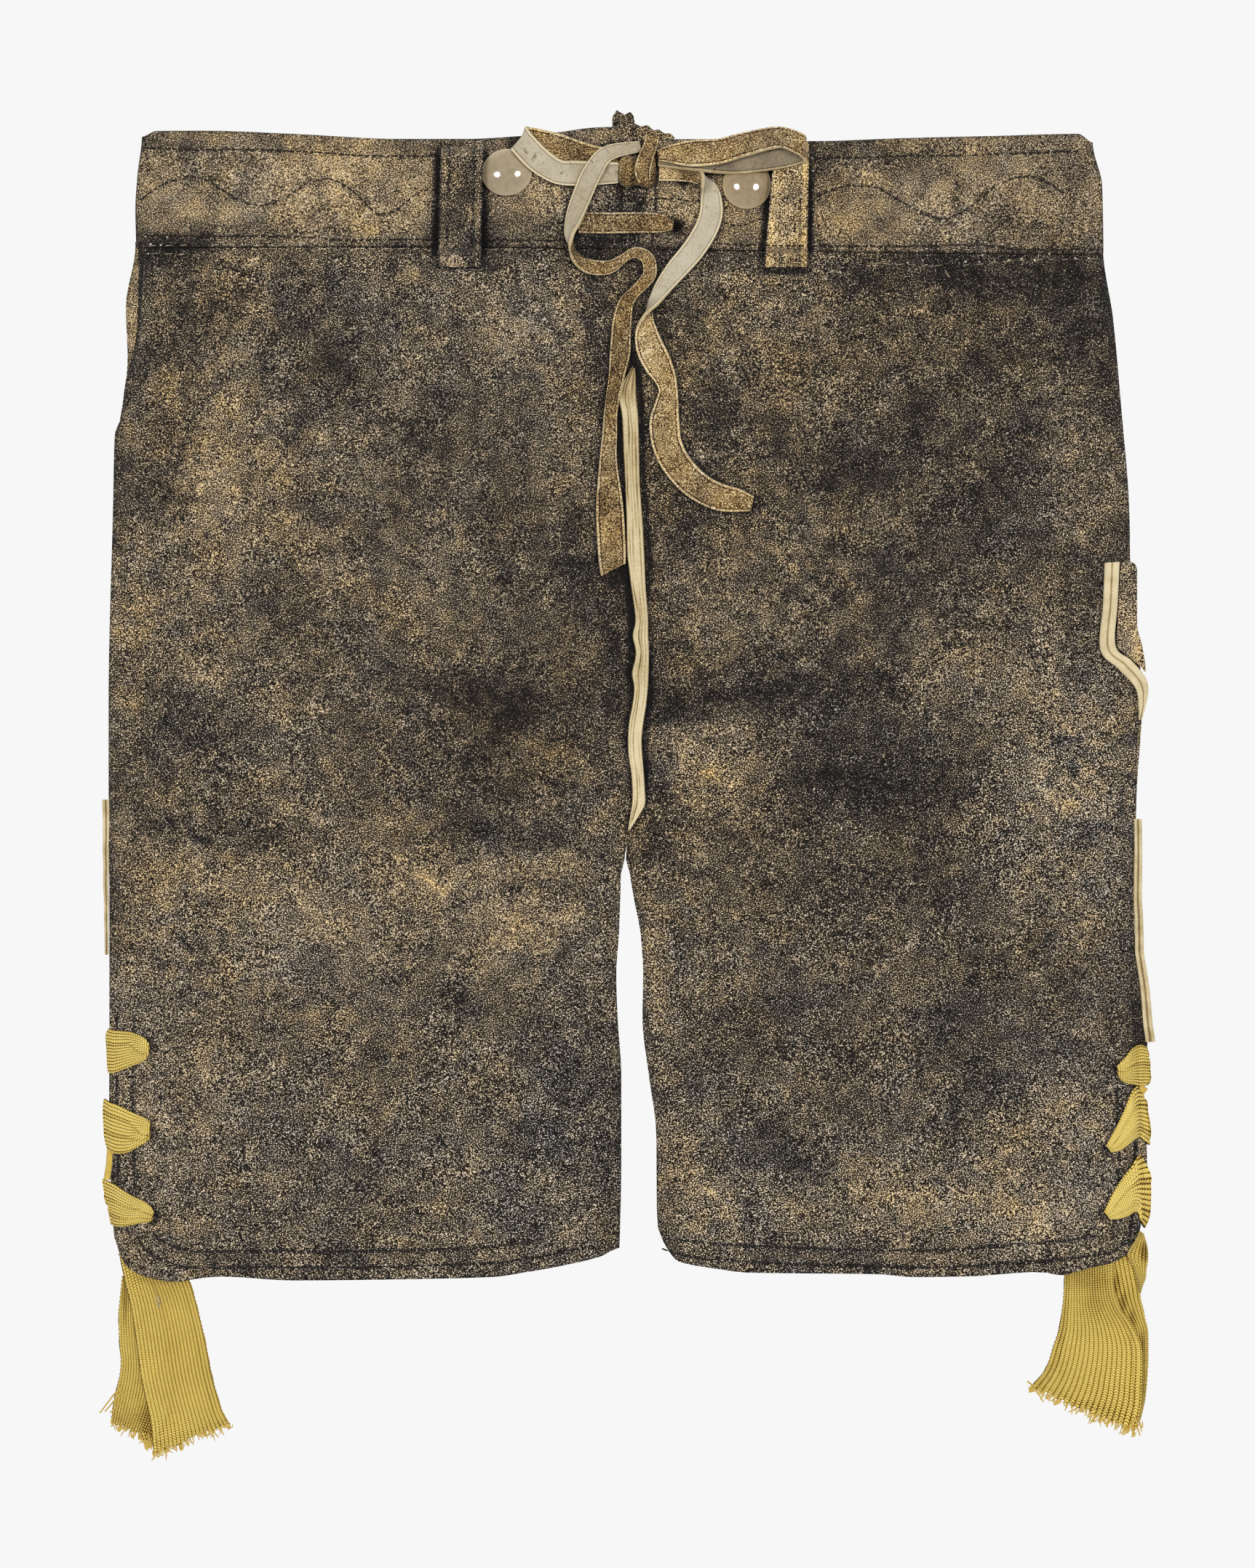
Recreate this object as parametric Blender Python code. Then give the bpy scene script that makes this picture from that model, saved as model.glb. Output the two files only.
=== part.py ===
"""Lederhosen: leather breeches laid flat on a surface, back side up.

+X is the wearer's right, +Y is towards the waist and +Z is up, off the surface.  The origin is on
the surface, in the middle of the garment with its hanging braid ends.  Every piece that is cut and
sewn is one object.  Lengths and tables are in millimetres and become metres when a mesh is made.

The two front panels lie flat on the surface.  The two back panels lie on them, crowned a little
between their seams.  All that is laid on a panel is rested on the pieces already made, by GAP.
"""

import math

import bpy
from mathutils import Vector
from mathutils.bvhtree import BVHTree

# ------------------------------------------------------------------ driving dimensions
MM = 0.001            # metres in a millimetre
GAP = 0.3             # clearance between two pieces that touch
HIDE = 1.6            # thickness of the leg leather
BAND = 2.5            # thickness of the doubled waistband behind
BAND_FRONT = 2.4      # thickness of the doubled waistband in front
CROWN = 3.2           # how far a back panel swells over the front one
CROWN_REACH = 40.0    # distance from a side or inner edge where the swell is full
END_REACH = 60.0      # distance from waist or hem where the swell is full
END_SHARE = 0.45      # share of the swell that is left at waist and hem
CROTCH_Y = -32.0      # where the two legs part
LACE = 1.4            # thickness of the flat leather lace
BRAID = 1.2           # thickness of the flattened knitted braid
LOOP_STRAP = 1.7      # thickness of a belt loop
BELT_ROOM = 4.4       # free height under a belt loop
BUTTON_R = 10.0       # radius of a brace button
BUTTON_HIGH = 4.1     # height of a brace button
WELT_HIGH = 3.4       # height of the seat seam's raw-edge welt
WELT_WIDE = 7.5       # width of the seat seam's raw-edge welt
SIDE_WELT_HIGH = 2.4  # height of the piping in a side seam
TAPE_STEP = 4.0       # spacing of the sections along a tape
CLIMB = 0.7           # steepest rise of a tape over what it crosses, per unit length
TAUT = 0.05           # the same where the tape is pulled straight
BODY_ROWS = 16        # sections of a leg panel from the waist to the crotch
LEG_ROWS = 9          # sections of a leg panel from the crotch to the hem
BACK_COLUMNS = 14     # columns across a back panel
FRONT_COLUMNS = 13    # columns across a front panel

# ------------------------------------------------------------------ outline tables
# Edges of the panels that run down the garment: (y, x).
SIDE_LEFT = (
    (221, -201.5), (188, -201.8), (176, -204.0), (167, -206.5), (150, -209.0), (143, -211.3),
    (113, -212.0), (35, -213.8), (-7, -213.8), (-70, -213.3), (-142, -213.8), (-184, -212.0),
    (-206, -209.0),
)
SIDE_RIGHT = (
    (221, 196.2), (191, 200.4), (155, 203.7), (113, 207.0), (101, 207.3), (95, 206.0),
    (88, 207.5), (65, 209.3), (50, 211.3), (35, 212.6), (25, 211.3), (17, 210.3), (-7, 209.8),
    (-37, 208.5), (-67, 208.2), (-97, 208.8), (-145, 210.6), (-175, 211.8), (-206, 212.0),
)
SIDE_FRONT_LEFT = (
    (221, -202.8), (196, -206.7), (176, -206.0), (150, -208.7), (143, -211.0), (113, -211.8),
    (35, -213.5), (-142, -213.5), (-184, -211.8), (-206, -208.8),
)
SEAT_SEAM = (
    (221, 0.0), (190, -0.3), (172, 0.6), (155, 0.9), (137, 1.8), (113, 3.0), (95, 4.2),
    (77, 5.7), (60, 6.3), (41, 4.8), (23, 5.4), (5, 6.0), (-4, 5.4), (-13, 3.6), (-20, 0.9),
    (CROTCH_Y, -0.8),
)
INNER_LEFT = (
    (CROTCH_Y - 2, -2.6), (-61, -3.3), (-79, -4.5), (-97, -3.9), (-121, -2.4), (-157, -2.4),
    (-187, -3.0), (-206, -3.6),
)
INNER_RIGHT = (
    (CROTCH_Y - 2, 1.0), (-49, 3.0), (-61, 5.4), (-79, 6.6), (-97, 6.3), (-121, 9.0),
    (-145, 12.0), (-175, 12.2), (-187, 13.0), (-206, 14.0),
)
# Hems: (distance from the panel's left edge, y).
HEM_LEFT = (
    (0, -187.5), (2.5, -192.0), (6, -196.5), (13, -202.2), (21, -204.9), (31, -205.2),
    (43, -203.8), (73, -205.4), (125, -204.8), (155, -204.0), (170, -201.9), (185, -199.2),
    (200, -195.6), (208, -192.0),
)
HEM_RIGHT = (
    (0, -184.0), (2, -190.0), (7.5, -197.5), (22, -200.4), (37, -202.2), (90, -202.8),
    (105, -204.0), (127, -203.7), (157, -201.9), (168, -203.0), (180, -198.3), (192, -194.4),
    (197, -188.5), (199, -183.0),
)
# Waistband edges that run across the garment: (x, y).
BAND_FOOT = ((-203, 220.8), (-100, 221.0), (0, 220.3), (60, 219.3), (197, 218.0))
BAND_TOP_LEFT = (
    (-200.1, 266.4), (-194, 268.8), (-175, 268.9), (-138, 267.6), (-94, 265.5), (-66, 265.5),
    (-48, 266.4), (-31, 267.9), (-12, 270.3), (-2.1, 270.5),
)
BAND_TOP_RIGHT = (
    (9.0, 265.4), (32, 265.4), (78, 264.6), (113, 265.8), (150, 266.7), (186, 267.6),
    (192, 264.0),
)
# Ends of the waistband: (y, x).
BAND_SIDE_LEFT = ((221, -202.5), (236, -202.8), (251, -201.9), (266.4, -200.1))
BAND_SIDE_RIGHT = ((218, 196.4), (246, 195.9), (264, 192.0))
SPLIT_LEFT = ((220.3, -2.1), (270.5, -2.1))
SPLIT_RIGHT = ((219.8, 4.2), (246, 8.4), (265.4, 9.0))

# The pinked top of the gusset, from left to right: (x, y).
PINKED_TOP = (
    (-6.0, 271.0), (-6.0, 274.8), (-4.2, 277.5), (-1.2, 275.4), (1.2, 276.6), (2.7, 274.8),
    (3.0, 271.9), (5.7, 270.6), (8.4, 271.2), (10.5, 269.0), (13.2, 269.4), (15.3, 267.6),
    (17.4, 267.9), (19.8, 265.9),
)
GUSSET = 1.1          # thickness of the gusset

# Belt loops, each as the two ends of its top and bottom edge: (left x, right x).
LOOP_LEFT_TOP = (-76.8, -59.4)
LOOP_LEFT_FOOT = (-78.0, -60.2)
LOOP_RIGHT_TOP = (60.9, 75.0)
LOOP_RIGHT_FOOT = (56.6, 74.4)
# Belt loop, seen from the side: (y, share of BELT_ROOM).
LOOP_RISE = (
    (264.6, 0.0), (262.6, 0.08), (260.6, 0.8), (259.4, 1.0), (222.4, 1.0), (220.4, 0.75),
    (218.2, 0.08), (212.6, 0.0),
)

BUTTONS = {"button_left": (-49.6, 251.7), "button_right": (49.4, 246.6)}
# Half section of a brace button: (share of radius, share of height), from its back to its crown.
BUTTON_SECTION = (
    (0.45, 0.0), (0.8, 0.08), (0.96, 0.3), (1.0, 0.45), (0.95, 0.68), (0.8, 0.88), (0.5, 0.99),
)
BUTTON_SIDES = 24

SEAT_WELT_SPAN = (180.0, -22.0)   # y where the seat seam's welt starts and ends
# Piping of the side seams: (y, x of its middle).
SIDE_WELT_LEFT = ((-7, -215.3), (-40, -215.2), (-71, -214.9))
SIDE_WELT_RIGHT = (
    (-15, 211.4), (-45, 211.3), (-67, 211.7), (-88, 213.6), (-99, 214.6), (-107, 215.9),
)
SIDE_WELT_WIDE = 2.4

# Knife pocket: outline, and the pairs of points across its welt, each (x, y).
KNIFE_POCKET = (
    (203.5, 90.0), (205.8, 91.8), (209.4, 90.3), (210.3, 87.5), (210.3, 65.0), (212.4, 56.4),
    (213.8, 45.8), (208.2, 50.9), (201.9, 56.8), (202.7, 74.0),
)
POCKET_THICK = 2.0
POCKET_WELT = (
    ((196.8, 90.6), (203.1, 91.0)), ((196.2, 74.0), (202.3, 74.2)), ((195.0, 54.9), (201.4, 56.5)),
    ((202.5, 46.8), (207.9, 50.4)), ((209.6, 38.8), (213.8, 43.2)), ((210.8, 30.0), (214.8, 36.3)),
    ((210.9, 26.0), (212.2, 25.6)),
)
POCKET_WELT_HIGH = 2.4

# Flat leather lace, each run as (x, y, width) along its middle.
LACE_BAR = ((-20.0, 231.0, 8.6), (-8, 230.8, 8.6), (6, 231.0, 8.4), (19.8, 229.6, 6.6))
LOOP_LEFT_UPPER = (
    (-3.8, 251.5, 8.4), (-11, 251.4, 9.5), (-20.8, 251.3, 10.2), (-28.8, 252.0, 10.0),
    (-37.2, 257.4, 10.8), (-43.6, 264.2, 10.7),
)
LOOP_LEFT_LOWER = (
    (-3.8, 256.6, 8.0), (-14.4, 257.9, 10.0), (-20.7, 259.4, 10.6), (-28.2, 262.0, 10.8),
    (-36.0, 264.0, 10.8), (-42.2, 265.2, 10.7),
)
LOOP_RIGHT_UPPER = (
    (13.0, 258.6, 4.6), (17.3, 259.2, 7.0), (26.7, 259.5, 10.8), (37.8, 260.4, 10.4),
    (48.9, 263.4, 9.6), (62.7, 266.2, 8.6), (71.0, 263.6, 8.8),
)
LOOP_RIGHT_LOWER = (
    (13.0, 257.4, 6.4), (29.4, 256.8, 9.0), (43.2, 255.6, 9.0), (54.3, 256.5, 9.0),
    (65.4, 258.2, 9.0), (71.4, 260.0, 8.8),
)
TAIL_LEFT = (
    (5.4, 262.3, 4.5), (-7.8, 259.6, 6.5), (-14.1, 252.2, 8.0), (-18.6, 242.1, 8.0),
    (-21.9, 233.1, 6.9), (-23.6, 226.5, 4.4), (-22.5, 219.6, 3.6), (-18.3, 214.2, 5.0),
    (-13.4, 212.4, 6.0), (-6.9, 212.7, 5.4), (-1.5, 216.2, 3.6), (3.6, 218.6, 4.4),
    (8.4, 216.1, 5.4), (9.4, 210.2, 5.4), (7.0, 206.3, 5.0), (3.2, 202.4, 4.6),
    (-0.3, 198.0, 6.0), (-2.0, 190.7, 7.6), (-2.6, 183.0, 8.0), (-3.0, 176.7, 8.2),
    (-4.8, 165.0, 6.0), (-6.6, 154.2, 5.4), (-7.2, 143.4, 6.0), (-7.8, 132.0, 7.2),
    (-7.2, 114.0, 11.0), (-6.3, 95.7, 11.4), (-5.7, 87.8, 10.4),
)
TAIL_RIGHT = (
    (13.2, 252.0, 7.6), (21.9, 251.8, 7.6), (29.0, 250.4, 6.6), (33.6, 246.6, 6.6),
    (34.6, 241.0, 8.6), (34.6, 234.6, 9.5), (32.4, 228.0, 9.6), (27.3, 219.8, 9.4),
    (20.7, 212.0, 8.8), (14.9, 204.7, 7.0), (10.2, 197.8, 4.8), (8.4, 192.6, 4.4),
    (8.0, 186.3, 9.0), (9.4, 179.4, 11.4), (12.6, 172.8, 11.4), (15.6, 167.0, 9.0),
    (16.9, 161.8, 7.6), (16.4, 156.3, 9.6), (15.4, 148.8, 12.2), (16.2, 140.4, 12.2),
    (19.6, 132.6, 12.0), (25.6, 125.2, 11.8), (32.0, 120.4, 11.4), (38.6, 117.6, 11.0),
    (45.3, 116.4, 9.6), (51.6, 114.9, 6.0),
)
LACE_UPPER = (
    (10.4, 266.6, 5.6), (9.4, 262.2, 5.6), (7.6, 257.6, 6.2), (6.4, 252.6, 6.6), (7.2, 248.0, 5.0),
)
KNOT_MIDDLE = (4.2, 252.0)
KNOT_HALF = (7.4, 6.4, 3.4)       # half sizes of the knot along X, Y and Z
FOLD_STEPS = 4                    # sections round the fold at the end of a bow loop

# Braid over a leg's side edge: three pairs of points across it, from the eyelet to the edge,
# each as (x, upper y, x, lower y).
BRAID_WRAPS = {
    "braid_left_1": ((-198.2, -106.2, -198.2, -114.6), (-202.4, -103.4, -201.8, -116.4),
                     (-212.4, -103.2, -212.2, -119.4)),
    "braid_left_2": ((-196.8, -140.4, -197.0, -146.0), (-200.4, -138.0, -201.6, -149.0),
                     (-212.6, -131.8, -212.6, -152.6)),
    "braid_left_3": ((-195.4, -176.2, -195.8, -181.4), (-201.6, -171.0, -201.6, -181.8),
                     (-212.0, -164.8, -210.6, -182.6)),
    "braid_right_1": ((202.8, -117.6, 203.2, -122.2), (205.6, -113.0, 206.2, -123.6),
                      (208.0, -109.4, 208.4, -124.0)),
    "braid_right_2": ((198.6, -147.2, 200.4, -152.0), (204.0, -138.2, 205.6, -150.4),
                      (208.8, -127.6, 209.4, -146.6)),
    "braid_right_3": ((197.4, -176.0, 199.4, -180.0), (202.0, -167.4, 204.9, -178.6),
                      (209.4, -155.4, 210.0, -170.4)),
}
# Sections of a braid where it turns down over the edge: (distance outside the edge, z).
BRAID_TURN = ((0.25, 3.75), (0.45, 3.1), (0.45, 1.7), (0.45, 0.3))

# Free ends of the braid, each as pairs of points across it: (left x, y, right x, y).
BRAID_TAILS = {
    "braid_tail_left_back": ((-206.5, -204.4, -196.0, -206.4), (-209.5, -215.0, -192.0, -216.0),
                             (-209.1, -231.0, -189.0, -232.0), (-208.8, -242.5, -187.5, -247.0),
                             (-211.5, -252.5, -191.5, -259.0), (-217.0, -260.0, -201.0, -269.6)),
    "braid_tail_left_front": ((-204.0, -204.2, -181.2, -205.8), (-202.3, -225.0, -176.0, -222.0),
                              (-199.5, -245.0, -172.4, -240.0), (-196.3, -262.0, -168.2, -253.0),
                              (-195.6, -277.5, -164.2, -264.8)),
    "braid_tail_right_back": ((206.4, -198.5, 213.4, -201.5), (203.6, -212.0, 212.2, -212.0),
                              (203.6, -222.0, 213.6, -221.0), (204.0, -233.0, 214.8, -233.0),
                              (205.0, -250.0, 213.9, -250.4), (206.0, -262.0, 211.2, -263.0)),
    "braid_tail_right_front": ((180.6, -203.3, 199.0, -199.8), (179.0, -219.0, 201.4, -212.0),
                               (177.0, -232.0, 209.6, -228.0), (172.6, -241.0, 212.2, -240.0),
                               (168.2, -248.0, 212.0, -256.5), (171.8, -255.0, 208.4, -268.4)),
}
BRAID_KNOT_MIDDLE = (210.6, -197.4)
BRAID_KNOT_HALF = (2.8, 7.4, 2.0)

# Finishes: (red, green, blue, roughness).
SUEDE = ("suede", 0.15, 0.115, 0.07, 0.9)
WELT = ("welt", 0.62, 0.5, 0.25, 0.8)
LACE_LEATHER = ("lace_leather", 0.4, 0.31, 0.17, 0.8)
BRAID_YARN = ("braid_yarn", 0.72, 0.45, 0.04, 0.85)
PEARL = ("pearl", 0.62, 0.55, 0.45, 0.2)

GROUND = []           # search trees of the pieces made so far


# ------------------------------------------------------------------ curves
def along(table, at):
    """Value at `at` on a smooth curve, with no overshoot, through (place, value) rows."""
    rows = sorted(table)
    if at <= rows[0][0]:
        return rows[0][1]
    if at >= rows[-1][0]:
        return rows[-1][1]
    slopes = [(b[1] - a[1]) / (b[0] - a[0]) for a, b in zip(rows, rows[1:])]

    def tangent(i):
        if i == 0 or i == len(rows) - 1 or slopes[i - 1] * slopes[i] <= 0:
            return 0.0
        return 2 * slopes[i - 1] * slopes[i] / (slopes[i - 1] + slopes[i])

    i = max(k for k in range(len(slopes)) if rows[k][0] <= at)
    step = rows[i + 1][0] - rows[i][0]
    t = (at - rows[i][0]) / step
    return (
        rows[i][1] * (1 + 2 * t) * (1 - t) ** 2
        + rows[i + 1][1] * t * t * (3 - 2 * t)
        + tangent(i) * step * t * (1 - t) ** 2
        - tangent(i + 1) * step * t * t * (1 - t)
    )


def swell(distance, reach):
    """0 at the edge, rising smoothly to 1 at `reach`."""
    t = min(max(distance / reach, 0.0), 1.0)
    return t * t * (3 - 2 * t)


def through(points, step):
    """Points about `step` apart on a Catmull-Rom curve through rows of any length."""
    ends = [points[0]] + list(points) + [points[-1]]
    fine = []
    for a, b, c, d in zip(ends, ends[1:], ends[2:], ends[3:]):
        count = max(1, round(math.dist(b[:2], c[:2]) / step))
        for k in range(count):
            t = k / count
            fine.append([
                0.5 * (2 * q + (r - p) * t + (2 * p - 5 * q + 4 * r - s) * t * t
                       + (3 * q - p - 3 * r + s) * t ** 3)
                for p, q, r, s in zip(a, b, c, d)
            ])
    return fine + [list(points[-1])]


# ------------------------------------------------------------------ meshes
def finish(look):
    """The material of a finish row, made once."""
    name, red, green, blue, roughness = look
    made = bpy.data.materials.get(name)
    if made is None:
        made = bpy.data.materials.new(name)
        made.use_nodes = True
        shader = made.node_tree.nodes["Principled BSDF"]
        shader.inputs["Base Color"].default_value = (red, green, blue, 1.0)
        shader.inputs["Roughness"].default_value = roughness
        shader.inputs["Metallic"].default_value = 0.0
    return made


def solid(name, points, faces, look, smooth=False):
    """One object from points in millimetres, added to the ground that later pieces rest on."""
    mesh = bpy.data.meshes.new(name)
    mesh.from_pydata([tuple(c * MM for c in p) for p in points], [], faces)
    mesh.validate()
    mesh.materials.append(finish(look))
    if smooth:
        mesh.shade_smooth()
    bpy.context.collection.objects.link(bpy.data.objects.new(name, mesh))
    GROUND.append(BVHTree.FromPolygons([tuple(p) for p in points], faces))


def ground(x, y):
    """Height of the highest piece at a place, or 0 on the surface."""
    eye = Vector((x, y, 100.0))
    hits = [tree.ray_cast(eye, Vector((0, 0, -1)))[0] for tree in GROUND]
    return max([hit.z for hit in hits if hit] + [0.0])


def plate(name, outline, low, high, look):
    """A flat plate from an outline of (x, y) points, in either direction."""
    turn = sum(a[0] * b[1] - b[0] * a[1] for a, b in zip(outline, outline[1:] + outline[:1]))
    ring = list(outline) if turn > 0 else list(reversed(outline))
    count = len(ring)
    points = [(x, y, low) for x, y in ring] + [(x, y, high) for x, y in ring]
    faces = [tuple(reversed(range(count))), tuple(range(count, 2 * count))]
    faces += [(i, (i + 1) % count, (i + 1) % count + count, i + count) for i in range(count)]
    solid(name, points, faces, look)


def closed_grid(lower, upper):
    """Points and faces of a wall between two like grids of points, the upper one on top.

    Seen from above, each row runs from left to right and the rows follow each other downwards.
    """
    rows = len(lower)
    columns = len(lower[0])
    points = [p for row in lower for p in row] + [p for row in upper for p in row]
    top = rows * columns
    faces = []
    for r in range(rows - 1):
        for c in range(columns - 1):
            i = r * columns + c
            faces.append((i, i + 1, i + columns + 1, i + columns))
            faces.append((top + i, top + i + columns, top + i + columns + 1, top + i + 1))
    rim = list(range(columns))
    rim += [r * columns + columns - 1 for r in range(1, rows)]
    rim += [(rows - 1) * columns + c for c in range(columns - 2, -1, -1)]
    rim += [r * columns for r in range(rows - 2, 0, -1)]
    faces += [(b, a, top + a, top + b) for a, b in zip(rim, rim[1:] + rim[:1])]
    return points, faces


def ribbon(name, rows, thickness, look):
    """A flat strip from (left, right) points of its underside, left and right as it runs.

    The thickness is laid on the side that is up where the strip runs level.
    """
    middles = [(a + b) / 2 for a, b in rows]
    lower = []
    upper = []
    for i, (a, b) in enumerate(rows):
        ahead = middles[min(i + 1, len(rows) - 1)] - middles[max(i - 1, 0)]
        lift = (b - a).cross(ahead).normalized() * thickness
        lower.append([b, a])
        upper.append([b + lift, a + lift])
    points, faces = closed_grid(lower, upper)
    solid(name, points, faces, look)


def bead(name, middle, half, low, look, sides=14, rings=7):
    """A rounded knot: an ellipsoid with half sizes `half` whose lowest point is at `low`."""
    x, y = middle
    z = low + half[2]
    points = [(x, y, low)]
    for r in range(1, rings):
        angle = math.pi * r / rings
        for s in range(sides):
            turn = 2 * math.pi * s / sides
            points.append((
                x + half[0] * math.sin(angle) * math.cos(turn),
                y + half[1] * math.sin(angle) * math.sin(turn),
                z - half[2] * math.cos(angle),
            ))
    points.append((x, y, z + half[2]))
    last = len(points) - 1
    faces = [(0, 1 + (s + 1) % sides, 1 + s) for s in range(sides)]
    for r in range(rings - 2):
        for s in range(sides):
            a = 1 + r * sides + s
            b = 1 + r * sides + (s + 1) % sides
            faces.append((a, b, b + sides, a + sides))
    start = 1 + (rings - 2) * sides
    faces += [(last, start + s, start + (s + 1) % sides) for s in range(sides)]
    solid(name, points, faces, look, smooth=True)


# ------------------------------------------------------------------ tapes that rest on things
def tape(path, step=TAPE_STEP):
    """Level (left, right) sections at height 0 along (x, y, width) rows."""
    fine = [Vector(p) for p in through(path, step)]
    rows = []
    for i, place in enumerate(fine):
        ahead = fine[min(i + 1, len(fine) - 1)] - fine[max(i - 1, 0)]
        left = Vector((-ahead.y, ahead.x, 0)).normalized() * place.z / 2
        middle = Vector((place.x, place.y, 0))
        rows.append((middle + left, middle - left))
    return rows


def rested(rows, extra=0.0, climb=CLIMB):
    """The sections raised to lie GAP over the ground, bridging what they cross."""
    shares = [k / 10 for k in range(11)]
    middles = [(a + b) / 2 for a, b in rows]
    heights = [max(ground(*a.lerp(b, s).xy) for s in shares) for a, b in rows]
    for i in range(len(rows) - 1):
        between = [
            ground(*rows[i][0].lerp(rows[i][1], s).lerp(rows[i + 1][0].lerp(rows[i + 1][1], s), t).xy)
            for s in shares for t in (0.17, 0.33, 0.5, 0.67, 0.83)
        ]
        heights[i] = max(heights[i], max(between))
        heights[i + 1] = max(heights[i + 1], max(between))
    places = [0.0]
    for a, b in zip(middles, middles[1:]):
        places.append(places[-1] + (b - a).length)
    raised = []
    for i, (a, b) in enumerate(rows):
        z = max(h - climb * abs(places[i] - s) for h, s in zip(heights, places)) + GAP + extra
        raised.append((Vector((a.x, a.y, z)), Vector((b.x, b.y, z))))
    return raised


def bow_loop(name, lower_path, upper_path):
    """A loop of lace: out over the upper run, round a fold, and back along the lower run."""
    lower = rested(tape(lower_path))
    lift = Vector((0, 0, LACE))
    points, faces = closed_grid([list(r) for r in lower], [[a + lift, b + lift] for a, b in lower])
    GROUND.append(BVHTree.FromPolygons([tuple(p) for p in points], faces))
    upper = rested(tape(upper_path), extra=0.25)
    GROUND.pop()
    back = [(a + lift, b + lift) for a, b in reversed(lower)]
    out = ((upper[-1][0] + upper[-1][1]) - (upper[-2][0] + upper[-2][1])).normalized()
    fold = []
    for k in range(1, FOLD_STEPS):
        angle = math.pi * k / FOLD_STEPS
        share = (1 - math.cos(angle)) / 2
        row = []
        for over, under in zip(upper[-1], back[0]):
            radius = (over.z - under.z) / 2
            row.append(over.lerp(under, share) + Vector((out.x, out.y, 0)) * radius * math.sin(angle))
        fold.append(tuple(row))
    ribbon(name, upper + fold + back, LACE, LACE_LEATHER)


# ------------------------------------------------------------------ leg panels
def seam_edge(side, y):
    """x of a panel's inner edge: the seat seam above the crotch and the inner leg below it."""
    inner = INNER_LEFT if side < 0 else INNER_RIGHT
    if y >= CROTCH_Y - 0.01:
        return along(SEAT_SEAM, y) + side * GAP
    return along(inner, y)


def panel_point(side, u, v, outer, hem_rise=0.0):
    """Place (x, y) on a leg panel: u across it from the left, v 0 to 1 at the crotch to 2."""
    hem = HEM_LEFT if side < 0 else HEM_RIGHT
    hem_y = along(hem, u * hem[-1][0]) + hem_rise
    top_x = along(outer, 221) * (1 - u if side < 0 else u)
    top_y = along(BAND_FOOT, top_x) - GAP
    y = top_y + (CROTCH_Y - top_y) * v if v <= 1 else CROTCH_Y + (hem_y - CROTCH_Y) * (v - 1)
    if side < 0:
        return along(outer, y) * (1 - u) + seam_edge(side, y) * u, y
    return seam_edge(side, y) * (1 - u) + along(outer, y) * u, y


def panel_lift(side, x, y, outer, hem_y):
    """Height of a back panel's underside at a place."""
    to_side = abs(x - along(outer, y))
    to_inner = abs(x - seam_edge(side, y))
    rise = CROWN * swell(to_side, CROWN_REACH) * swell(to_inner, CROWN_REACH)
    for to_end in (along(BAND_FOOT, x) - y, y - hem_y):
        rise *= END_SHARE + (1 - END_SHARE) * swell(to_end, END_REACH)
    return HIDE + GAP + rise


def spread(count, crowd):
    """`count` + 1 shares from 0 to 1, closer together near both ends when crowd > 0."""
    even = [k / count for k in range(count + 1)]
    return [t - crowd * math.sin(2 * math.pi * t) / (2 * math.pi) for t in even]


def leg_panel(name, side, outer, columns, crowned, hem_rise=0.0):
    """A front panel, flat on the surface, or a back panel, crowned over it."""
    hem = HEM_LEFT if side < 0 else HEM_RIGHT
    body = [k / BODY_ROWS for k in range(BODY_ROWS)]
    leg = [1 + k / LEG_ROWS for k in range(LEG_ROWS + 1)]
    lower = []
    upper = []
    for v in body + leg:
        low_row = []
        high_row = []
        for u in spread(columns, 0.55):
            x, y = panel_point(side, u, v, outer, hem_rise)
            hem_y = along(hem, u * hem[-1][0])
            z = panel_lift(side, x, y, outer, hem_y) if crowned else 0.0
            low_row.append(Vector((x, y, z)))
            high_row.append(Vector((x, y, z + HIDE)))
        lower.append(low_row)
        upper.append(high_row)
    points, faces = closed_grid(lower, upper)
    solid(name, points, faces, SUEDE)


# ------------------------------------------------------------------ waistband and its trim
def band_outline(side, inset=0.0):
    """Outline of one half of the waistband, down its top edge's left end and round."""
    if side < 0:
        top, ends = BAND_TOP_LEFT, (BAND_SIDE_LEFT, SPLIT_LEFT)
    else:
        top, ends = BAND_TOP_RIGHT, (SPLIT_RIGHT, BAND_SIDE_RIGHT)
    left = [(x, y) for y, x in sorted(ends[0])]
    right = [(x, y) for y, x in sorted(ends[1])]
    foot_from, foot_to = left[0][0], right[0][0]
    steps = 8
    foot = [foot_from + (foot_to - foot_from) * k / steps for k in range(steps + 1)]
    outline = [(x, along(BAND_FOOT, x)) for x in foot]
    outline += right[1:]
    outline += [(x, y - inset) for x, y in reversed(top[1:-1])]
    outline += list(reversed(left[1:]))
    return outline


def waistband():
    """Two halves behind, split at the centre, over one half in front."""
    foot = [-202.5 + 399.0 * k / 8 for k in range(9)]
    front = [(x, along(BAND_FOOT, x)) for x in foot] + [(195.6, 246.0), (191.6, 263.6)]
    front += [(x, y - 0.6) for x, y in reversed(BAND_TOP_RIGHT[1:-1])]
    front += [(x, y - 0.6) for x, y in reversed(BAND_TOP_LEFT[1:-2])] + [(-200.0, 265.0), (-202.5, 240.0)]
    plate("waistband_front", front, 0.0, BAND_FRONT, SUEDE)
    low = BAND_FRONT + GAP
    plate("waistband_back_left", band_outline(-1), low, low + BAND, SUEDE)
    plate("waistband_back_right", band_outline(1), low, low + BAND, SUEDE)


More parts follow.
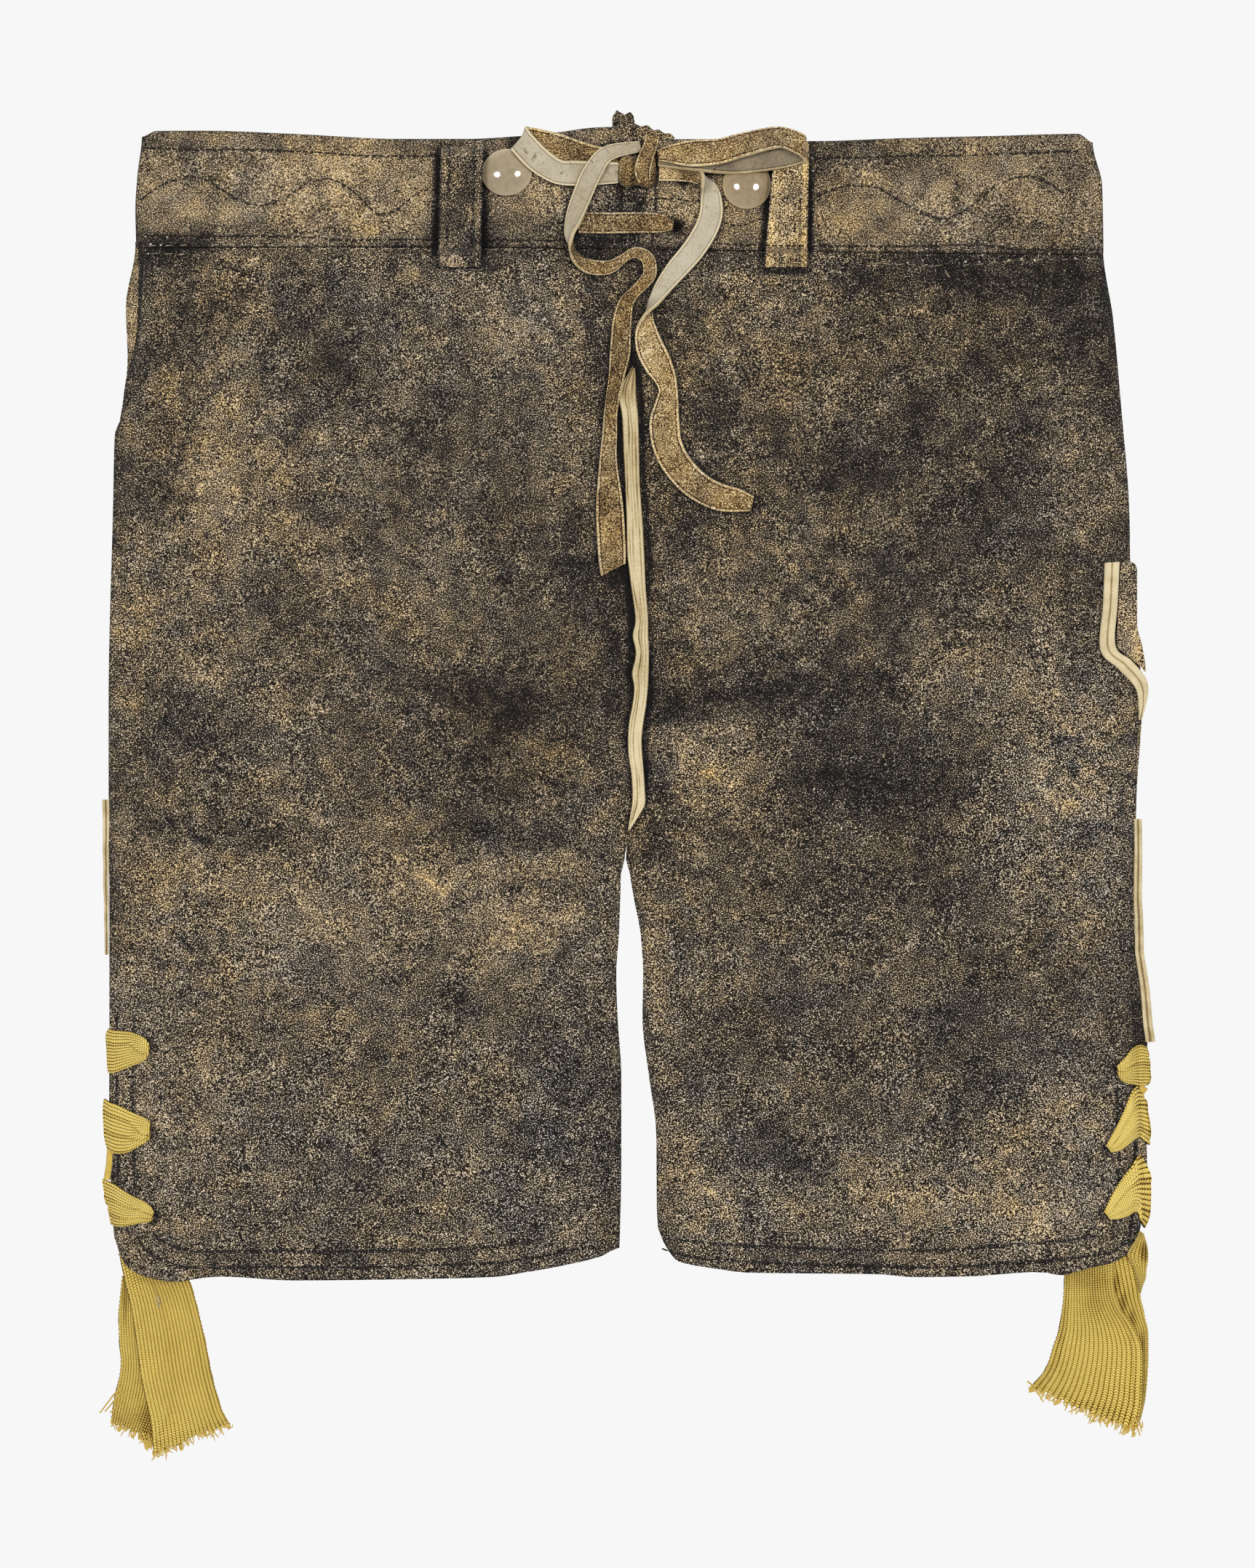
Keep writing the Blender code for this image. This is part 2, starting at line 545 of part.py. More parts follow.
def gusset():
    """Wedge behind the split, with a pinked top that stands over the waistband."""
    foot_y = SPLIT_LEFT[0][0] + GAP
    left = SPLIT_LEFT[0][1] + GAP
    right = [(x - GAP, max(y, foot_y)) for y, x in SPLIT_RIGHT]
    outline = [(left, foot_y)] + right + [(right[-1][0], right[-1][1] + GAP)]
    outline += list(reversed(PINKED_TOP)) + [(left, PINKED_TOP[0][1])]
    low = BAND_FRONT + GAP
    plate("gusset", outline, low, low + GUSSET, SUEDE)


def belt_loop(name, top, foot):
    """A strap over the waistband, standing off it by BELT_ROOM."""
    base = BAND_FRONT + GAP + BAND + GAP
    start, end = LOOP_RISE[0][0], LOOP_RISE[-1][0]
    rows = []
    for y, share in LOOP_RISE:
        down = (start - y) / (start - end)
        left = top[0] + (foot[0] - top[0]) * down
        right = top[1] + (foot[1] - top[1]) * down
        z = base + share * BELT_ROOM
        rows.append((Vector((right, y, z)), Vector((left, y, z))))
    ribbon(name, rows, LOOP_STRAP, SUEDE)


def button(name, middle):
    """A domed brace button, turned about its own upright axis."""
    low = ground(*middle) + GAP
    rings = [
        [(middle[0] + share * BUTTON_R * math.cos(2 * math.pi * s / BUTTON_SIDES),
          middle[1] + share * BUTTON_R * math.sin(2 * math.pi * s / BUTTON_SIDES),
          low + high * BUTTON_HIGH) for s in range(BUTTON_SIDES)]
        for share, high in BUTTON_SECTION
    ]
    points = [p for ring in rings for p in ring]
    faces = [tuple(reversed(range(BUTTON_SIDES)))]
    for r in range(len(rings) - 1):
        for s in range(BUTTON_SIDES):
            a = r * BUTTON_SIDES + s
            b = r * BUTTON_SIDES + (s + 1) % BUTTON_SIDES
            faces.append((a, b, b + BUTTON_SIDES, a + BUTTON_SIDES))
    points.append((middle[0], middle[1], low + BUTTON_HIGH))
    crown = len(points) - 1
    start = (len(rings) - 1) * BUTTON_SIDES
    faces += [(crown, start + s, start + (s + 1) % BUTTON_SIDES) for s in range(BUTTON_SIDES)]
    solid(name, points, faces, PEARL, smooth=True)


# ------------------------------------------------------------------ seams and the knife pocket
def seat_seam_welt():
    """Ridge of raw edges that stands out of the seat seam, narrowing to its lower end."""
    top, end = SEAT_WELT_SPAN
    count = 34
    path = []
    for k in range(count + 1):
        y = top + (end - top) * k / count
        width = WELT_WIDE * min(1.0, 0.25 + (y - end) / 20.0)
        path.append((along(SEAT_SEAM, y), y, width))
    ribbon("seat_seam_welt", rested(tape(path, 100.0)), WELT_HIGH, WELT)


def side_welt(name, table):
    """Piping that shows in a side seam, just outside the panels' edges."""
    path = [(x, y, SIDE_WELT_WIDE) for y, x in table]
    rows = [(a + Vector((0, 0, GAP)), b + Vector((0, 0, GAP))) for a, b in tape(path, 10.0)]
    ribbon(name, rows, SIDE_WELT_HIGH, WELT)


def knife_pocket():
    """The knife pocket on the side of the right leg, and the raw-edge welt round it."""
    low = max(ground(x, y) for x, y in KNIFE_POCKET) + GAP
    plate("knife_pocket", list(KNIFE_POCKET), low, low + POCKET_THICK, SUEDE)
    rows = []
    for (ax, ay), (bx, by) in POCKET_WELT:
        z = max(ground(ax, ay), ground(bx, by), ground((ax + bx) / 2, (ay + by) / 2)) + GAP
        rows.append((Vector((bx, by, z)), Vector((ax, ay, z))))
    level = max(a.z for a, b in rows)
    rows = [(Vector((a.x, a.y, level)), Vector((b.x, b.y, level))) for a, b in rows]
    ribbon("knife_pocket_welt", rows, POCKET_WELT_HIGH, WELT)


# ------------------------------------------------------------------ braid
def braid_wrap(name, pairs):
    """Braid from its eyelet over the back panel, and down round the leg's side edge."""
    side = -1 if "left" in name else 1
    outer = SIDE_LEFT if side < 0 else SIDE_RIGHT
    rows = []
    for ux, uy, lx, ly in pairs:
        upper, lower = Vector((ux, uy, 0)), Vector((lx, ly, 0))
        rows.append((lower, upper) if side < 0 else (upper, lower))
    rows = rested(rows)
    last = rows[-1]
    for out, z in BRAID_TURN:
        rows.append(tuple(
            Vector((along(outer, p.y) + side * out, p.y, z)) for p in last
        ))
    ribbon(name, rows, BRAID, BRAID_YARN)


def braid_tail(name, pairs):
    """A free end of the braid that lies on the surface below the hem."""
    fine = through(pairs, 7.0)
    rows = [(Vector((bx, by, 0)), Vector((ax, ay, 0))) for ax, ay, bx, by in fine]
    rows = rested(rows, climb=0.5)
    ribbon(name, [(a - Vector((0, 0, GAP)), b - Vector((0, 0, GAP))) if a.z < GAP * 1.01 else (a, b)
                  for a, b in rows], BRAID, BRAID_YARN)


# ------------------------------------------------------------------ the garment
def leather_lace():
    """The lace of the split: its bar, its bow with two loops and two free ends, and its knot."""
    ribbon("lace_bar", rested(tape(LACE_BAR), climb=TAUT), LACE, LACE_LEATHER)
    bow_loop("lace_loop_left", LOOP_LEFT_LOWER, LOOP_LEFT_UPPER)
    ribbon("lace_tail_left", rested(tape(TAIL_LEFT)), LACE, LACE_LEATHER)
    ribbon("lace_tail_right", rested(tape(TAIL_RIGHT)), LACE, LACE_LEATHER)
    bow_loop("lace_loop_right", LOOP_RIGHT_LOWER, LOOP_RIGHT_UPPER)
    bead("lace_knot", KNOT_MIDDLE, KNOT_HALF, BAND_FRONT + GAP + BAND + GAP, LACE_LEATHER)
    ribbon("lace_upper", rested(tape(LACE_UPPER, 3.0)), LACE, LACE_LEATHER)


def build():
    """Make every piece, from the surface upwards."""
    for old in list(bpy.data.objects):
        bpy.data.objects.remove(old)
    leg_panel("front_left", -1, SIDE_FRONT_LEFT, FRONT_COLUMNS, crowned=False, hem_rise=0.5)
    leg_panel("front_right", 1, SIDE_RIGHT, FRONT_COLUMNS, crowned=False, hem_rise=0.5)
    for name, pairs in BRAID_TAILS.items():
        braid_tail(name, pairs)
    leg_panel("back_left", -1, SIDE_LEFT, BACK_COLUMNS, crowned=True)
    leg_panel("back_right", 1, SIDE_RIGHT, BACK_COLUMNS, crowned=True)
    waistband()
    gusset()
    belt_loop("belt_loop_left", LOOP_LEFT_TOP, LOOP_LEFT_FOOT)
    belt_loop("belt_loop_right", LOOP_RIGHT_TOP, LOOP_RIGHT_FOOT)
    for name, middle in BUTTONS.items():
        button(name, middle)
    seat_seam_welt()
    side_welt("side_seam_welt_left", SIDE_WELT_LEFT)
    side_welt("side_seam_welt_right", SIDE_WELT_RIGHT)
    knife_pocket()
    for name, pairs in BRAID_WRAPS.items():
        braid_wrap(name, pairs)
    x, y = BRAID_KNOT_MIDDLE
    under = max(ground(x, y), ground(x, y - BRAID_KNOT_HALF[1] / 2))
    bead("braid_knot_right", BRAID_KNOT_MIDDLE, BRAID_KNOT_HALF, under + GAP, BRAID_YARN, 10, 6)
    leather_lace()


build()
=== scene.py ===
"""Looks of the leather breeches: back side up, laid flat, seen straight from above.

Lengths are in millimetres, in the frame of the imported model: +X the wearer's right, +Y the waist,
+Z up.  They become metres when a mesh is made.  Places read off the photograph are in its pixels,
in tables named so, and at() turns them into millimetres.
"""

import math

import bpy
import numpy as np
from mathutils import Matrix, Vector
from mathutils.bvhtree import BVHTree


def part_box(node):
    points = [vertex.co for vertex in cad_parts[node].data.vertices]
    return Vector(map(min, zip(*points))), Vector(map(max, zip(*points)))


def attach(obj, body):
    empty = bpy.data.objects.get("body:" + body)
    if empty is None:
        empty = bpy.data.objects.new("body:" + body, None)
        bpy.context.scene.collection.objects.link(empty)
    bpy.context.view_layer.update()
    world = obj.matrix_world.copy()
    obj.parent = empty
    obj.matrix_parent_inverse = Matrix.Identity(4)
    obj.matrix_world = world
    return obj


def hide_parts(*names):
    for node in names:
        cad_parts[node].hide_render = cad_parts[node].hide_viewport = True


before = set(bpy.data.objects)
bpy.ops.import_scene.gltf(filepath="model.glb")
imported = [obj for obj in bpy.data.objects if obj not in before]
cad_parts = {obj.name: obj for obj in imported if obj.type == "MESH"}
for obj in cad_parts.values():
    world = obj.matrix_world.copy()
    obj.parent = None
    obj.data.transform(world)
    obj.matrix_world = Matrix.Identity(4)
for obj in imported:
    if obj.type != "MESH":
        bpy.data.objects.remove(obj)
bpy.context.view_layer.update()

# ------------------------------------------------------------------ sizes
MM = 0.001
BODY = "root"
PX = 0.3              # millimetres in a pixel of the photograph
PX_MIDDLE = (862, 1076)
GAP = 0.3             # clearance between two pieces that touch
HIDE = 1.6            # thickness of the leg leather
HIDE_SKIVED = 0.85    # the same where it is pared down at a seam
BAND_LOW = 2.7        # underside of the back waistband
BAND = 2.5            # its thickness
BAND_FRONT = 2.4      # thickness of the front waistband
CROWN = 3.2           # how far a back panel swells over the front one
CROWN_REACH = 40.0    # how far in from its sides the swelling is full
END_REACH = 60.0      # the same from its top and its hem
END_SHARE = 0.45      # share of the swelling left at its top and its hem
CROTCH_Y = -32.0      # where the legs part
PANEL_WIDE = 213.0    # lengths that rows of points are spaced along: across a panel,
BODY_LONG = 252.7     # down it to the crotch,
LEG_LONG = 171.0      # down its leg,
BAND_WIDE = 396.0     # across the front waistband
BAND_HIGH = 47.5      # and down it
LACE = 1.4            # thickness of the leather lace
BRAID = 1.2           # thickness of the braid
BRAID_WIDE = 27.0     # width of the braid, laid flat
HALF_HIDDEN = 0.4     # share of that width that shows where a free end lies under another
WRAP_WIDE = 19.0      # width of knitting that is gathered into an eyelet
KNOT_WIDE = 8.0       # the same in the doubled turn at the hem's corner
WALE = 1.4            # width of one column of its knitting
COURSE = 0.9          # height of one stitch of its knitting
LOOP_STRAP = 1.7      # thickness of a belt loop
BELT_ROOM = 4.4       # room for the belt under it
BUTTON_R = 10.1       # radius of a brace button
BUTTON_HIGH = 4.4     # its height
BUTTON_DOME = 0.93    # share of that height that its crown reaches
BUTTON_SIDES = 72
WELT_HIGH = 3.4       # height of the seat seam's welt over the leather
POCKET_TOP = 91.8     # where the knife pocket starts and ends along Y
POCKET_FOOT = 45.8
POCKET_LONG = 46.0
LOOP_TOP = 257.5      # where a belt loop starts on the waistband along Y
LOOP_LONG = 46.0      # and how far it runs down
TAUT = 0.05           # rise of the lace for each millimetre where it is pulled straight
EYE = (0.15, -0.6, 1527.0)   # the camera


def seen(points):
    """Points drawn in by their height, so that each shows over its own place on the surface."""
    moved = np.array(points, dtype=float)
    share = np.clip(moved[..., 2:3], 0, None) / EYE[2]
    moved[..., :2] += (np.array(EYE[:2]) - moved[..., :2]) * share
    return moved


def at(px, py):
    """Place in millimetres of a pixel of the photograph."""
    return (px - PX_MIDDLE[0]) * PX, (PX_MIDDLE[1] - py) * PX


# ------------------------------------------------------------------ outlines, as in the solids
SIDE_LEFT = (
    (221, -201.5), (188, -201.8), (176, -204.0), (167, -206.5), (150, -209.0), (143, -211.3),
    (113, -212.0), (35, -213.8), (-7, -213.8), (-70, -213.3), (-142, -213.6), (-160, -212.6), (-184, -210.8),
    (-206, -209.8),
)
SIDE_RIGHT = (
    (221, 196.2), (191, 200.4), (155, 203.7), (113, 207.0), (101, 207.3), (95, 206.0),
    (88, 207.5), (65, 209.3), (50, 211.3), (35, 212.6), (25, 211.3), (17, 210.3), (-7, 209.8),
    (-37, 208.5), (-67, 208.2), (-97, 208.8), (-145, 210.6), (-175, 211.8), (-206, 212.0),
)
SIDE_FRONT_LEFT = (
    (221, -202.8), (196, -206.7), (176, -206.0), (150, -208.7), (143, -211.0), (113, -211.8),
    (35, -213.5), (-142, -213.5), (-184, -211.8), (-206, -208.8),
)
SIDE_FRONT_RIGHT = (
    (221, 196.2), (191, 200.4), (155, 203.7), (113, 207.0), (88, 207.5), (65, 209.3), (35, 212.4),
    (-7, 210.0), (-60, 209.2), (-84, 212.6), (-108, 214.6), (-114, 212.4), (-140, 211.0), (-149, 214.2),
    (-161, 214.4), (-168, 212.0), (-206, 212.0),
)
SEAT_SEAM = (
    (221, 0.0), (190, -0.3), (172, 0.6), (155, 0.9), (137, 1.8), (113, 3.0), (95, 4.2),
    (77, 5.7), (60, 6.3), (41, 4.8), (23, 5.4), (5, 6.0), (-4, 5.4), (-13, 3.6), (-20, 0.9),
    (CROTCH_Y, -0.8),
)
INNER_LEFT = (
    (CROTCH_Y - 2, -2.6), (-61, -3.3), (-79, -4.5), (-97, -3.9), (-121, -2.4), (-157, -2.4),
    (-187, -3.0), (-206, -3.6),
)
INNER_RIGHT = (
    (CROTCH_Y - 2, 1.0), (-49, 3.0), (-61, 5.4), (-79, 6.6), (-97, 6.3), (-121, 9.0),
    (-145, 12.0), (-175, 12.2), (-187, 13.0), (-206, 14.0),
)
HEM_LEFT = (
    (0, -188.5), (1.0, -194.6), (2.4, -197.6), (4.2, -200.0), (6.2, -201.5), (8.6, -202.8), (12.5, -204.2),
    (17, -205.2), (21, -205.8), (26, -205.8), (29.5, -205.2), (35, -204.3),
    (43, -203.8), (73, -205.4), (125, -204.8), (155, -204.0), (170, -201.9), (185, -199.2),
    (200, -195.6), (208, -192.0),
)
HEM_RIGHT = (
    (0, -184.0), (2, -190.0), (7.5, -197.5), (22, -200.4), (37, -202.2), (90, -202.8),
    (105, -204.0), (127, -203.7), (157, -201.9), (166, -203.2), (172, -201.8), (178, -200.2), (186, -198.4),
    (191, -196.0), (194.7, -193.0), (197.1, -189.9), (198.3, -185.7), (199, -182.5),
)
BAND_FOOT = ((-203, 220.8), (-100, 221.0), (0, 220.3), (60, 219.3), (197, 218.0))
BAND_TOP_LEFT = (
    (-200.1, 266.4), (-194, 268.8), (-175, 268.9), (-138, 267.6), (-94, 265.5), (-66, 265.5),
    (-48, 266.4), (-31, 267.9), (-12, 270.3), (-2.1, 270.5),
)
BAND_TOP_RIGHT = (
    (9.0, 265.4), (32, 265.4), (78, 264.6), (113, 265.8), (150, 266.7), (186, 267.6),
    (192, 264.0),
)
BAND_SIDE_LEFT = ((221, -202.5), (236, -202.8), (251, -201.9), (266.4, -200.1))
BAND_SIDE_RIGHT = ((218, 196.4), (246, 195.9), (264, 192.0))
SPLIT_LEFT = ((220.3, -2.1), (270.5, -2.1))
SPLIT_RIGHT = ((219.8, 4.2), (246, 8.4), (265.4, 9.0))
PINKED_TOP = (
    (-6.0, 271.0), (-6.0, 274.8), (-4.2, 277.5), (-1.2, 275.4), (1.2, 276.6), (2.7, 274.8),
    (3.0, 271.9), (5.7, 270.6), (8.4, 271.2), (10.5, 269.0), (13.2, 269.4), (15.3, 267.6),
    (17.4, 267.9), (19.8, 265.9),
)
GUSSET = 1.1
LOOP_LEFT = ((-76.8, -59.4), (-78.0, -60.2))       # top and foot, each (left x, right x)
LOOP_RIGHT = ((60.9, 75.0), (56.6, 74.4))
LOOP_RISE = (
    (264.6, 0.0), (262.6, 0.08), (260.6, 0.8), (259.4, 1.0), (222.4, 1.0), (220.4, 0.75),
    (218.2, 0.08), (212.6, 0.0),
)
BUTTONS = {"button_left": (-49.6, 251.7), "button_right": (49.4, 246.6)}
# Edges of the welt in the seat seam, in pixels: (left x, right x, y).
SEAT_WELT = (
    (868, 873, 506), (854, 874, 530), (850.5, 874.5, 548), (855, 877, 573), (857, 878.5, 620),
    (859.5, 879.5, 667), (861, 883, 713), (862, 885.5, 760), (864.5, 886.5, 783), (867.5, 887.5, 807),
    (872, 890, 838), (873, 891, 856), (869.5, 891, 874), (873.5, 892, 894), (872.5, 892, 908),
    (868.5, 891.5, 926), (871.5, 890.5, 947), (869, 888, 970), (864.5, 884.5, 993), (863, 882, 1017),
    (864, 883, 1040), (867.5, 885, 1063), (869, 886.5, 1087), (868.5, 886.5, 1106), (866, 878, 1122),
    (863, 866, 1141),
)
SIDE_WELT_LEFT = ((-7, -214.9), (-40, -214.8), (-71, -214.6))
SIDE_WELT_RIGHT = (
    (-15, 210.6), (-45, 210.6), (-67, 211.2), (-88, 213.6), (-99, 214.6), (-107, 215.9),
)
POCKET_LEFT = ((91.8, 205.2), (90.0, 203.5), (74.0, 202.7), (56.8, 201.9), (50.9, 208.0), (45.8, 213.0))
POCKET_RIGHT = ((91.8, 206.4), (90.3, 209.4), (87.5, 210.3), (65.0, 210.3), (56.4, 212.4), (45.8, 213.8))
POCKET_WELT = (
    ((196.8, 90.6), (203.1, 91.0)), ((196.2, 74.0), (202.3, 74.2)), ((195.0, 54.9), (201.4, 56.5)),
    ((202.5, 46.8), (207.9, 50.4)), ((209.6, 38.8), (213.8, 43.2)), ((210.8, 30.0), (214.8, 36.3)),
    ((210.9, 26.0), (212.2, 25.6)),
)
POCKET_WELT_HIGH = 2.4

# Lace runs, each (x, y, width, roll): roll is in half turns, and the other side shows past 0.5.
LACE_BAR = (
    (-20.0, 231.0, 8.6, 0), (-8, 230.8, 8.6, 0), (6, 231.0, 8.4, 0), (13, 230.7, 7.8, 0),
    (16.4, 230.1, 5.8, 0), (19.0, 229.6, 3.2, 0),
)
LOOP_LEFT_UPPER = (
    (-3.8, 251.5, 8.4, 0), (-11, 251.4, 9.5, 0), (-20.8, 251.3, 10.2, 0), (-28.8, 252.0, 10.0, 0),
    (-37.2, 257.4, 10.8, 0), (-43.6, 264.2, 10.7, 0),
)
LOOP_LEFT_LOWER = (
    (-3.8, 256.6, 8.0, 0), (-14.4, 257.9, 10.0, 0), (-20.7, 259.4, 10.6, 0), (-28.2, 262.0, 10.8, 0),
    (-36.0, 264.0, 10.8, 0), (-42.2, 265.2, 10.7, 0),
)
LOOP_RIGHT_UPPER = (
    (13.0, 258.6, 4.6, 0), (17.3, 259.2, 7.0, 0), (26.7, 259.5, 10.8, 0), (37.8, 260.4, 10.4, 0),
    (48.9, 263.4, 9.6, 0), (62.7, 266.2, 8.6, 0), (71.0, 263.6, 8.8, 0),
)
LOOP_RIGHT_LOWER = (
    (13.0, 257.4, 6.4, 0), (29.4, 256.8, 9.0, 0), (43.2, 255.6, 9.0, 0), (54.3, 256.5, 9.0, 0),
    (65.4, 258.2, 9.0, 0), (71.4, 260.0, 8.8, 0),
)
TAIL_LEFT = (
    (5.4, 262.3, 4.5, 0), (-7.8, 259.6, 6.5, 0), (-14.1, 252.2, 8.0, 0), (-18.6, 242.1, 8.0, 0),
    (-21.9, 233.1, 6.9, 0.05), (-23.6, 226.5, 4.4, 0.25), (-22.5, 219.6, 3.6, 0.6), (-18.3, 214.2, 5.0, 0.9),
    (-13.4, 212.4, 6.0, 1), (-6.9, 212.7, 5.4, 1), (-1.5, 216.2, 3.6, 1), (3.6, 218.6, 4.4, 1),
    (8.4, 216.1, 5.4, 1), (9.4, 210.2, 5.4, 1), (7.0, 206.3, 5.0, 1), (3.2, 202.4, 4.6, 1),
    (-0.3, 198.0, 6.0, 1), (-2.0, 190.7, 7.6, 1), (-2.6, 183.0, 8.0, 1), (-3.0, 176.7, 8.2, 1),
    (-4.8, 165.0, 6.0, 1), (-6.6, 154.2, 5.4, 1), (-7.2, 143.4, 6.0, 1), (-7.8, 132.0, 7.2, 1),
    (-7.2, 114.0, 11.0, 1), (-6.3, 95.7, 11.4, 1), (-5.7, 87.8, 10.4, 1),
)
TAIL_RIGHT = (
    (13.2, 252.0, 7.6, 0), (21.9, 251.8, 7.6, 0), (29.0, 250.4, 6.6, 0.2), (33.6, 246.6, 6.6, 0.75),
    (34.6, 241.0, 8.6, 1), (34.6, 234.6, 9.5, 1), (32.4, 228.0, 9.6, 1), (27.3, 219.8, 9.4, 1),
    (20.7, 212.0, 8.8, 1), (14.9, 204.7, 7.0, 1.05), (10.2, 197.8, 4.8, 1.3), (8.4, 192.6, 4.4, 1.7),
    (8.0, 186.3, 9.0, 2), (9.4, 179.4, 11.4, 2), (12.6, 172.8, 11.4, 2), (15.6, 167.0, 9.0, 2),
    (16.9, 161.8, 7.6, 2), (16.4, 156.3, 9.6, 2), (15.4, 148.8, 12.2, 2), (16.2, 140.4, 12.2, 2),
    (19.6, 132.6, 12.0, 2), (25.6, 125.2, 11.8, 2), (32.0, 120.4, 11.4, 2), (38.6, 117.6, 11.0, 2),
    (45.3, 116.4, 9.6, 2), (51.6, 114.9, 6.0, 2),
)
LACE_UPPER = (
    (10.4, 266.6, 5.6, 0), (9.4, 262.2, 5.6, 0), (7.6, 257.6, 6.2, 0), (6.4, 252.6, 6.6, 0),
    (7.2, 248.0, 5.0, 0),
)
KNOT_MIDDLE = (4.2, 252.0)
KNOT_HALF = (7.4, 6.4, 3.4)

# Painted shadow beside and under the lace: (change, run).
LACE_SHADOWS = (
    (0.20, TAIL_LEFT), (0.18, TAIL_RIGHT), (0.22, LACE_BAR), (0.18, LOOP_LEFT_UPPER), (0.18, LOOP_LEFT_LOWER),
    (0.20, LOOP_RIGHT_LOWER), (0.20, ((-1.0, 256.0, 7.0), (0.5, 226.0, 5.0))),
    (0.24, ((-17.0, 224.0, 0.4), (0.0, 223.6, 0.4))),
)

# Braid drawn through the eyelets, in pixels: rows from the eyelet outwards, each (upper x, y, lower x, y);
# the line where it turns under at the side; folds in it, each (share down at the eyelet, at the side,
# step in millimetres).
BRAID_WRAPS = {
    "braid_left_1": (
        ((205, 1441, 204, 1448), (202, 1433, 201, 1454), (197, 1427, 196, 1459), (181, 1420, 181, 1465),
         (168, 1418, 166, 1471), (157, 1417, 156, 1475)),
        ((150, 1415), (147, 1424), (148, 1440), (149, 1464), (150, 1475)),
        ((0.75, 0.31, 0.9),),
    ),
    "braid_left_2": (
        ((206, 1546, 206, 1563), (203, 1540, 200, 1570), (194, 1535, 188, 1577), (181, 1529, 175, 1584),
         (163, 1520, 162, 1586), (152, 1516, 154, 1584)),
        ((144, 1511), (143, 1528), (144, 1547), (145, 1563), (149, 1581)),
        ((0.7, 0.22, 0.7), (0.85, 0.6, 0.5)),
    ),
    "braid_left_3": (
        ((211, 1667, 209, 1677), (206, 1659, 203, 1680), (197, 1652, 192, 1681), (186, 1647, 179, 1684),
         (172, 1639, 167, 1686), (158, 1629, 160, 1686)),
        ((142, 1621), (141, 1626), (143, 1637), (145, 1650), (150, 1663), (154, 1684)),
        ((0.5, 0.35, 0.5), (0.75, 0.72, 0.4)),
    ),
    "braid_right_1": (
        ((1536, 1467, 1537, 1477), (1541, 1461, 1541, 1484), (1548, 1454, 1549, 1489),
         (1556, 1443, 1558, 1491),
         (1564, 1438, 1566, 1493), (1570, 1437, 1572, 1493)),
        ((1575, 1439), (1577, 1447), (1580, 1459), (1580, 1470), (1581, 1484), (1577, 1492)),
        ((0.5, 0.42, 0.7),),
    ),
    "braid_right_2": (
        ((1521, 1576, 1527, 1584), (1529, 1561, 1540, 1581), (1538, 1544, 1550, 1574),
         (1548, 1522, 1560, 1566),
         (1556, 1501, 1567, 1564), (1562, 1494, 1572, 1568)),
        ((1566, 1494), (1571, 1507), (1576, 1515), (1577, 1529), (1580, 1545), (1581, 1560), (1579, 1574)),
        ((0.4, 0.3, 0.6), (0.7, 0.75, 0.4)),
    ),
    "braid_right_3": (
        ((1518, 1667, 1526, 1676), (1525, 1652, 1539, 1675), (1535, 1633, 1550, 1672),
         (1546, 1617, 1560, 1666),
         (1556, 1604, 1566, 1670), (1563, 1591, 1569, 1682)),
        ((1567, 1588), (1573, 1600), (1579, 1612), (1582, 1628), (1582, 1645), (1580, 1671), (1573, 1688)),
        ((0.4, 0.33, 0.6), (0.7, 0.75, 0.4)),
    ),
}
# Free ends of the braid, in pixels: rows downwards, each (left x, y, right x, y), and the line of its top
# under the hem.
BRAID_TAILS = {
    "braid_tail_left_back": (
        ((168, 1754, 209, 1764), (165, 1783, 222, 1796), (163, 1809, 228, 1822), (164, 1843, 232, 1849),
         (166, 1871, 235, 1875), (164, 1893, 237, 1899), (159, 1914, 236, 1922), (155, 1935, 228, 1950),
         (153, 1951, 212, 1984)),
        None,
    ),
    "braid_tail_left_front": (
        ((163, 1736, 259, 1764), (171, 1761, 266, 1781), (179, 1790, 272, 1800), (185, 1825, 280, 1832),
         (190, 1862, 286, 1862), (195, 1897, 291, 1888), (202, 1929, 298, 1915), (208, 1958, 306, 1940),
         (211, 1999, 315, 1956)),
        ((162, 1722), (167, 1726), (174, 1731), (184, 1738), (195, 1747), (210, 1753), (228, 1757),
         (259, 1757)),
    ),
    "braid_tail_right_back": (
        ((1516, 1742, 1556, 1726), (1520, 1765, 1566, 1768), (1526, 1785, 1568, 1785),
         (1536, 1805, 1572, 1804),
         (1552, 1828, 1577, 1826), (1556, 1850, 1578, 1850), (1558, 1878, 1578, 1878),
         (1558, 1906, 1576, 1906),
         (1558, 1933, 1572, 1933), (1557, 1956, 1567, 1954)),
        ((1516, 1735), (1531, 1731), (1544, 1725), (1556, 1716)),
    ),
    "braid_tail_right_front": (
        ((1463, 1756, 1530, 1744), (1462, 1776, 1531, 1772), (1460, 1797, 1538, 1796),
         (1455, 1828, 1556, 1822),
         (1447, 1852, 1568, 1848), (1441, 1872, 1570, 1874), (1434, 1886, 1569, 1905),
         (1426, 1896, 1568, 1932),
         (1417, 1906, 1560, 1966)),
        ((1463, 1747), (1480, 1744), (1500, 1739), (1515, 1735), (1530, 1731)),
    ),
}
BRAID_KNOT = (
    (1566, 1692, 1572, 1696), (1560, 1705, 1576, 1709), (1553, 1715, 1578, 1721), (1549, 1726, 1578, 1734),
    (1557, 1742, 1576, 1745), (1562, 1757, 1575, 1757), (1564, 1768, 1571, 1768), (1566, 1777, 1568, 1778),
)
# Edges of the braid that show beside the legs, in pixels.
BRAID_EDGES = (
    ((152, 1576), (151, 1592), (150, 1604), (147, 1622)), ((1567, 1494), (1571, 1498), (1575, 1501)),
)
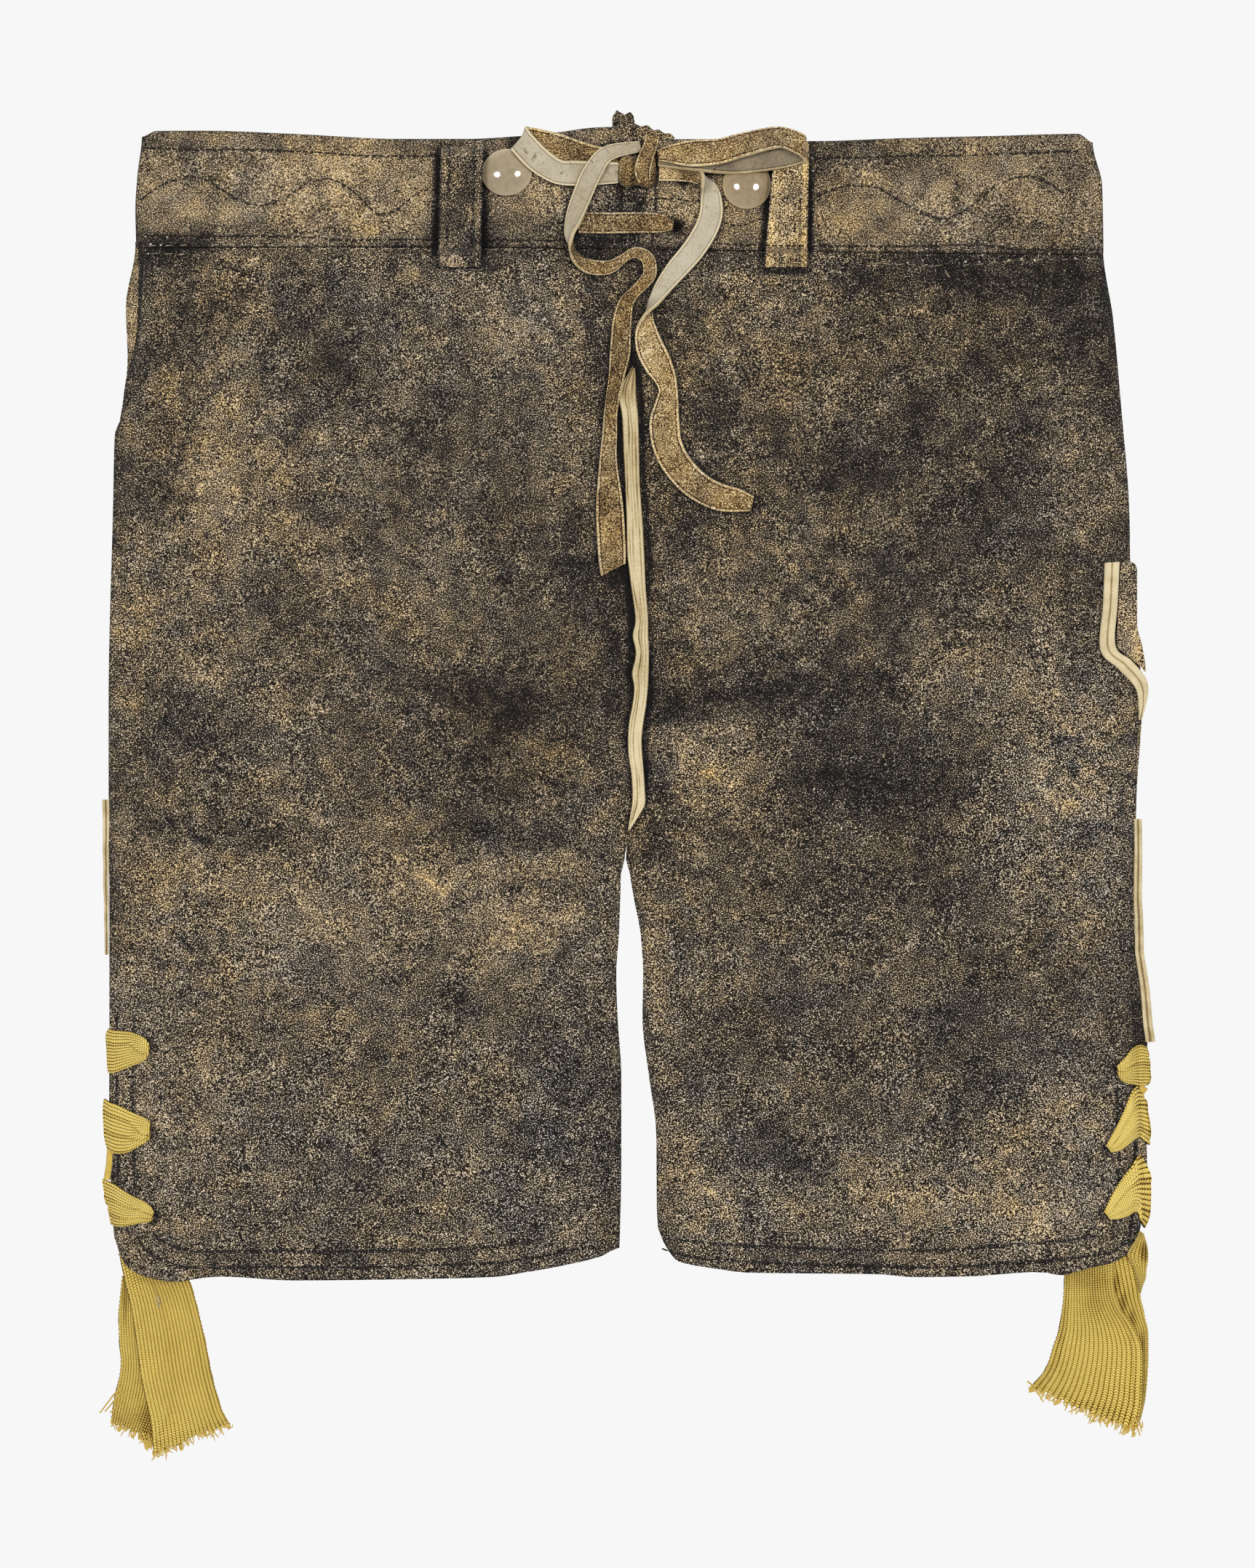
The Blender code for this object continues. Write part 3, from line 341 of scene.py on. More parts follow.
# Yarns that have come away from the ends, in pixels.
LOOSE_YARNS = (
    ((166, 1908), (157, 1917), (147, 1930), (137, 1943)),
    ((168, 1914), (160, 1922), (151, 1933), (144, 1941)),
    ((170, 1922), (164, 1930), (157, 1938), (151, 1942)), ((196, 1968), (200, 1981), (203, 1995)),
    ((204, 1972), (207, 1984), (208, 1992)), ((1556, 1950), (1557, 1962), (1560, 1974)),
    ((1560, 1948), (1563, 1960), (1567, 1974)), ((1564, 1948), (1567, 1958), (1569, 1968)),
    ((1412, 1899), (1419, 1904), (1428, 1905)), ((1425, 1914), (1431, 1922), (1434, 1928)),
)

# ------------------------------------------------------------------ wear and painted shade
# Levels are close to display brightness, 0 black to 1 white, before the looks add clouds and nap.
LEVEL_LEFT = 0.210
LEVEL_RIGHT = 0.158
LEVEL_BAND = 0.384
# Stains, rubbed places and painted shade: (middle x, y, half width, half height, in pixels; turn in degrees;
# change).
# The painted shade lies along the seat welt, in the crotch folds, in the split and beside the belt loops and
# the lace bar.
STAINS_AND_SHADE = (
    (215, 350, 55, 40, 0, -0.10), (175, 470, 22, 90, 0, 0.05), (300, 425, 60, 70, 0, -0.05),
    (430, 440, 80, 90, 0, -0.09), (330, 640, 90, 100, 20, 0.09), (400, 610, 40, 40, 0, 0.05),
    (430, 575, 40, 22, 30, -0.06), (600, 570, 100, 80, 0, -0.07), (570, 540, 30, 30, 0, 0.05),
    (720, 460, 75, 38, 8, 0.11), (650, 390, 90, 45, 0, 0.03), (830, 450, 14, 170, 0, -0.16),
    (840, 700, 10, 110, 0, -0.12), (185, 850, 32, 90, 0, 0.10),
    (250, 930, 60, 34, 20, 0.08), (340, 770, 60, 60, 0, 0.01), (392, 858, 18, 22, 0, -0.08),
    (260, 1035, 110, 55, 10, -0.08), (210, 965, 30, 44, 0, -0.10), (650, 955, 120, 50, -15, -0.09),
    (702, 950, 24, 36, 0, -0.07), (610, 1065, 90, 70, 0, -0.06), (708, 1085, 26, 34, 0, -0.12),
    (635, 1142, 62, 20, -10, -0.11), (240, 1140, 44, 14, 5, -0.10), (350, 1152, 110, 17, 8, -0.06),
    (800, 800, 60, 60, 0, -0.07), (845, 840, 18, 60, 0, -0.13), (850, 940, 18, 50, 0, -0.12),
    (800, 1130, 60, 55, 0, 0.04), (450, 1270, 200, 60, 5, 0.06), (390, 1280, 50, 24, 0, 0.05),
    (700, 1250, 120, 60, 15, 0.07), (590, 1225, 60, 45, 20, 0.05), (738, 1290, 34, 22, 0, 0.08),
    (230, 1330, 70, 60, 0, 0.04), (630, 1370, 24, 30, 0, -0.24), (580, 1362, 24, 34, 0, -0.08),
    (512, 1455, 24, 30, 0, -0.09), (785, 1500, 65, 110, 0, -0.12), (835, 1590, 24, 90, 0, -0.12),
    (500, 1610, 220, 90, 0, -0.04), (250, 1590, 45, 90, 0, 0.04), (320, 1722, 34, 20, 0, -0.09),
    (460, 1555, 46, 34, 0, 0.04), (700, 1560, 60, 30, -30, -0.06), (1010, 450, 130, 80, 0, 0.04),
    (1400, 375, 170, 42, 0, -0.12), (1345, 372, 46, 32, 0, -0.05), (1450, 385, 34, 34, 0, -0.10),
    (1500, 470, 44, 100, 0, -0.12), (1385, 460, 110, 60, -20, -0.06), (1170, 388, 34, 20, 0, -0.12),
    (1210, 375, 110, 26, 0, -0.09), (1262, 592, 20, 22, 0, -0.18), (1222, 622, 30, 40, 0, -0.10),
    (1290, 545, 70, 17, 45, -0.10), (1470, 640, 46, 60, 0, 0.06), (1400, 600, 60, 50, 0, -0.08),
    (1378, 682, 44, 34, 0, -0.11), (1350, 765, 130, 55, 0, -0.08), (1060, 580, 110, 60, 0, -0.04),
    (972, 718, 50, 26, 10, -0.12), (1100, 515, 66, 44, 0, 0.04), (1170, 830, 66, 62, 0, 0.05),
    (1000, 830, 80, 60, 0, 0.03), (1090, 752, 44, 34, 0, 0.05), (985, 960, 130, 30, -4, -0.09),
    (900, 962, 40, 22, 0, -0.12), (1110, 938, 110, 30, -8, -0.10), (1222, 930, 34, 34, 0, -0.06),
    (975, 1040, 54, 50, 20, 0.09), (1180, 1055, 140, 64, 10, -0.10), (1100, 1088, 46, 26, 0, -0.10),
    (1300, 1085, 90, 64, 0, -0.06), (903, 1072, 22, 32, 0, -0.20), (880, 1155, 20, 44, 0, -0.22),
    (1330, 925, 66, 50, 0, 0.06), (1410, 935, 70, 44, 0, 0.06), (1485, 1040, 56, 64, 0, 0.08),
    (1465, 1064, 22, 22, 0, -0.12), (1472, 1122, 34, 22, 0, 0.13), (1495, 1210, 40, 50, 0, 0.05),
    (1305, 1210, 60, 44, 0, -0.10), (1200, 1225, 70, 44, 0, -0.05), (985, 1330, 66, 44, 0, 0.08),
    (905, 1300, 24, 70, 0, 0.05), (1010, 1435, 54, 56, 0, -0.11), (1345, 1515, 54, 34, 0, -0.16),
    (1290, 1540, 34, 22, 0, -0.10), (1500, 1540, 60, 70, 0, 0.07), (1425, 1680, 56, 34, 0, 0.12),
    (1275, 1655, 56, 34, 0, 0.09), (1350, 1660, 150, 54, 0, 0.06), (1100, 1612, 34, 28, 0, -0.10),
    (1050, 1560, 56, 54, 0, -0.05), (935, 1650, 44, 64, 0, 0.04), (1030, 1725, 80, 16, 0, -0.08),
    (1556, 1230, 16, 110, 0, -0.06), (1300, 1420, 90, 60, 0, -0.04),
    # the fronts, in large
    (460, 470, 60, 55, 0, -0.05), (335, 475, 50, 50, 0, 0.05), (410, 615, 46, 46, 0, 0.05),
    (735, 450, 75, 16, 4, 0.05), (730, 490, 70, 16, 4, 0.05), (295, 725, 20, 40, 0, -0.05),
    (248, 500, 14, 100, 8, -0.04), (700, 860, 150, 260, 0, -0.035), (820, 850, 34, 200, 0, -0.07),
    (260, 1010, 90, 60, 0, -0.04), (500, 1060, 160, 70, 0, -0.04), (690, 1090, 60, 50, 0, -0.05),
    (1030, 395, 30, 26, 0, 0.04), (1050, 500, 110, 60, 0, 0.04), (1320, 382, 40, 20, 0, -0.06),
    (1495, 480, 34, 100, 0, -0.02), (1493, 820, 22, 60, 0, -0.10), (1280, 620, 180, 120, 0, -0.035),
    (1190, 1080, 160, 110, 0, -0.03), (960, 1025, 46, 26, 0, 0.05), (1001, 1015, 12, 12, 0, -0.08),
    (915, 700, 24, 240, 0, -0.04), (1480, 1170, 60, 40, 0, -0.06), (1050, 870, 90, 80, 0, 0.03),
    # the lower legs, in large
    (560, 1560, 320, 150, 0, -0.075), (760, 1580, 110, 150, 0, -0.065), (846, 1450, 20, 240, 0, -0.07),
    (610, 1265, 130, 50, 0, 0.03), (200, 1560, 40, 130, 0, 0.05), (320, 1725, 40, 18, 0, -0.05),
    (1210, 1320, 260, 190, 0, -0.075), (1050, 1440, 90, 70, 0, -0.05), (1350, 1440, 70, 60, 0, -0.05),
    (1231, 1410, 14, 60, 0, 0.05), (1080, 1590, 60, 60, 0, -0.05), (905, 1450, 14, 160, 0, 0.05),
    (1480, 1560, 50, 50, 0, 0.04), (1430, 1690, 90, 34, 0, 0.04),
    # the waistband, with painted shade in the opening under the lace, under the lace bar and beside the belt
    # loops
    (855, 262, 30, 26, 0, -0.22), (915, 282, 40, 22, 0, 0.10), (1230, 285, 110, 30, 0, 0.05),
    (892, 187, 20, 9, 0, -0.25), (740, 318, 50, 14, 0, -0.06),
    (450, 262, 110, 56, 0, 0.06), (300, 240, 56, 34, 0, -0.01), (212, 330, 50, 26, 0, -0.17),
    (310, 322, 110, 16, 0, -0.08), (250, 314, 60, 18, 0, -0.14), (240, 200, 70, 10, 0, -0.10),
    (420, 205, 30, 10, 0, -0.08), (320, 262, 30, 24, 0, -0.07), (600, 300, 20, 60, 0, -0.14),
    (596, 225, 16, 24, 0, -0.14), (700, 330, 110, 20, 0, -0.15), (662, 330, 22, 34, 0, -0.16),
    (740, 205, 60, 12, 0, -0.08), (820, 330, 40, 30, 0, -0.18), (905, 340, 50, 30, 0, -0.12),
    (990, 330, 40, 34, 0, -0.03), (1150, 225, 24, 34, 0, -0.15), (1122, 250, 14, 90, 0, -0.12),
    (1250, 212, 60, 24, 0, -0.12), (1390, 325, 50, 24, 0, -0.14), (1300, 222, 20, 30, 0, -0.09),
    (1480, 215, 30, 36, 0, -0.12), (1490, 290, 20, 44, 0, -0.10), (1200, 300, 60, 30, 0, 0.04),
    (1160, 320, 50, 20, 0, 0.04), (1420, 250, 40, 24, 0, -0.04), (1260, 300, 30, 20, 0, -0.06),
    (1390, 290, 16, 22, 0, -0.08),
)
# Places where the grain is coarser (over 0) or worn smooth: (middle x, y, half width, half height, change).
GRAIN_PATCHES = (
    (1460, 1080, 120, 150, 0.6), (1350, 1640, 220, 110, 0.25), (980, 1640, 90, 110, 0.3),
    (780, 1600, 110, 130, 0.35), (500, 1500, 260, 160, 0.12), (650, 800, 180, 240, -0.1),
    (1150, 850, 190, 240, -0.15), (740, 1000, 110, 110, -0.25), (960, 1060, 80, 80, 0.2),
    (640, 380, 180, 40, 0.25), (1000, 400, 160, 60, 0.1),
)
# Places where the colour is warmer (over 0) or greyer: (middle x, y, half width, half height, change).
WARMTHS = (
    (600, 620, 230, 290, -0.30), (505, 425, 60, 60, -0.4), (745, 420, 50, 60, -0.4),
    (650, 650, 36, 110, -0.3), (510, 855, 18, 32, -0.4), (1315, 850, 34, 28, -0.5),
    (1325, 950, 34, 36, -0.5), (1480, 1545, 24, 54, -0.5), (400, 1350, 44, 44, -0.35),
    (470, 1585, 34, 44, -0.4), (880, 690, 80, 330, 0.4), (915, 510, 50, 95, 0.5), (970, 685, 75, 50, 0.45),
    (1150, 480, 150, 80, 0.35), (1265, 560, 50, 110, 0.3), (230, 540, 34, 66, 0.5), (290, 420, 44, 44, 0.4),
    (880, 1145, 24, 38, 0.5), (745, 1040, 48, 42, 0.4), (780, 940, 24, 26, 0.4), (850, 1675, 24, 30, 0.4),
)
# Pitted places, with dark dents and rubbed tops: (middle x, y, half width, half height, strength).
PITTED = (
    (1490, 1060, 80, 90, 0.30), (1500, 1190, 60, 50, 0.24), (1320, 1090, 60, 50, 0.14),
    (270, 1170, 60, 60, 0.14), (300, 1300, 90, 60, 0.12), (560, 1200, 60, 40, 0.10),
    (960, 1050, 60, 60, 0.12), (690, 1500, 100, 90, 0.10), (1360, 1640, 160, 80, 0.10),
    (980, 1640, 60, 60, 0.12), (820, 400, 60, 60, 0.12), (1460, 470, 60, 60, 0.10),
    (640, 850, 120, 100, 0.10), (1100, 800, 160, 160, 0.12), (500, 1400, 200, 100, 0.08),
    (260, 620, 70, 90, 0.08),
)
# Creases, ridges over 0 and troughs under: (height in mm, width in mm, then x, y pixels along it).
CREASES = (
    (-0.9, 4.5, (850, 1176), (790, 1158), (720, 1150), (640, 1147), (560, 1160)),
    (0.6, 4.0, (846, 1196), (770, 1184), (690, 1190), (600, 1214), (545, 1194)),
    (-0.7, 3.6, (844, 1222), (770, 1216), (690, 1226), (600, 1250), (520, 1262)),
    (0.6, 3.6, (842, 1250), (780, 1256), (720, 1282), (650, 1320)),
    (-0.6, 4.0, (840, 1280), (790, 1300), (745, 1345), (700, 1400)),
    (0.45, 5.0, (838, 1130), (760, 1100), (690, 1040), (610, 1010)),
    (-0.6, 5.5, (860, 1060), (800, 1020), (720, 975), (620, 950), (540, 940)),
    (-0.5, 3.4, (848, 1120), (800, 1085), (740, 1070), (700, 1080)),
    (0.5, 8.0, (400, 900), (480, 940), (560, 1010)),
    (-0.5, 6.0, (190, 1120), (260, 1140), (360, 1150), (460, 1150)),
    (0.5, 7.0, (180, 1190), (300, 1210), (420, 1240), (500, 1290)),
    (-0.45, 5.0, (200, 920), (250, 950), (300, 1000)),
    (-0.7, 3.0, (846, 1590), (815, 1640), (760, 1672), (690, 1700)),
    (0.6, 4.0, (848, 1640), (810, 1675), (750, 1702)), (0.4, 5.0, (845, 1530), (800, 1600), (740, 1650)),
    (-0.5, 8.0, (300, 430), (260, 520), (235, 620), (215, 740)),
    (0.5, 9.0, (360, 420), (330, 520), (300, 640), (260, 760)),
    (-0.5, 9.0, (470, 470), (430, 560), (380, 660)), (0.4, 10.0, (640, 620), (600, 760), (590, 900)),
    (-0.4, 9.0, (700, 560), (690, 700), (700, 860)), (-0.4, 3.0, (680, 356), (690, 400), (700, 430)),
    (0.35, 3.5, (720, 352), (735, 395), (740, 440)), (-0.4, 3.0, (540, 352), (535, 392)),
    (0.3, 3.0, (490, 350), (480, 400)), (-0.3, 3.0, (400, 350), (410, 385)),
    (0.3, 3.5, (350, 350), (345, 392)),
    (-0.8, 4.0, (884, 1000), (930, 978), (1000, 960), (1090, 950), (1190, 934)),
    (0.7, 5.0, (886, 1030), (940, 1012), (1010, 1000), (1080, 985)),
    (-0.7, 3.4, (888, 1060), (905, 1085), (915, 1120), (912, 1170)),
    (0.7, 5.0, (905, 1050), (950, 1040), (985, 1060), (1010, 1110)),
    (-0.6, 5.0, (880, 1130), (930, 1120), (990, 1140), (1060, 1190)),
    (0.5, 4.0, (884, 1180), (905, 1230), (915, 1300), (920, 1380)),
    (-0.5, 4.0, (900, 1240), (930, 1300), (945, 1400), (960, 1480)),
    (-0.5, 8.0, (1060, 640), (1130, 660), (1230, 650), (1320, 600)),
    (0.4, 8.0, (1100, 720), (1190, 730), (1290, 690)),
    (-0.6, 6.0, (1050, 1080), (1150, 1075), (1250, 1090), (1330, 1130)),
    (0.4, 7.0, (1100, 1150), (1200, 1165), (1300, 1190)),
    (-0.5, 2.4, (1405, 1322), (1430, 1300), (1458, 1274)),
    (-0.6, 3.6, (925, 1560), (975, 1590), (1020, 1650), (1050, 1700)),
    (0.6, 3.4, (915, 1590), (960, 1625), (1000, 1668), (1030, 1708)),
    (-0.5, 3.0, (912, 1630), (950, 1665), (985, 1706)), (0.35, 9.0, (1480, 560), (1470, 700), (1450, 820)),
    (-0.45, 5.0, (1440, 1000), (1480, 1040), (1540, 1060)),
    (0.45, 5.0, (1430, 1080), (1490, 1110), (1550, 1120)),
    (-0.4, 5.0, (1420, 1160), (1470, 1150), (1540, 1190)), (-0.4, 3.0, (1180, 356), (1175, 400)),
    (0.35, 3.0, (1250, 356), (1262, 410)), (-0.35, 3.0, (1340, 356), (1335, 392)),
    (-0.4, 3.4, (1420, 356), (1430, 420)), (0.3, 3.0, (1000, 352), (1010, 400)),
)
# Dark rubbed lines and cuts, and painted shadow lines along the belt loops, beside the seat welt and down the
# right leg's side: (change, width in mm, then x, y pixels along it).
SCRATCHES_AND_SHADOW_LINES = (
    (-0.6, 1.1, (1046, 372), (1080, 373.5), (1113, 372)),
    (-0.45, 1.2, (1114, 230), (1114, 300), (1113, 370)), (-0.5, 1.4, (1058, 235), (1052, 300), (1046, 368)),
    (-0.6, 1.1, (598, 365), (630, 366.5), (664, 365)), (-0.4, 1.4, (601, 204), (599, 290), (597, 362)),
    (-0.4, 1.3, (666, 205), (666, 290), (665, 360)),
    (-0.7, 1.1, (866, 478), (873, 500), (879, 520), (882, 560), (884, 612)),
    (-0.4, 1.0, (884, 600), (886, 660), (892, 740), (896, 800)),
    (-0.5, 1.2, (850, 530), (849, 570), (849, 600), (853, 640)),
    (-0.5, 1.2, (857, 676), (855, 710), (859, 740), (862, 762)),
    (-0.5, 1.3, (858, 782), (863, 820), (867, 860), (866, 905), (863, 940)),
    (-0.5, 1.4, (1560, 1300), (1564, 1370), (1568, 1440)),
    (-0.3, 1.5, (1573, 1450), (1575, 1560), (1571, 1700)),
    (-0.35, 0.9, (896, 880), (894, 960), (889, 1020), (890, 1090)), (-0.4, 1.3, (230, 1124), (238, 1134)),
    (-0.35, 1.1, (262, 1150), (290, 1158)), (-0.45, 1.3, (248, 1286), (264, 1312)),
    (0.25, 0.9, (308, 974), (318, 984)),
    (-0.30, 0.75, (316, 516), (292, 542), (273, 562), (262, 582), (255, 603)),
    (-0.22, 0.6, (255, 603), (243, 640), (229, 688)),
    (-0.24, 0.7, (442, 540), (410, 588), (385, 630), (365, 663)),
    (-0.24, 0.6, (217, 710), (211, 726), (203, 747)),
    (-0.16, 0.9, (1405, 1322), (1430, 1300), (1458, 1274)),
    (0.20, 0.5, (965, 1628), (990, 1650), (1016, 1668)),
    (0.20, 0.5, (955, 1596), (985, 1622), (1016, 1661)), (0.16, 0.8, (545, 1194), (572, 1205), (610, 1218)),
    (0.18, 0.5, (735, 1440), (748, 1455)), (-0.2, 1.0, (1296, 1588), (1302, 1604), (1300, 1612)),
    (-0.16, 0.8, (1230, 1670), (1228, 1690)), (-0.18, 1.0, (1356, 648), (1372, 668), (1388, 690)),
    (-0.14, 0.8, (960, 716), (984, 722)), (0.2, 0.5, (1076, 1500), (1084, 1516)),
    (0.16, 0.5, (960, 1443), (966, 1449)),
)
# Pale beads along the cuts, and flecks on the leather: (x, y) pixels.
FLECKS = (
    (309, 522), (301, 533), (287, 548), (270, 566), (262, 585), (432, 552), (424, 566), (415, 580),
    (407, 590), (399, 604), (391, 616), (381, 634), (373, 650), (209, 730), (205, 742), (503, 1137),
    (504, 1131), (745, 1453), (748, 1458), (683, 1502), (1297, 1610), (1357, 1593), (1440, 1594),
    (1316, 1673), (1380, 360), (1463, 372), (1423, 405), (1236, 622), (1358, 648), (1387, 690),
    (1071, 1098), (1470, 1121), (1483, 1128), (1490, 1058), (250, 968), (308, 985), (322, 990),
    (1020, 1468), (1006, 1462), (1115, 1530),
)

# Bright wax beads where saddle stitches come up, and painted glints on dark beads on the waistband: (x, y)
# pixels.
BEADS_AND_GLINTS = (
    (207, 336), (221, 337), (333, 336), (353, 337), (374, 337), (394, 337), (412, 337), (1248, 361),
    (1268, 358), (1327, 360), (1346, 360), (1367, 359), (1386, 358), (1404, 356), (1422, 358), (1442, 349),
    (1456, 342), (1478, 355), (1496, 355), (1150, 225), (1195, 238), (1237, 276), (1253, 285), (1263, 292),
    (1116, 218), (1117, 235), (1118, 288), (200, 325), (230, 326), (204, 349), (1378, 336), (1410, 208),
    (204, 1434), (1535, 1466),
)


# ------------------------------------------------------------------ curves and fields
def along(table, where):
    """Values at `where` on a smooth curve, with no overshoot, through (place, value) rows."""
    rows = sorted(table)
    place = np.array([row[0] for row in rows], dtype=float)
    value = np.array([row[1] for row in rows], dtype=float)
    slope = np.diff(value) / np.diff(place)
    tangent = np.zeros(len(rows))
    together = slope[:-1] + slope[1:]
    same = slope[:-1] * slope[1:] > 0
    tangent[1:-1] = np.where(same, 2 * slope[:-1] * slope[1:] / np.where(same, together, 1.0), 0.0)
    where = np.clip(np.asarray(where, dtype=float), place[0], place[-1])
    i = np.clip(np.searchsorted(place, where, side="right") - 1, 0, len(rows) - 2)
    step = place[i + 1] - place[i]
    t = (where - place[i]) / step
    return (
        value[i] * (1 + 2 * t) * (1 - t) ** 2
        + value[i + 1] * t * t * (3 - 2 * t)
        + tangent[i] * step * t * (1 - t) ** 2
        - tangent[i + 1] * step * t * t * (1 - t)
    )


def swell(distance, reach):
    """0 at the edge, rising smoothly to 1 at `reach`."""
    t = np.clip(np.asarray(distance) / reach, 0.0, 1.0)
    return t * t * (3 - 2 * t)


def bell(distance, width):
    """1 in the middle, falling smoothly to 0 at about two widths."""
    return np.exp(-(distance / width) ** 2)


def rounded(edge, reach):
    """Drop of a rounded edge: 1 at the very edge, 0 from `reach` inwards."""
    return 1 - np.sqrt(1 - (1 - np.clip(edge / reach, 0, 1)) ** 2)


def run_lengths(points):
    """Length run at each point of a line, from 0, in plan."""
    return np.concatenate([[0], np.cumsum(np.hypot(*np.diff(points, axis=0).T))])


def through(points, step):
    """Points about `step` apart on a Catmull-Rom curve through rows of any length."""
    rows = np.array([points[0], *points, points[-1]], dtype=float)
    fine = []
    for p, q, r, s in zip(rows, rows[1:], rows[2:], rows[3:]):
        count = max(1, round(math.dist(q[:2], r[:2]) / step))
        for k in range(count):
            t = k / count
            fine.append(0.5 * (2 * q + (r - p) * t + (2 * p - 5 * q + 4 * r - s) * t * t
                               + (3 * q - p - 3 * r + s) * t ** 3))
    return np.array(fine + [rows[-1]])


def blobs(x, y, size, seed):
    """Smooth random field between about -1 and 1, with bumps of about `size` mm."""
    table = np.random.default_rng(seed).uniform(-1, 1, (64, 64))
    gx = np.asarray(x) / size + 640.0
    gy = np.asarray(y) / size + 640.0
    ix = np.floor(gx).astype(int)
    iy = np.floor(gy).astype(int)
    fx = gx - ix
    fy = gy - iy
    fx = fx * fx * (3 - 2 * fx)
    fy = fy * fy * (3 - 2 * fy)

    def corner(a, b):
        return table[(ix + a) % 64, (iy + b) % 64]

    low = corner(0, 0) * (1 - fx) + corner(1, 0) * fx
    high = corner(0, 1) * (1 - fx) + corner(1, 1) * fx
    return low * (1 - fy) + high * fy


def off_line(x, y, line):
    """Distance from each place to a broken line, and the share of the line's length there."""
    line = np.asarray(line, dtype=float)
    steps = np.hypot(*np.diff(line, axis=0).T)
    total = steps.sum()
    best = np.full(np.shape(x), 1e9)
    share = np.zeros(np.shape(x))
    gone = 0.0
    for (ax, ay), (bx, by), step in zip(line, line[1:], steps):
        t = np.clip(((x - ax) * (bx - ax) + (y - ay) * (by - ay)) / step ** 2, 0, 1)
        away = np.hypot(x - ax - t * (bx - ax), y - ay - t * (by - ay))
        nearer = away < best
        best = np.where(nearer, away, best)
        share = np.where(nearer, (gone + t * step) / total, share)
        gone += step
    return best, share


def pixels(line, step=2.0):
    """A smooth line in millimetres through pixels of the photograph."""
    return through([at(*p) for p in line], step)


def from_oval(x, y, px, py, half_x, half_y, turn=0.0):
    """Squared distance from the middle of an oval in pixels, 1 at its edge."""
    mx, my = at(px, py)
    c = math.cos(math.radians(turn))
    s = math.sin(math.radians(turn))
    along_it = ((x - mx) * c + (y - my) * s) / (half_x * PX)
    over_it = ((y - my) * c - (x - mx) * s) / (half_y * PX)
    return along_it ** 2 + over_it ** 2


def patches(x, y, table, power=1.0):
    """Sum of soft ovals, each (middle x, y, half width, half height, change)."""
    return sum(change * np.exp(-from_oval(x, y, *place) ** power) for *place, change in table)


def grooves(x, y, lines, width):
    """1 on the lines of pixels, falling to 0 at their sides."""
    deep = np.zeros(x.shape)
    for line in lines:
        deep = np.maximum(deep, bell(off_line(x, y, pixels(line))[0], width))
    return deep


def marked(x, y, level):
    """Brightness of the leather: `level` with the stains, the scratches and the pits, and the painted shade
    and shadow lines in those tables and beside the lace.
    """
    wide_x = x + 5.0 * blobs(x, y, 26, 11) + 2.4 * blobs(x, y, 9, 12)
    wide_y = y + 5.0 * blobs(x, y, 26, 13) + 2.4 * blobs(x, y, 9, 14)
    for *place, change in STAINS_AND_SHADE:
        level = level + change * np.exp(-0.8 * from_oval(wide_x, wide_y, *place) ** 1.3)
    for change, width, *line in SCRATCHES_AND_SHADOW_LINES:
        away, share = off_line(x, y, pixels(line))
        level = level + change * bell(away, width) * np.minimum(1, 6 * share * (1 - share) + 0.3)
    dents = np.clip(-2.4 * blobs(x, y, 3.0, 15) - 0.7, 0, 1)
    worn = np.clip(1.6 * blobs(x, y, 4.0, 16), -0.3, 1)
    level = level + patches(wide_x, wide_y, PITTED, 1.3) * (0.55 * worn - dents)
    # painted shadow beside the lace
    for depth, run in LACE_SHADOWS:
        run = np.array(run)
        away, share = off_line(x, y, run[:, :2])
        gone = run_lengths(run[:, :2])
        half = np.interp(share, gone / gone[-1], run[:, 2]) / 2
        level = level - depth * np.exp(-(np.maximum(away - half, 0) / 1.5) ** 2)
    return level


def grained(x, y):
    """Strength of the grain's contrast, 1 in most places."""
    grain = 1.0 + 0.12 * blobs(x, y, 30, 21) - 0.16 * swell(y + 60, 280) + 0.08 * swell(-y - 20, 120)
    return grain + patches(x, y, GRAIN_PATCHES)


def warmed(x, y):
    """Warmth of the leather's colour, 0 in most places."""
    return 0.1 * blobs(x, y, 18, 23) + patches(x, y, WARMTHS)


def leather_marks(x, y, tone):
    """The attributes that a look of suede reads."""
    return {"tone": tone, "grain": grained(x, y), "warm": warmed(x, y)}


def creased(x, y, creases):
    """Height of the creases: each is deepest near its middle and fades to its ends."""
    height = np.zeros(np.shape(x))
    for rise, width, *line in creases:
        away, share = off_line(x, y, pixels(line, 4.0))
        taper = np.clip(4.2 * share * (1 - share) + 0.12, 0, 1)
        height = height + rise * bell(away, width) * taper
    return height


# ------------------------------------------------------------------ materials
def linear(*display):
    """Linear colour from display values of 0 to 255."""
    return tuple(((c / 255 + 0.055) / 1.055) ** 2.4 for c in display) + (1.0,)


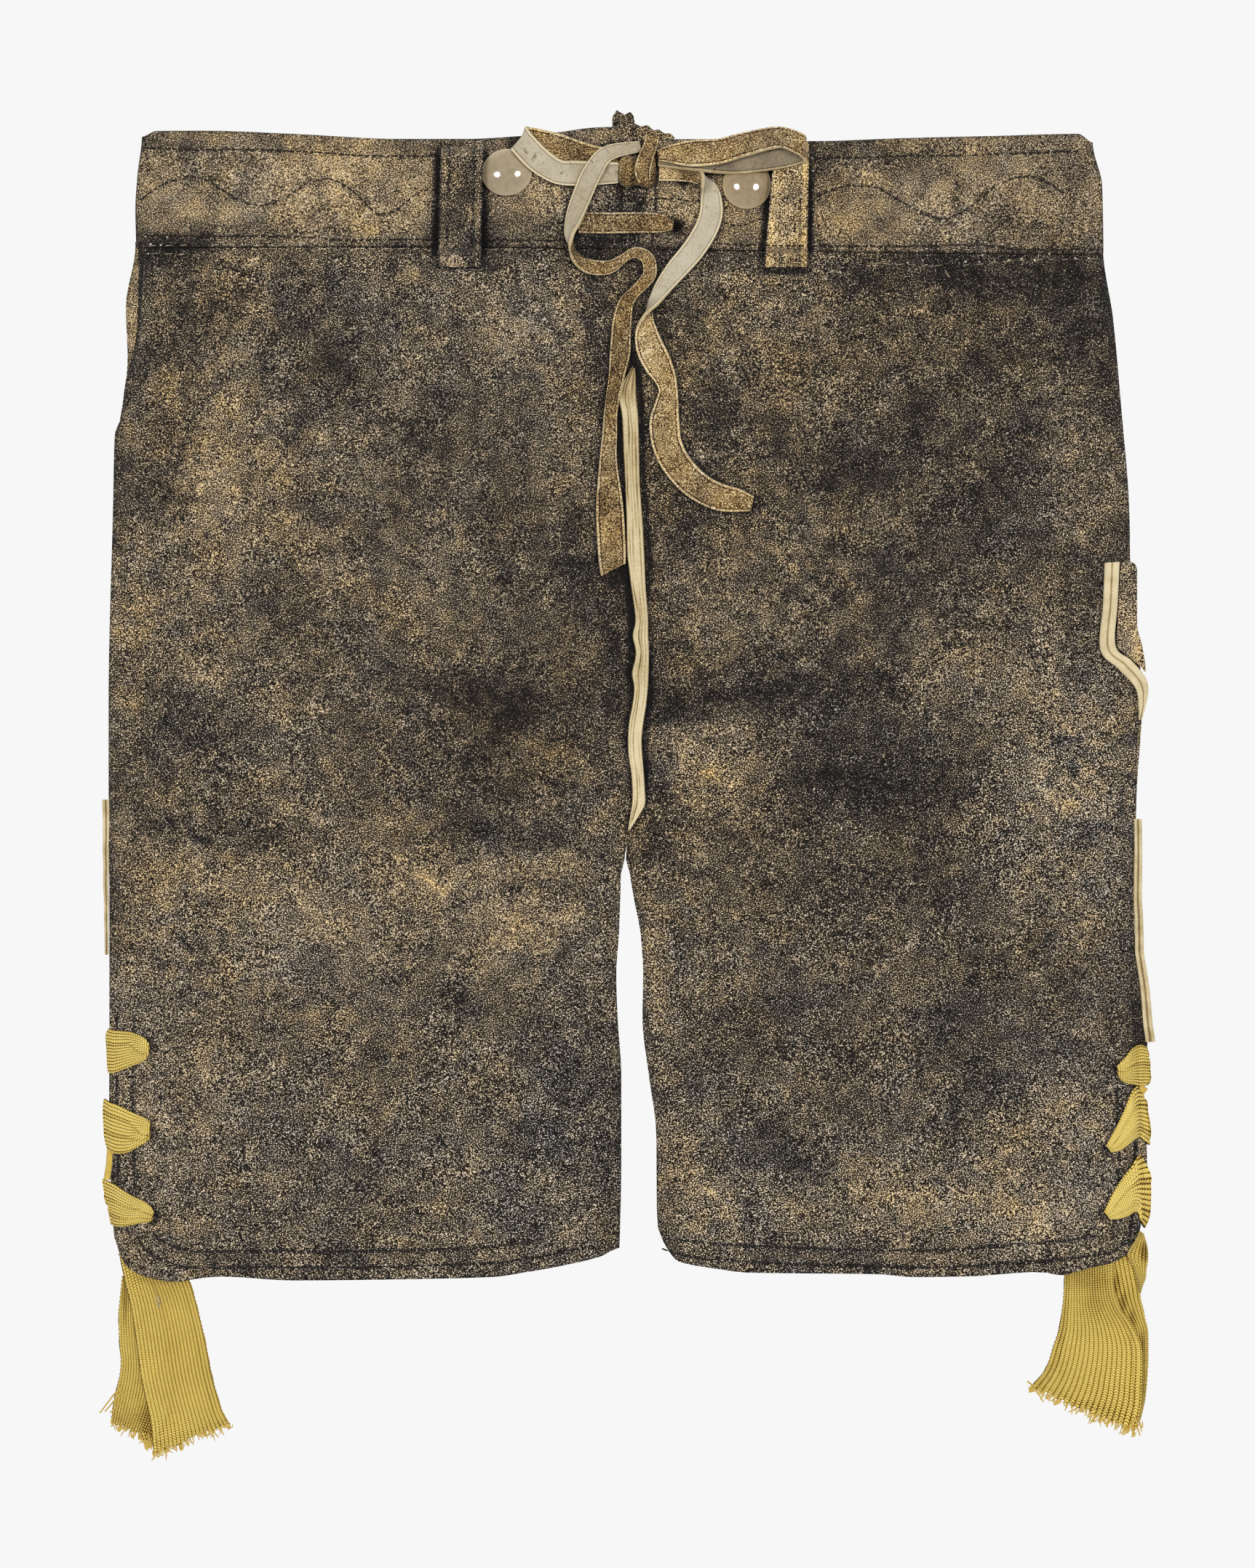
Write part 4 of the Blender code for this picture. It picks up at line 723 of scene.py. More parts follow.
class Look:
    """A procedural material, wired by short calls that return sockets."""

    def __init__(self, name, roughness, **constants):
        self.material = bpy.data.materials.new(name)
        self.material.use_nodes = True
        self.tree = self.material.node_tree
        self.shader = self.tree.nodes["Principled BSDF"]
        self.shader.inputs["Roughness"].default_value = roughness
        for key, value in constants.items():
            self.shader.inputs[key.replace("_", " ")].default_value = value
        self.where = self.tree.nodes.new("ShaderNodeTexCoord").outputs["Object"]

    def node(self, kind, settings=(), **inputs):
        made = self.tree.nodes.new(kind)
        for key, value in dict(settings).items():
            setattr(made, key, value)
        for key, value in inputs.items():
            self.feed(made.inputs[key.replace("_", " ")], value)
        return made

    def feed(self, socket, value):
        if isinstance(value, bpy.types.NodeSocket):
            self.tree.links.new(value, socket)
        else:
            socket.default_value = value

    def calc(self, operation, *values):
        made = self.tree.nodes.new("ShaderNodeMath")
        made.operation = operation
        for socket, value in zip(made.inputs, values):
            self.feed(socket, value)
        return made.outputs[0]

    def total(self, *terms):
        """Sum of sockets and (socket, factor) pairs."""
        made = 0.0
        for term in terms:
            if isinstance(term, tuple):
                made = self.calc("MULTIPLY_ADD", term[0], term[1], made)
            else:
                made = self.calc("ADD", term, made)
        return made

    def vector(self, operation, *values):
        made = self.tree.nodes.new("ShaderNodeVectorMath")
        made.operation = operation
        for socket, value in zip(made.inputs, values):
            self.feed(socket, value)
        return made.outputs[0]

    def attribute(self, name):
        return self.node("ShaderNodeAttribute", {"attribute_name": name}).outputs["Fac"]

    def noise(self, size, detail=2.0, rough=0.5, distort=0.0):
        """Noise around 0 with features of about `size` mm."""
        made = self.node("ShaderNodeTexNoise", Vector=self.where, Scale=1 / (size * MM), Detail=detail,
                         Roughness=rough, Distortion=distort)
        return self.calc("SUBTRACT", made.outputs["Fac"], 0.5)

    def ramp(self, value, stops):
        """Colour by brightness, through (brightness, display colour) stops."""
        made = self.tree.nodes.new("ShaderNodeValToRGB")
        bar = made.color_ramp.elements
        while len(bar) < len(stops):
            bar.new(0.5)
        for element, (place, colour) in zip(bar, stops):
            element.position = place
            element.color = linear(*colour)
        self.feed(made.inputs["Fac"], value)
        return made.outputs["Color"]

    def mix(self, share, first, second):
        made = self.tree.nodes.new("ShaderNodeMix")
        made.data_type = "RGBA"
        self.feed(made.inputs[0], share)
        self.feed(made.inputs[6], first)
        self.feed(made.inputs[7], second)
        return made.outputs[2]

    def paint(self, colour):
        self.feed(self.shader.inputs["Base Color"], colour)

    def bump(self, height, depth, strength=1.0, under=None):
        """Relief of `depth` mm per unit of height."""
        made = self.node("ShaderNodeBump", Height=height, Distance=depth * MM, Strength=strength)
        if under is not None:
            self.feed(made.inputs["Normal"], under)
        self.feed(self.shader.inputs["Normal"], made.outputs["Normal"])
        return made.outputs["Normal"]


SUEDE_STOPS = (
    (0.0, (16, 10, 6)), (0.2, (56, 46, 36)), (0.43, (120, 108, 90)), (0.66, (182, 166, 142)),
    (0.92, (240, 224, 200)),
)
WORN_STOPS = (
    (0.0, (18, 10, 6)), (0.2, (60, 50, 38)), (0.43, (128, 108, 82)), (0.66, (188, 168, 132)),
    (0.92, (238, 226, 200)),
)
LACE_STOPS = (
    (0.0, (20, 12, 6)), (0.22, (72, 52, 32)), (0.45, (136, 114, 78)), (0.65, (188, 166, 126)),
    (0.92, (238, 226, 198)),
)
PALE_STOPS = ((0.2, (62, 52, 42)), (0.38, (112, 98, 78)), (0.6, (170, 156, 128)), (0.82, (218, 208, 186)))
WELT_STOPS = ((0.15, (50, 42, 32)), (0.35, (104, 90, 62)), (0.6, (176, 152, 104)), (0.86, (232, 216, 176)))
BRAID_STOPS = ((0.0, (60, 32, 0)), (0.36, (140, 104, 2)), (0.62, (196, 160, 50)), (1.0, (255, 228, 128)))

WARMING = (0.12, 0.02, -0.18)    # change of linear red, green and blue for a warmth of 1


def suede(name, stops, clouds=1.0, speck=1.0, size=0.51, level=None, shine=0.15, edges=0.0, bond=3.7,
          hue=0.66):
    """Scuffed suede: tone from the piece, clouds and patches over it, and a salt-and-pepper nap."""
    look = Look(name, 0.9, Sheen_Weight=shine, Sheen_Roughness=0.5, Specular_IOR_Level=0.25)
    tone = look.attribute("tone") if level is None else level
    grain = look.attribute("grain") if level is None else 1.0
    cloud = look.noise(20, 3.6, 0.56, 0.4)
    patch = look.noise(6.6, 2.6, 0.52, 0.3)
    clump = look.noise(size * 6.0, 3.0, 0.6, 1.0)
    fibre = look.noise(size, 1.0, 0.5, 0.2)
    nap = look.total((fibre, 3.7 * speck), (clump, 0.26 * speck))
    nap = look.calc("MULTIPLY", nap, grain)
    value = look.total(tone, (cloud, 0.50 * clouds), (patch, 0.60 * clouds), nap)
    if edges:
        value = look.total(value, edge_lines(look, edges, -edges))
    middle = look.total(tone, (cloud, 0.44 * clouds), (patch, 0.66 * clouds), -0.26)
    hue = look.total((look.noise(42, 2), 1.6), (look.noise(16, 3, 0.6, 0.6), 2.2),
                     (look.noise(4.5, 3, 0.6), 1.4),
                     (middle, bond), look.attribute("warm"), hue)
    tint = look.vector("MULTIPLY_ADD", hue, WARMING, (1.0, 1.0, 1.0))
    look.paint(look.vector("MULTIPLY", look.ramp(value, stops), tint))
    soft = look.bump(patch, 0.5, 0.35)
    look.bump(nap, 0.14, 0.6, soft)
    return look.material


def edge_lines(look, bright, dark):
    """Change of brightness along a strip's edges: a cream line at the very edge and a dark one inside it."""
    rim = look.attribute("rim")
    inside = look.calc("LESS_THAN", look.calc("ABSOLUTE", look.calc("SUBTRACT", rim, 0.80)), 0.05)
    return look.total((look.calc("GREATER_THAN", rim, 0.86), bright), (inside, dark))


def tape_pale(name):
    """The pale flesh side of the lace, a little dirty."""
    look = Look(name, 0.82, Sheen_Weight=0.15, Specular_IOR_Level=0.3)
    cloud = look.noise(9, 4, 0.6)
    nap = look.noise(0.6, 3, 0.6)
    dirt = look.calc("SMOOTH_MAX", look.calc("SUBTRACT", look.noise(4.5, 5, 0.7, 1.0), 0.10), 0.0, 0.04)
    value = look.total((cloud, 0.30), (nap, 0.34), (dirt, -3.0), edge_lines(look, 0.16, -0.15),
                       look.attribute("pale"), 0.66)
    cut = look.calc("GREATER_THAN", look.attribute("rim"), 0.86)
    look.paint(look.mix(look.calc("MULTIPLY", cut, 0.8), look.ramp(value, PALE_STOPS),
                        look.ramp(value, WELT_STOPS)))
    look.bump(look.total(nap, (look.noise(3, 3), 1.2)), 0.1, 0.6)
    return look.material


def welt_leather(name, level=0.74):
    """Undyed cut edges of the leather layers, with dark lines where the layers meet."""
    look = Look(name, 0.8, Sheen_Weight=0.1, Specular_IOR_Level=0.3)
    seam = look.attribute("seam")
    value = look.total((look.noise(7, 4, 0.6), 0.22), (look.noise(0.8, 3, 0.6), 0.30), (seam, -0.40), level)
    look.paint(look.ramp(value, WELT_STOPS))
    look.bump(look.noise(0.7, 3), 0.1, 0.5)
    return look.material


def knitting(name, level=0.875):
    """Knitted braid: columns of slanting stitches that lean left and right in turn."""
    look = Look(name, 0.75, Sheen_Weight=0.12, Sheen_Roughness=0.4, Specular_IOR_Level=0.25)
    column = look.calc("DIVIDE", look.attribute("wide"), WALE)
    down = look.calc("DIVIDE", look.attribute("down"), COURSE)
    leg = look.calc("PINGPONG", look.calc("MULTIPLY", column, 2.0), 1.0)
    wobble = look.noise(3.0, 2)
    turn = look.calc("MULTIPLY", look.total(down, (leg, 0.75), (wobble, 0.5)), 2 * math.pi)
    yarn = look.calc("POWER", look.total((look.calc("SINE", turn), 0.5), 0.5), 0.7)
    valley = look.calc("POWER", look.calc("SUBTRACT", 1.0, leg), 3.0)
    height = look.calc("MULTIPLY", yarn, look.total((valley, -0.85), 1.0))
    shade = look.attribute("shade")
    # painted light on the yarn's tops and painted shade in the valleys between the columns
    value = look.total((look.calc("SUBTRACT", height, 0.46), 0.98), (valley, -0.30),
                       (look.noise(12, 3), 0.14),
                       (look.noise(2.2, 2), 0.18), (look.noise(0.4, 2), 0.2), shade, level)
    look.paint(look.ramp(value, BRAID_STOPS))
    look.bump(height, 0.4, 0.8)
    return look.material


def yarn_look(name, level=0.70):
    """Loose braid yarn, at the frayed ends."""
    look = Look(name, 0.75, Sheen_Weight=0.35, Specular_IOR_Level=0.3)
    value = look.total((look.noise(4, 3), 0.3), (look.noise(0.3, 2), 0.25), level)
    look.paint(look.ramp(value, BRAID_STOPS))
    look.bump(look.noise(0.25, 2), 0.08, 0.6)
    return look.material


def thread_look(name, colour, spread=0.25):
    """Waxed sewing thread."""
    look = Look(name, 0.6, Specular_IOR_Level=0.35)
    light = tuple(min(255, c * (1 + spread)) for c in colour)
    dark = tuple(c * (1 - spread) for c in colour)
    look.paint(look.ramp(look.total((look.noise(1.2, 3), 1.6), 0.5), ((0.2, dark), (0.8, light))))
    look.bump(look.noise(0.2, 2), 0.05, 0.5)
    return look.material


def pearl(name, level=0.50, warm=1.0):
    """Glossy shell button: cloudy grey, warmer and paler towards the rim; `warm` is the share of red."""
    look = Look(name, 0.10, Coat_Weight=0.8, Coat_Roughness=0.03, Specular_IOR_Level=0.55,
                Subsurface_Weight=0.0)
    rim = look.attribute("rim")
    swirl = look.noise(7, 4, 0.55, 2.2)
    value = look.total((look.calc("POWER", rim, 2.5), 0.10), (look.calc("POWER", rim, 14), 0.22),
                       (swirl, 0.26),
                       (look.attribute("shadow"), -0.5), level)
    stops = ((0.0, (52, 40, 26)), (0.3, (118, 104, 84)), (0.45, (152, 136, 110)), (0.6, (180, 163, 133)),
             (0.75, (208, 191, 158)), (0.9, (230, 216, 184)))
    look.paint(look.ramp(value, [(place, (r * warm, g, b / warm ** 2)) for place, (r, g, b) in stops]))
    look.bump(look.noise(5, 2), 0.15, 0.3)
    return look.material


def plain_dark(name):
    """Shadowed inside of a hole or a slit."""
    look = Look(name, 0.95, Specular_IOR_Level=0.1)
    value = look.total((look.noise(1.0, 3), 0.3), 0.1)
    look.paint(look.ramp(value, ((0.0, (12, 10, 8)), (0.4, (44, 36, 28)))))
    look.bump(look.noise(0.8, 2), 0.1, 0.5)
    return look.material


# ------------------------------------------------------------------ meshes
GROUND = []           # search trees of the pieces that later ones rest on, with their extents


def piece(name, points, faces, looks, node=(), slot="suede", kinds=None, marks=None, sharp=50, lie=True):
    """One object on the body, from points in millimetres.  `marks` are float attributes of its points."""
    points = np.asarray(points, dtype=float)
    mesh = bpy.data.meshes.new(name)
    mesh.from_pydata((seen(points) * MM).tolist(), [], faces)
    for look in looks:
        mesh.materials.append(look)
    if kinds is not None:
        mesh.polygons.foreach_set("material_index", np.asarray(kinds, dtype=np.int32))
    for key, values in (marks or {}).items():
        layer = mesh.attributes.new(key, "FLOAT", "POINT")
        layer.data.foreach_set("value", np.asarray(values, dtype=np.float32).ravel())
    mesh.shade_smooth()
    mesh.set_sharp_from_angle(angle=math.radians(sharp))
    made = bpy.data.objects.new(name, mesh)
    bpy.context.collection.objects.link(made)
    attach(made, BODY)
    if node:
        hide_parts(*([node] if isinstance(node, str) else node))
    if lie:
        tree = BVHTree.FromPolygons(points.tolist(), faces)
        GROUND.append((tree, points.min(axis=0), points.max(axis=0)))
    return made


def ground(x, y):
    """Height of the highest piece so far at a place, or 0 on the surface."""
    best = 0.0
    for tree, low, high in GROUND:
        if low[0] <= x <= high[0] and low[1] <= y <= high[1] and high[2] > best:
            hit = tree.ray_cast(Vector((x, y, 60.0)), Vector((0, 0, -1)))[0]
            if hit is not None:
                best = max(best, hit.z)
    return best


def grounds(x, y):
    """ground() for arrays of places."""
    return np.array([ground(a, b) for a, b in zip(np.ravel(x), np.ravel(y))]).reshape(np.shape(x))


def rim_faces(low, high, low_rows, low_columns):
    """Walls round two grids of point numbers, where the lower one has only some of the points."""
    walls = []

    def wall(lows, highs):
        for a, b, between in zip(lows, lows[1:], highs):
            walls.append((b, a, *between))

    rows, columns = low_rows, low_columns
    spans = [high[0, a:b + 1].tolist() for a, b in zip(columns, columns[1:])]
    wall(low[0].tolist(), spans)
    spans = [high[a:b + 1, -1].tolist() for a, b in zip(rows, rows[1:])]
    wall(low[:, -1].tolist(), spans)
    spans = [high[-1, a:b + 1].tolist()[::-1] for a, b in zip(columns, columns[1:])][::-1]
    wall(low[-1].tolist()[::-1], spans)
    spans = [high[a:b + 1, 0].tolist()[::-1] for a, b in zip(rows, rows[1:])][::-1]
    wall(low[:, 0].tolist()[::-1], spans)
    return walls


def two_sided(name, upper, lower, looks, coarse=1, marks=None, **more):
    """A closed wall between two like grids of points; rows run left to right and follow downwards.

    The lower grid keeps every `coarse`th point.  Looks are for the upper side, the underside and
    the rim, and the last one given serves for the rest.
    """
    rows, columns = upper.shape[:2]
    keep_rows = sorted({*range(0, rows, coarse), rows - 1})
    keep_columns = sorted({*range(0, columns, coarse), columns - 1})
    pick = np.ix_(keep_rows, keep_columns)
    points = np.concatenate([upper.reshape(-1, 3), lower[pick].reshape(-1, 3)])
    high = np.arange(rows * columns).reshape(rows, columns)
    low = rows * columns + np.arange(len(keep_rows) * len(keep_columns)).reshape(len(keep_rows), -1)
    top = np.stack([high[:-1, :-1], high[1:, :-1], high[1:, 1:], high[:-1, 1:]], axis=-1).reshape(-1, 4)
    base = np.stack([low[:-1, :-1], low[:-1, 1:], low[1:, 1:], low[1:, :-1]], axis=-1).reshape(-1, 4)
    rim = rim_faces(low, high, keep_rows, keep_columns)
    faces = top.tolist() + base.tolist() + rim
    last = len(looks) - 1
    kinds = [0] * len(top) + [min(1, last)] * len(base) + [min(2, last)] * len(rim)
    flat = {key: np.concatenate([np.ravel(v), np.asarray(v)[pick].ravel()])
            for key, v in (marks or {}).items()}
    return piece(name, points, faces, looks, kinds=kinds, marks=flat, **more)


def slab(name, x, y, high, low, looks, **more):
    """A closed wall over a grid of places, from the heights `low` up to `high`."""
    return two_sided(name, np.stack([x, y, high], -1), np.stack([x, y, low], -1), looks, **more)


def skin(name, middle, thickness, looks, edge=0.5, **more):
    """A sheet of `thickness` about a grid of points; its edges are thinner by the share `edge`."""
    down = np.gradient(middle, axis=0)
    across = np.gradient(middle, axis=1)
    normal = np.cross(down, across)
    normal /= np.linalg.norm(normal, axis=-1, keepdims=True) + 1e-12
    rows, columns = middle.shape[:2]
    c = np.abs(np.linspace(-1, 1, columns)) ** 8
    half = thickness / 2 * (1 - edge * c)[None, :, None] * np.ones((rows, 1, 1))
    return two_sided(name, middle + normal * half, middle - normal * half, looks, **more)


def spaced(length, step, margin, fine, start=True, end=True):
    """Shares from 0 to 1 along `length`: closer together in the margins, closest at the very edge."""
    edge = [0.0, 0.12, 0.32, 0.6, 1.0]
    count = max(1, round((margin - 1.0) / fine))
    edge += [1.0 + (margin - 1.0) * (k + 1) / count for k in range(count)]
    head = edge if start else [0.0]
    tail = [length - e for e in reversed(edge)] if end else [length]
    count = max(1, round((tail[0] - head[-1]) / step))
    middle = [head[-1] + (tail[0] - head[-1]) * k / count for k in range(1, count)]
    return np.array(head + middle + tail) / length


# ------------------------------------------------------------------ leg panels
def seam_edge(side, y):
    """x of a panel's inner edge: the seat seam above the crotch and the inner leg below it."""
    inner = along(INNER_LEFT if side < 0 else INNER_RIGHT, y)
    return np.where(y >= CROTCH_Y - 0.01, along(SEAT_SEAM, y) + side * GAP, inner)


def panel_places(side, outer, shares, downs, hem_rise=0.0, tuck=0.0, lap=0.0):
    """Places on a leg panel: shares across it from the left; downs 0 to 1 at the crotch, to 2 at the hem.

    Its top edge goes `tuck` into the waistband and its seam edge goes `lap` past the seam.
    """
    u, v = np.meshgrid(shares, downs)
    hem = HEM_LEFT if side < 0 else HEM_RIGHT
    hem_y = along(hem, u * hem[-1][0]) + hem_rise
    top_x = along(outer, 221.0) * (1 - u if side < 0 else u)
    top_y = along(BAND_FOOT, top_x) - GAP + tuck
    y = np.where(v <= 1, top_y + (CROTCH_Y - top_y) * v, CROTCH_Y + (hem_y - CROTCH_Y) * (v - 1))
    seam = seam_edge(side, y) - side * lap * swell(y - CROTCH_Y, 10)
    if side < 0:
        x = along(outer, y) * (1 - u) + seam * u
    else:
        x = seam * (1 - u) + along(outer, y) * u
    return x, y, top_y, hem_y


# Where a hem is raised over the braid, each (middle x, y, half width, half height, rise).
HEM_BULGES = ((-196, -206, 20, 14, 1.1), (200, -203, 22, 14, 1.1))


def back_panel(name, side, outer, look, edge_look, level):
    """A back panel: crowned between its seams, creased, pared at its edges."""
    shares = spaced(PANEL_WIDE, step=1.34, margin=15.0, fine=0.75)
    body = spaced(BODY_LONG, step=1.34, margin=6.0, fine=0.75, end=False)
    leg = 1 + spaced(LEG_LONG, step=1.34, margin=15.0, fine=0.75, start=False)
    x, y, top_y, hem_y = panel_places(side, outer, shares, np.concatenate([body, leg[1:]]))
    to_side = np.abs(x - along(outer, y))
    to_inner = np.abs(x - seam_edge(side, y))
    rise = CROWN * swell(to_side, CROWN_REACH) * swell(to_inner, CROWN_REACH)
    for to_end in (along(BAND_FOOT, x) - y, y - hem_y):
        rise = rise * (END_SHARE + (1 - END_SHARE) * swell(to_end, END_REACH))
    to_hem = y - hem_y
    fade = (swell(to_side, 14) * swell(to_hem, 20) * swell(top_y - y + 2, 8)
            * (0.3 + 0.7 * swell(to_inner, 14)))
    folds = creased(x, y, CREASES) * fade
    relief = folds + (0.55 * blobs(x, y, 47, 3) + 0.28 * blobs(x, y, 19, 4) + 0.12 * blobs(x, y, 8, 5)) * fade
    for bx, by, half_x, half_y, high in HEM_BULGES:
        relief = relief + high * np.exp(-(((x - bx) / half_x) ** 2 + ((y - by) / half_y) ** 2) ** 2)
    lines = LEG_STITCH_LEFT if side < 0 else LEG_STITCH_RIGHT
    groove = grooves(x, y, lines, 0.65) * (0.8 + 0.3 * blobs(x, y, 3, 8))
    eye = np.zeros(x.shape)
    for place in BRAID_EYES:
        ex, ey = at(*place)
        eye = np.maximum(eye, np.exp(-(((x - ex) ** 2 + (y - ey) ** 2) / 1.7 ** 2) ** 2))
    edge = np.minimum(to_side, to_inner)
    low = np.minimum(edge, to_hem)
    drop = 0.75 * (1 - swell(edge, 3.2)) + 0.35 * (1 - swell(low, 0.9)) + 0.25 * (1 - swell(top_y - y, 1.6))
    thick = HIDE_SKIVED + (HIDE - HIDE_SKIVED) * swell(edge, 3.0)
    bottom = np.maximum(HIDE + GAP + rise + relief - 0.15 * (1 - swell(edge, 3.0)), HIDE + 0.08)
    top = bottom + thick - drop * 0.45 - 0.32 * groove - 0.5 * eye
    tone = marked(x, y, np.full(x.shape, level))
    # painted shade in the stitch grooves and the braid's eyelets; darker at the edges, the sides and the hem
    tone = tone - 0.10 * bell(low, 1.1) - 0.32 * groove - 0.35 * eye
    tone = tone - 0.05 * bell(to_side, 6.0) - 0.06 * bell(to_hem, 7.0)
    # painted light and shade: lighter on the ridges of the relief and the creases, darker in their troughs
    tone = tone + 0.04 * np.clip(relief, -1.5, 1.5) + 0.10 * np.clip(folds, -1.2, 1.2)
    # painted shadow along the edge of the seat seam's welt
    edge_line = [(l - 2, y_px) if side < 0 else (r + 2, y_px) for l, r, y_px in SEAT_WELT]
    tone = tone - (0.34 if side < 0 else 0.20) * grooves(x, y, [edge_line], 1.25)
    made = slab("leather_" + name, x, y, top, bottom, (look, look, edge_look), coarse=5,
                marks=leather_marks(x, y, tone), node=name)
    return made


def front_panel(name, side, outer, look, edge_look):
    """A front panel, flat where it rests, with shallow creases that stand off the surface."""
    shares = spaced(PANEL_WIDE, step=2.6, margin=5.0, fine=1.0)
    body = spaced(BODY_LONG, step=2.6, margin=5.0, fine=1.0, end=False)
    leg = 1 + spaced(LEG_LONG, step=2.6, margin=5.0, fine=1.0, start=False)
    x, y, top_y, hem_y = panel_places(side, outer, shares, np.concatenate([body, leg[1:]]), hem_rise=0.5,
                                   tuck=2.4, lap=0.9 if side < 0 else 0.0)
    to_edge = np.minimum(np.abs(x - along(outer, y)), np.abs(x - seam_edge(side, y)))
    to_end = np.minimum(y - hem_y, top_y - y)
    fade = swell(to_edge - 2, 16) * swell(to_end - 2, 18)
    mirrored = creased(x + 9, y + 6, [c for c in CREASES if c[0] > 0])
    rise = np.clip(0.5 * blobs(x, y, 42, 31) + 0.25 * blobs(x, y, 17, 32) + 0.9 * mirrored, 0, 0.9) * fade
    low = np.minimum(to_edge, to_end)
    drop = 0.3 * (1 - swell(low, 1.0))
    tone = 0.37 + 0.06 * blobs(x, y, 50, 33) + 0.06 * blobs(x, y, 23, 34) + 0.05 * blobs(x, y, 11, 35)
    # darker at the edges, and painted light on the raised creases
    tone = tone - 0.10 * bell(low, 1.2) + 0.06 * rise
    # painted shadow in the gap of the right side seam
    if side > 0:
        tone = tone - 0.30 * swell(x - 206, 4) * swell(-y - 56, 10) * swell(y + 116, 4)
    made = slab("leather_" + name, x, y, HIDE + rise * 0.6 - drop, rise + 0.25 * (1 - swell(low, 1.0)),
                (look, look, edge_look), marks=leather_marks(x, y, tone), node=name)
    return made


# ------------------------------------------------------------------ waistband
# Stitching on the waistband, in pixels of the photograph.
TOP_STITCH_LEFT = ((195, 203), (270, 206), (356, 206), (444, 210), (493, 214), (560, 215), (600, 214))
TOP_STITCH_MIDDLE = ((668, 214), (700, 212), (780, 208), (846, 201))
TOP_STITCH_RIGHT = (
    (1116, 220), (1136, 217), (1193, 217), (1245, 214), (1287, 214), (1330, 214), (1364, 212), (1422, 210),
    (1482, 208),
)
WAVE_LEFT = (
    (194, 274), (220, 256), (257, 243), (282, 247), (299, 257), (319, 270), (337, 279), (359, 283),
    (379, 278), (399, 268), (419, 254), (439, 247), (456, 247), (476, 256), (496, 273), (514, 291),
    (525, 294), (543, 290), (557, 279), (570, 269), (587, 261), (604, 262),
)
WAVE_RIGHT = (
    (1120, 271), (1131, 267), (1144, 261), (1159, 257), (1180, 256), (1204, 258), (1221, 266), (1237, 276),
    (1253, 285), (1277, 297), (1299, 302), (1312, 296), (1325, 290), (1342, 279), (1354, 268), (1369, 256),
    (1386, 248), (1413, 242), (1432, 248), (1447, 255), (1461, 267),
)
FOOT_STITCH_LEFT = ((196, 324), (294, 325), (381, 325), (431, 327), (468, 330), (560, 329), (598, 329))
FOOT_STITCH_MIDDLE = ((664, 330), (740, 331), (778, 331))
FOOT_STITCH_RIGHT = (
    (984, 335), (1042, 337), (1114, 338), (1270, 339), (1301, 337), (1360, 338), (1400, 343), (1459, 343),
    (1514, 343),
)
JOIN_SEAM = ((1319, 184), (1317, 235), (1313, 267), (1308, 315), (1306, 346))
SPLIT_STITCH = ((899, 204), (901, 256), (900, 300), (894, 338))
CROSS_STITCH = ((882, 276), (900, 274), (926, 273), (955, 279))
BUTTON_STITCH = ((995, 306), (1010, 310), (1024, 309), (1036, 304), (1052, 299))
BAND_GROOVES = (
    TOP_STITCH_LEFT, TOP_STITCH_MIDDLE, TOP_STITCH_RIGHT, WAVE_LEFT, WAVE_RIGHT, FOOT_STITCH_LEFT,
    FOOT_STITCH_MIDDLE, FOOT_STITCH_RIGHT, JOIN_SEAM, SPLIT_STITCH,
)
EYELETS = ((938, 245), (931, 312))        # middles of the two eyelets, in pixels
EYELET_R = 4.6                            # millimetres to the outer ends of their stitches
HOLE_R = 2.9                              # millimetres to the edge of the hole


def band_places(top, left, right, shares, downs):
    """Places on half the waistband: shares across it from the left, downs from its top to its foot."""
    u, v = np.meshgrid(shares, downs)
    y = 268.0 * (1 - v) + 220.0 * v
    for _ in range(4):
        x = along(left, y) * (1 - u) + along(right, y) * u
        y = along(top, x) * (1 - v) + along(BAND_FOOT, x) * v
    return x, y


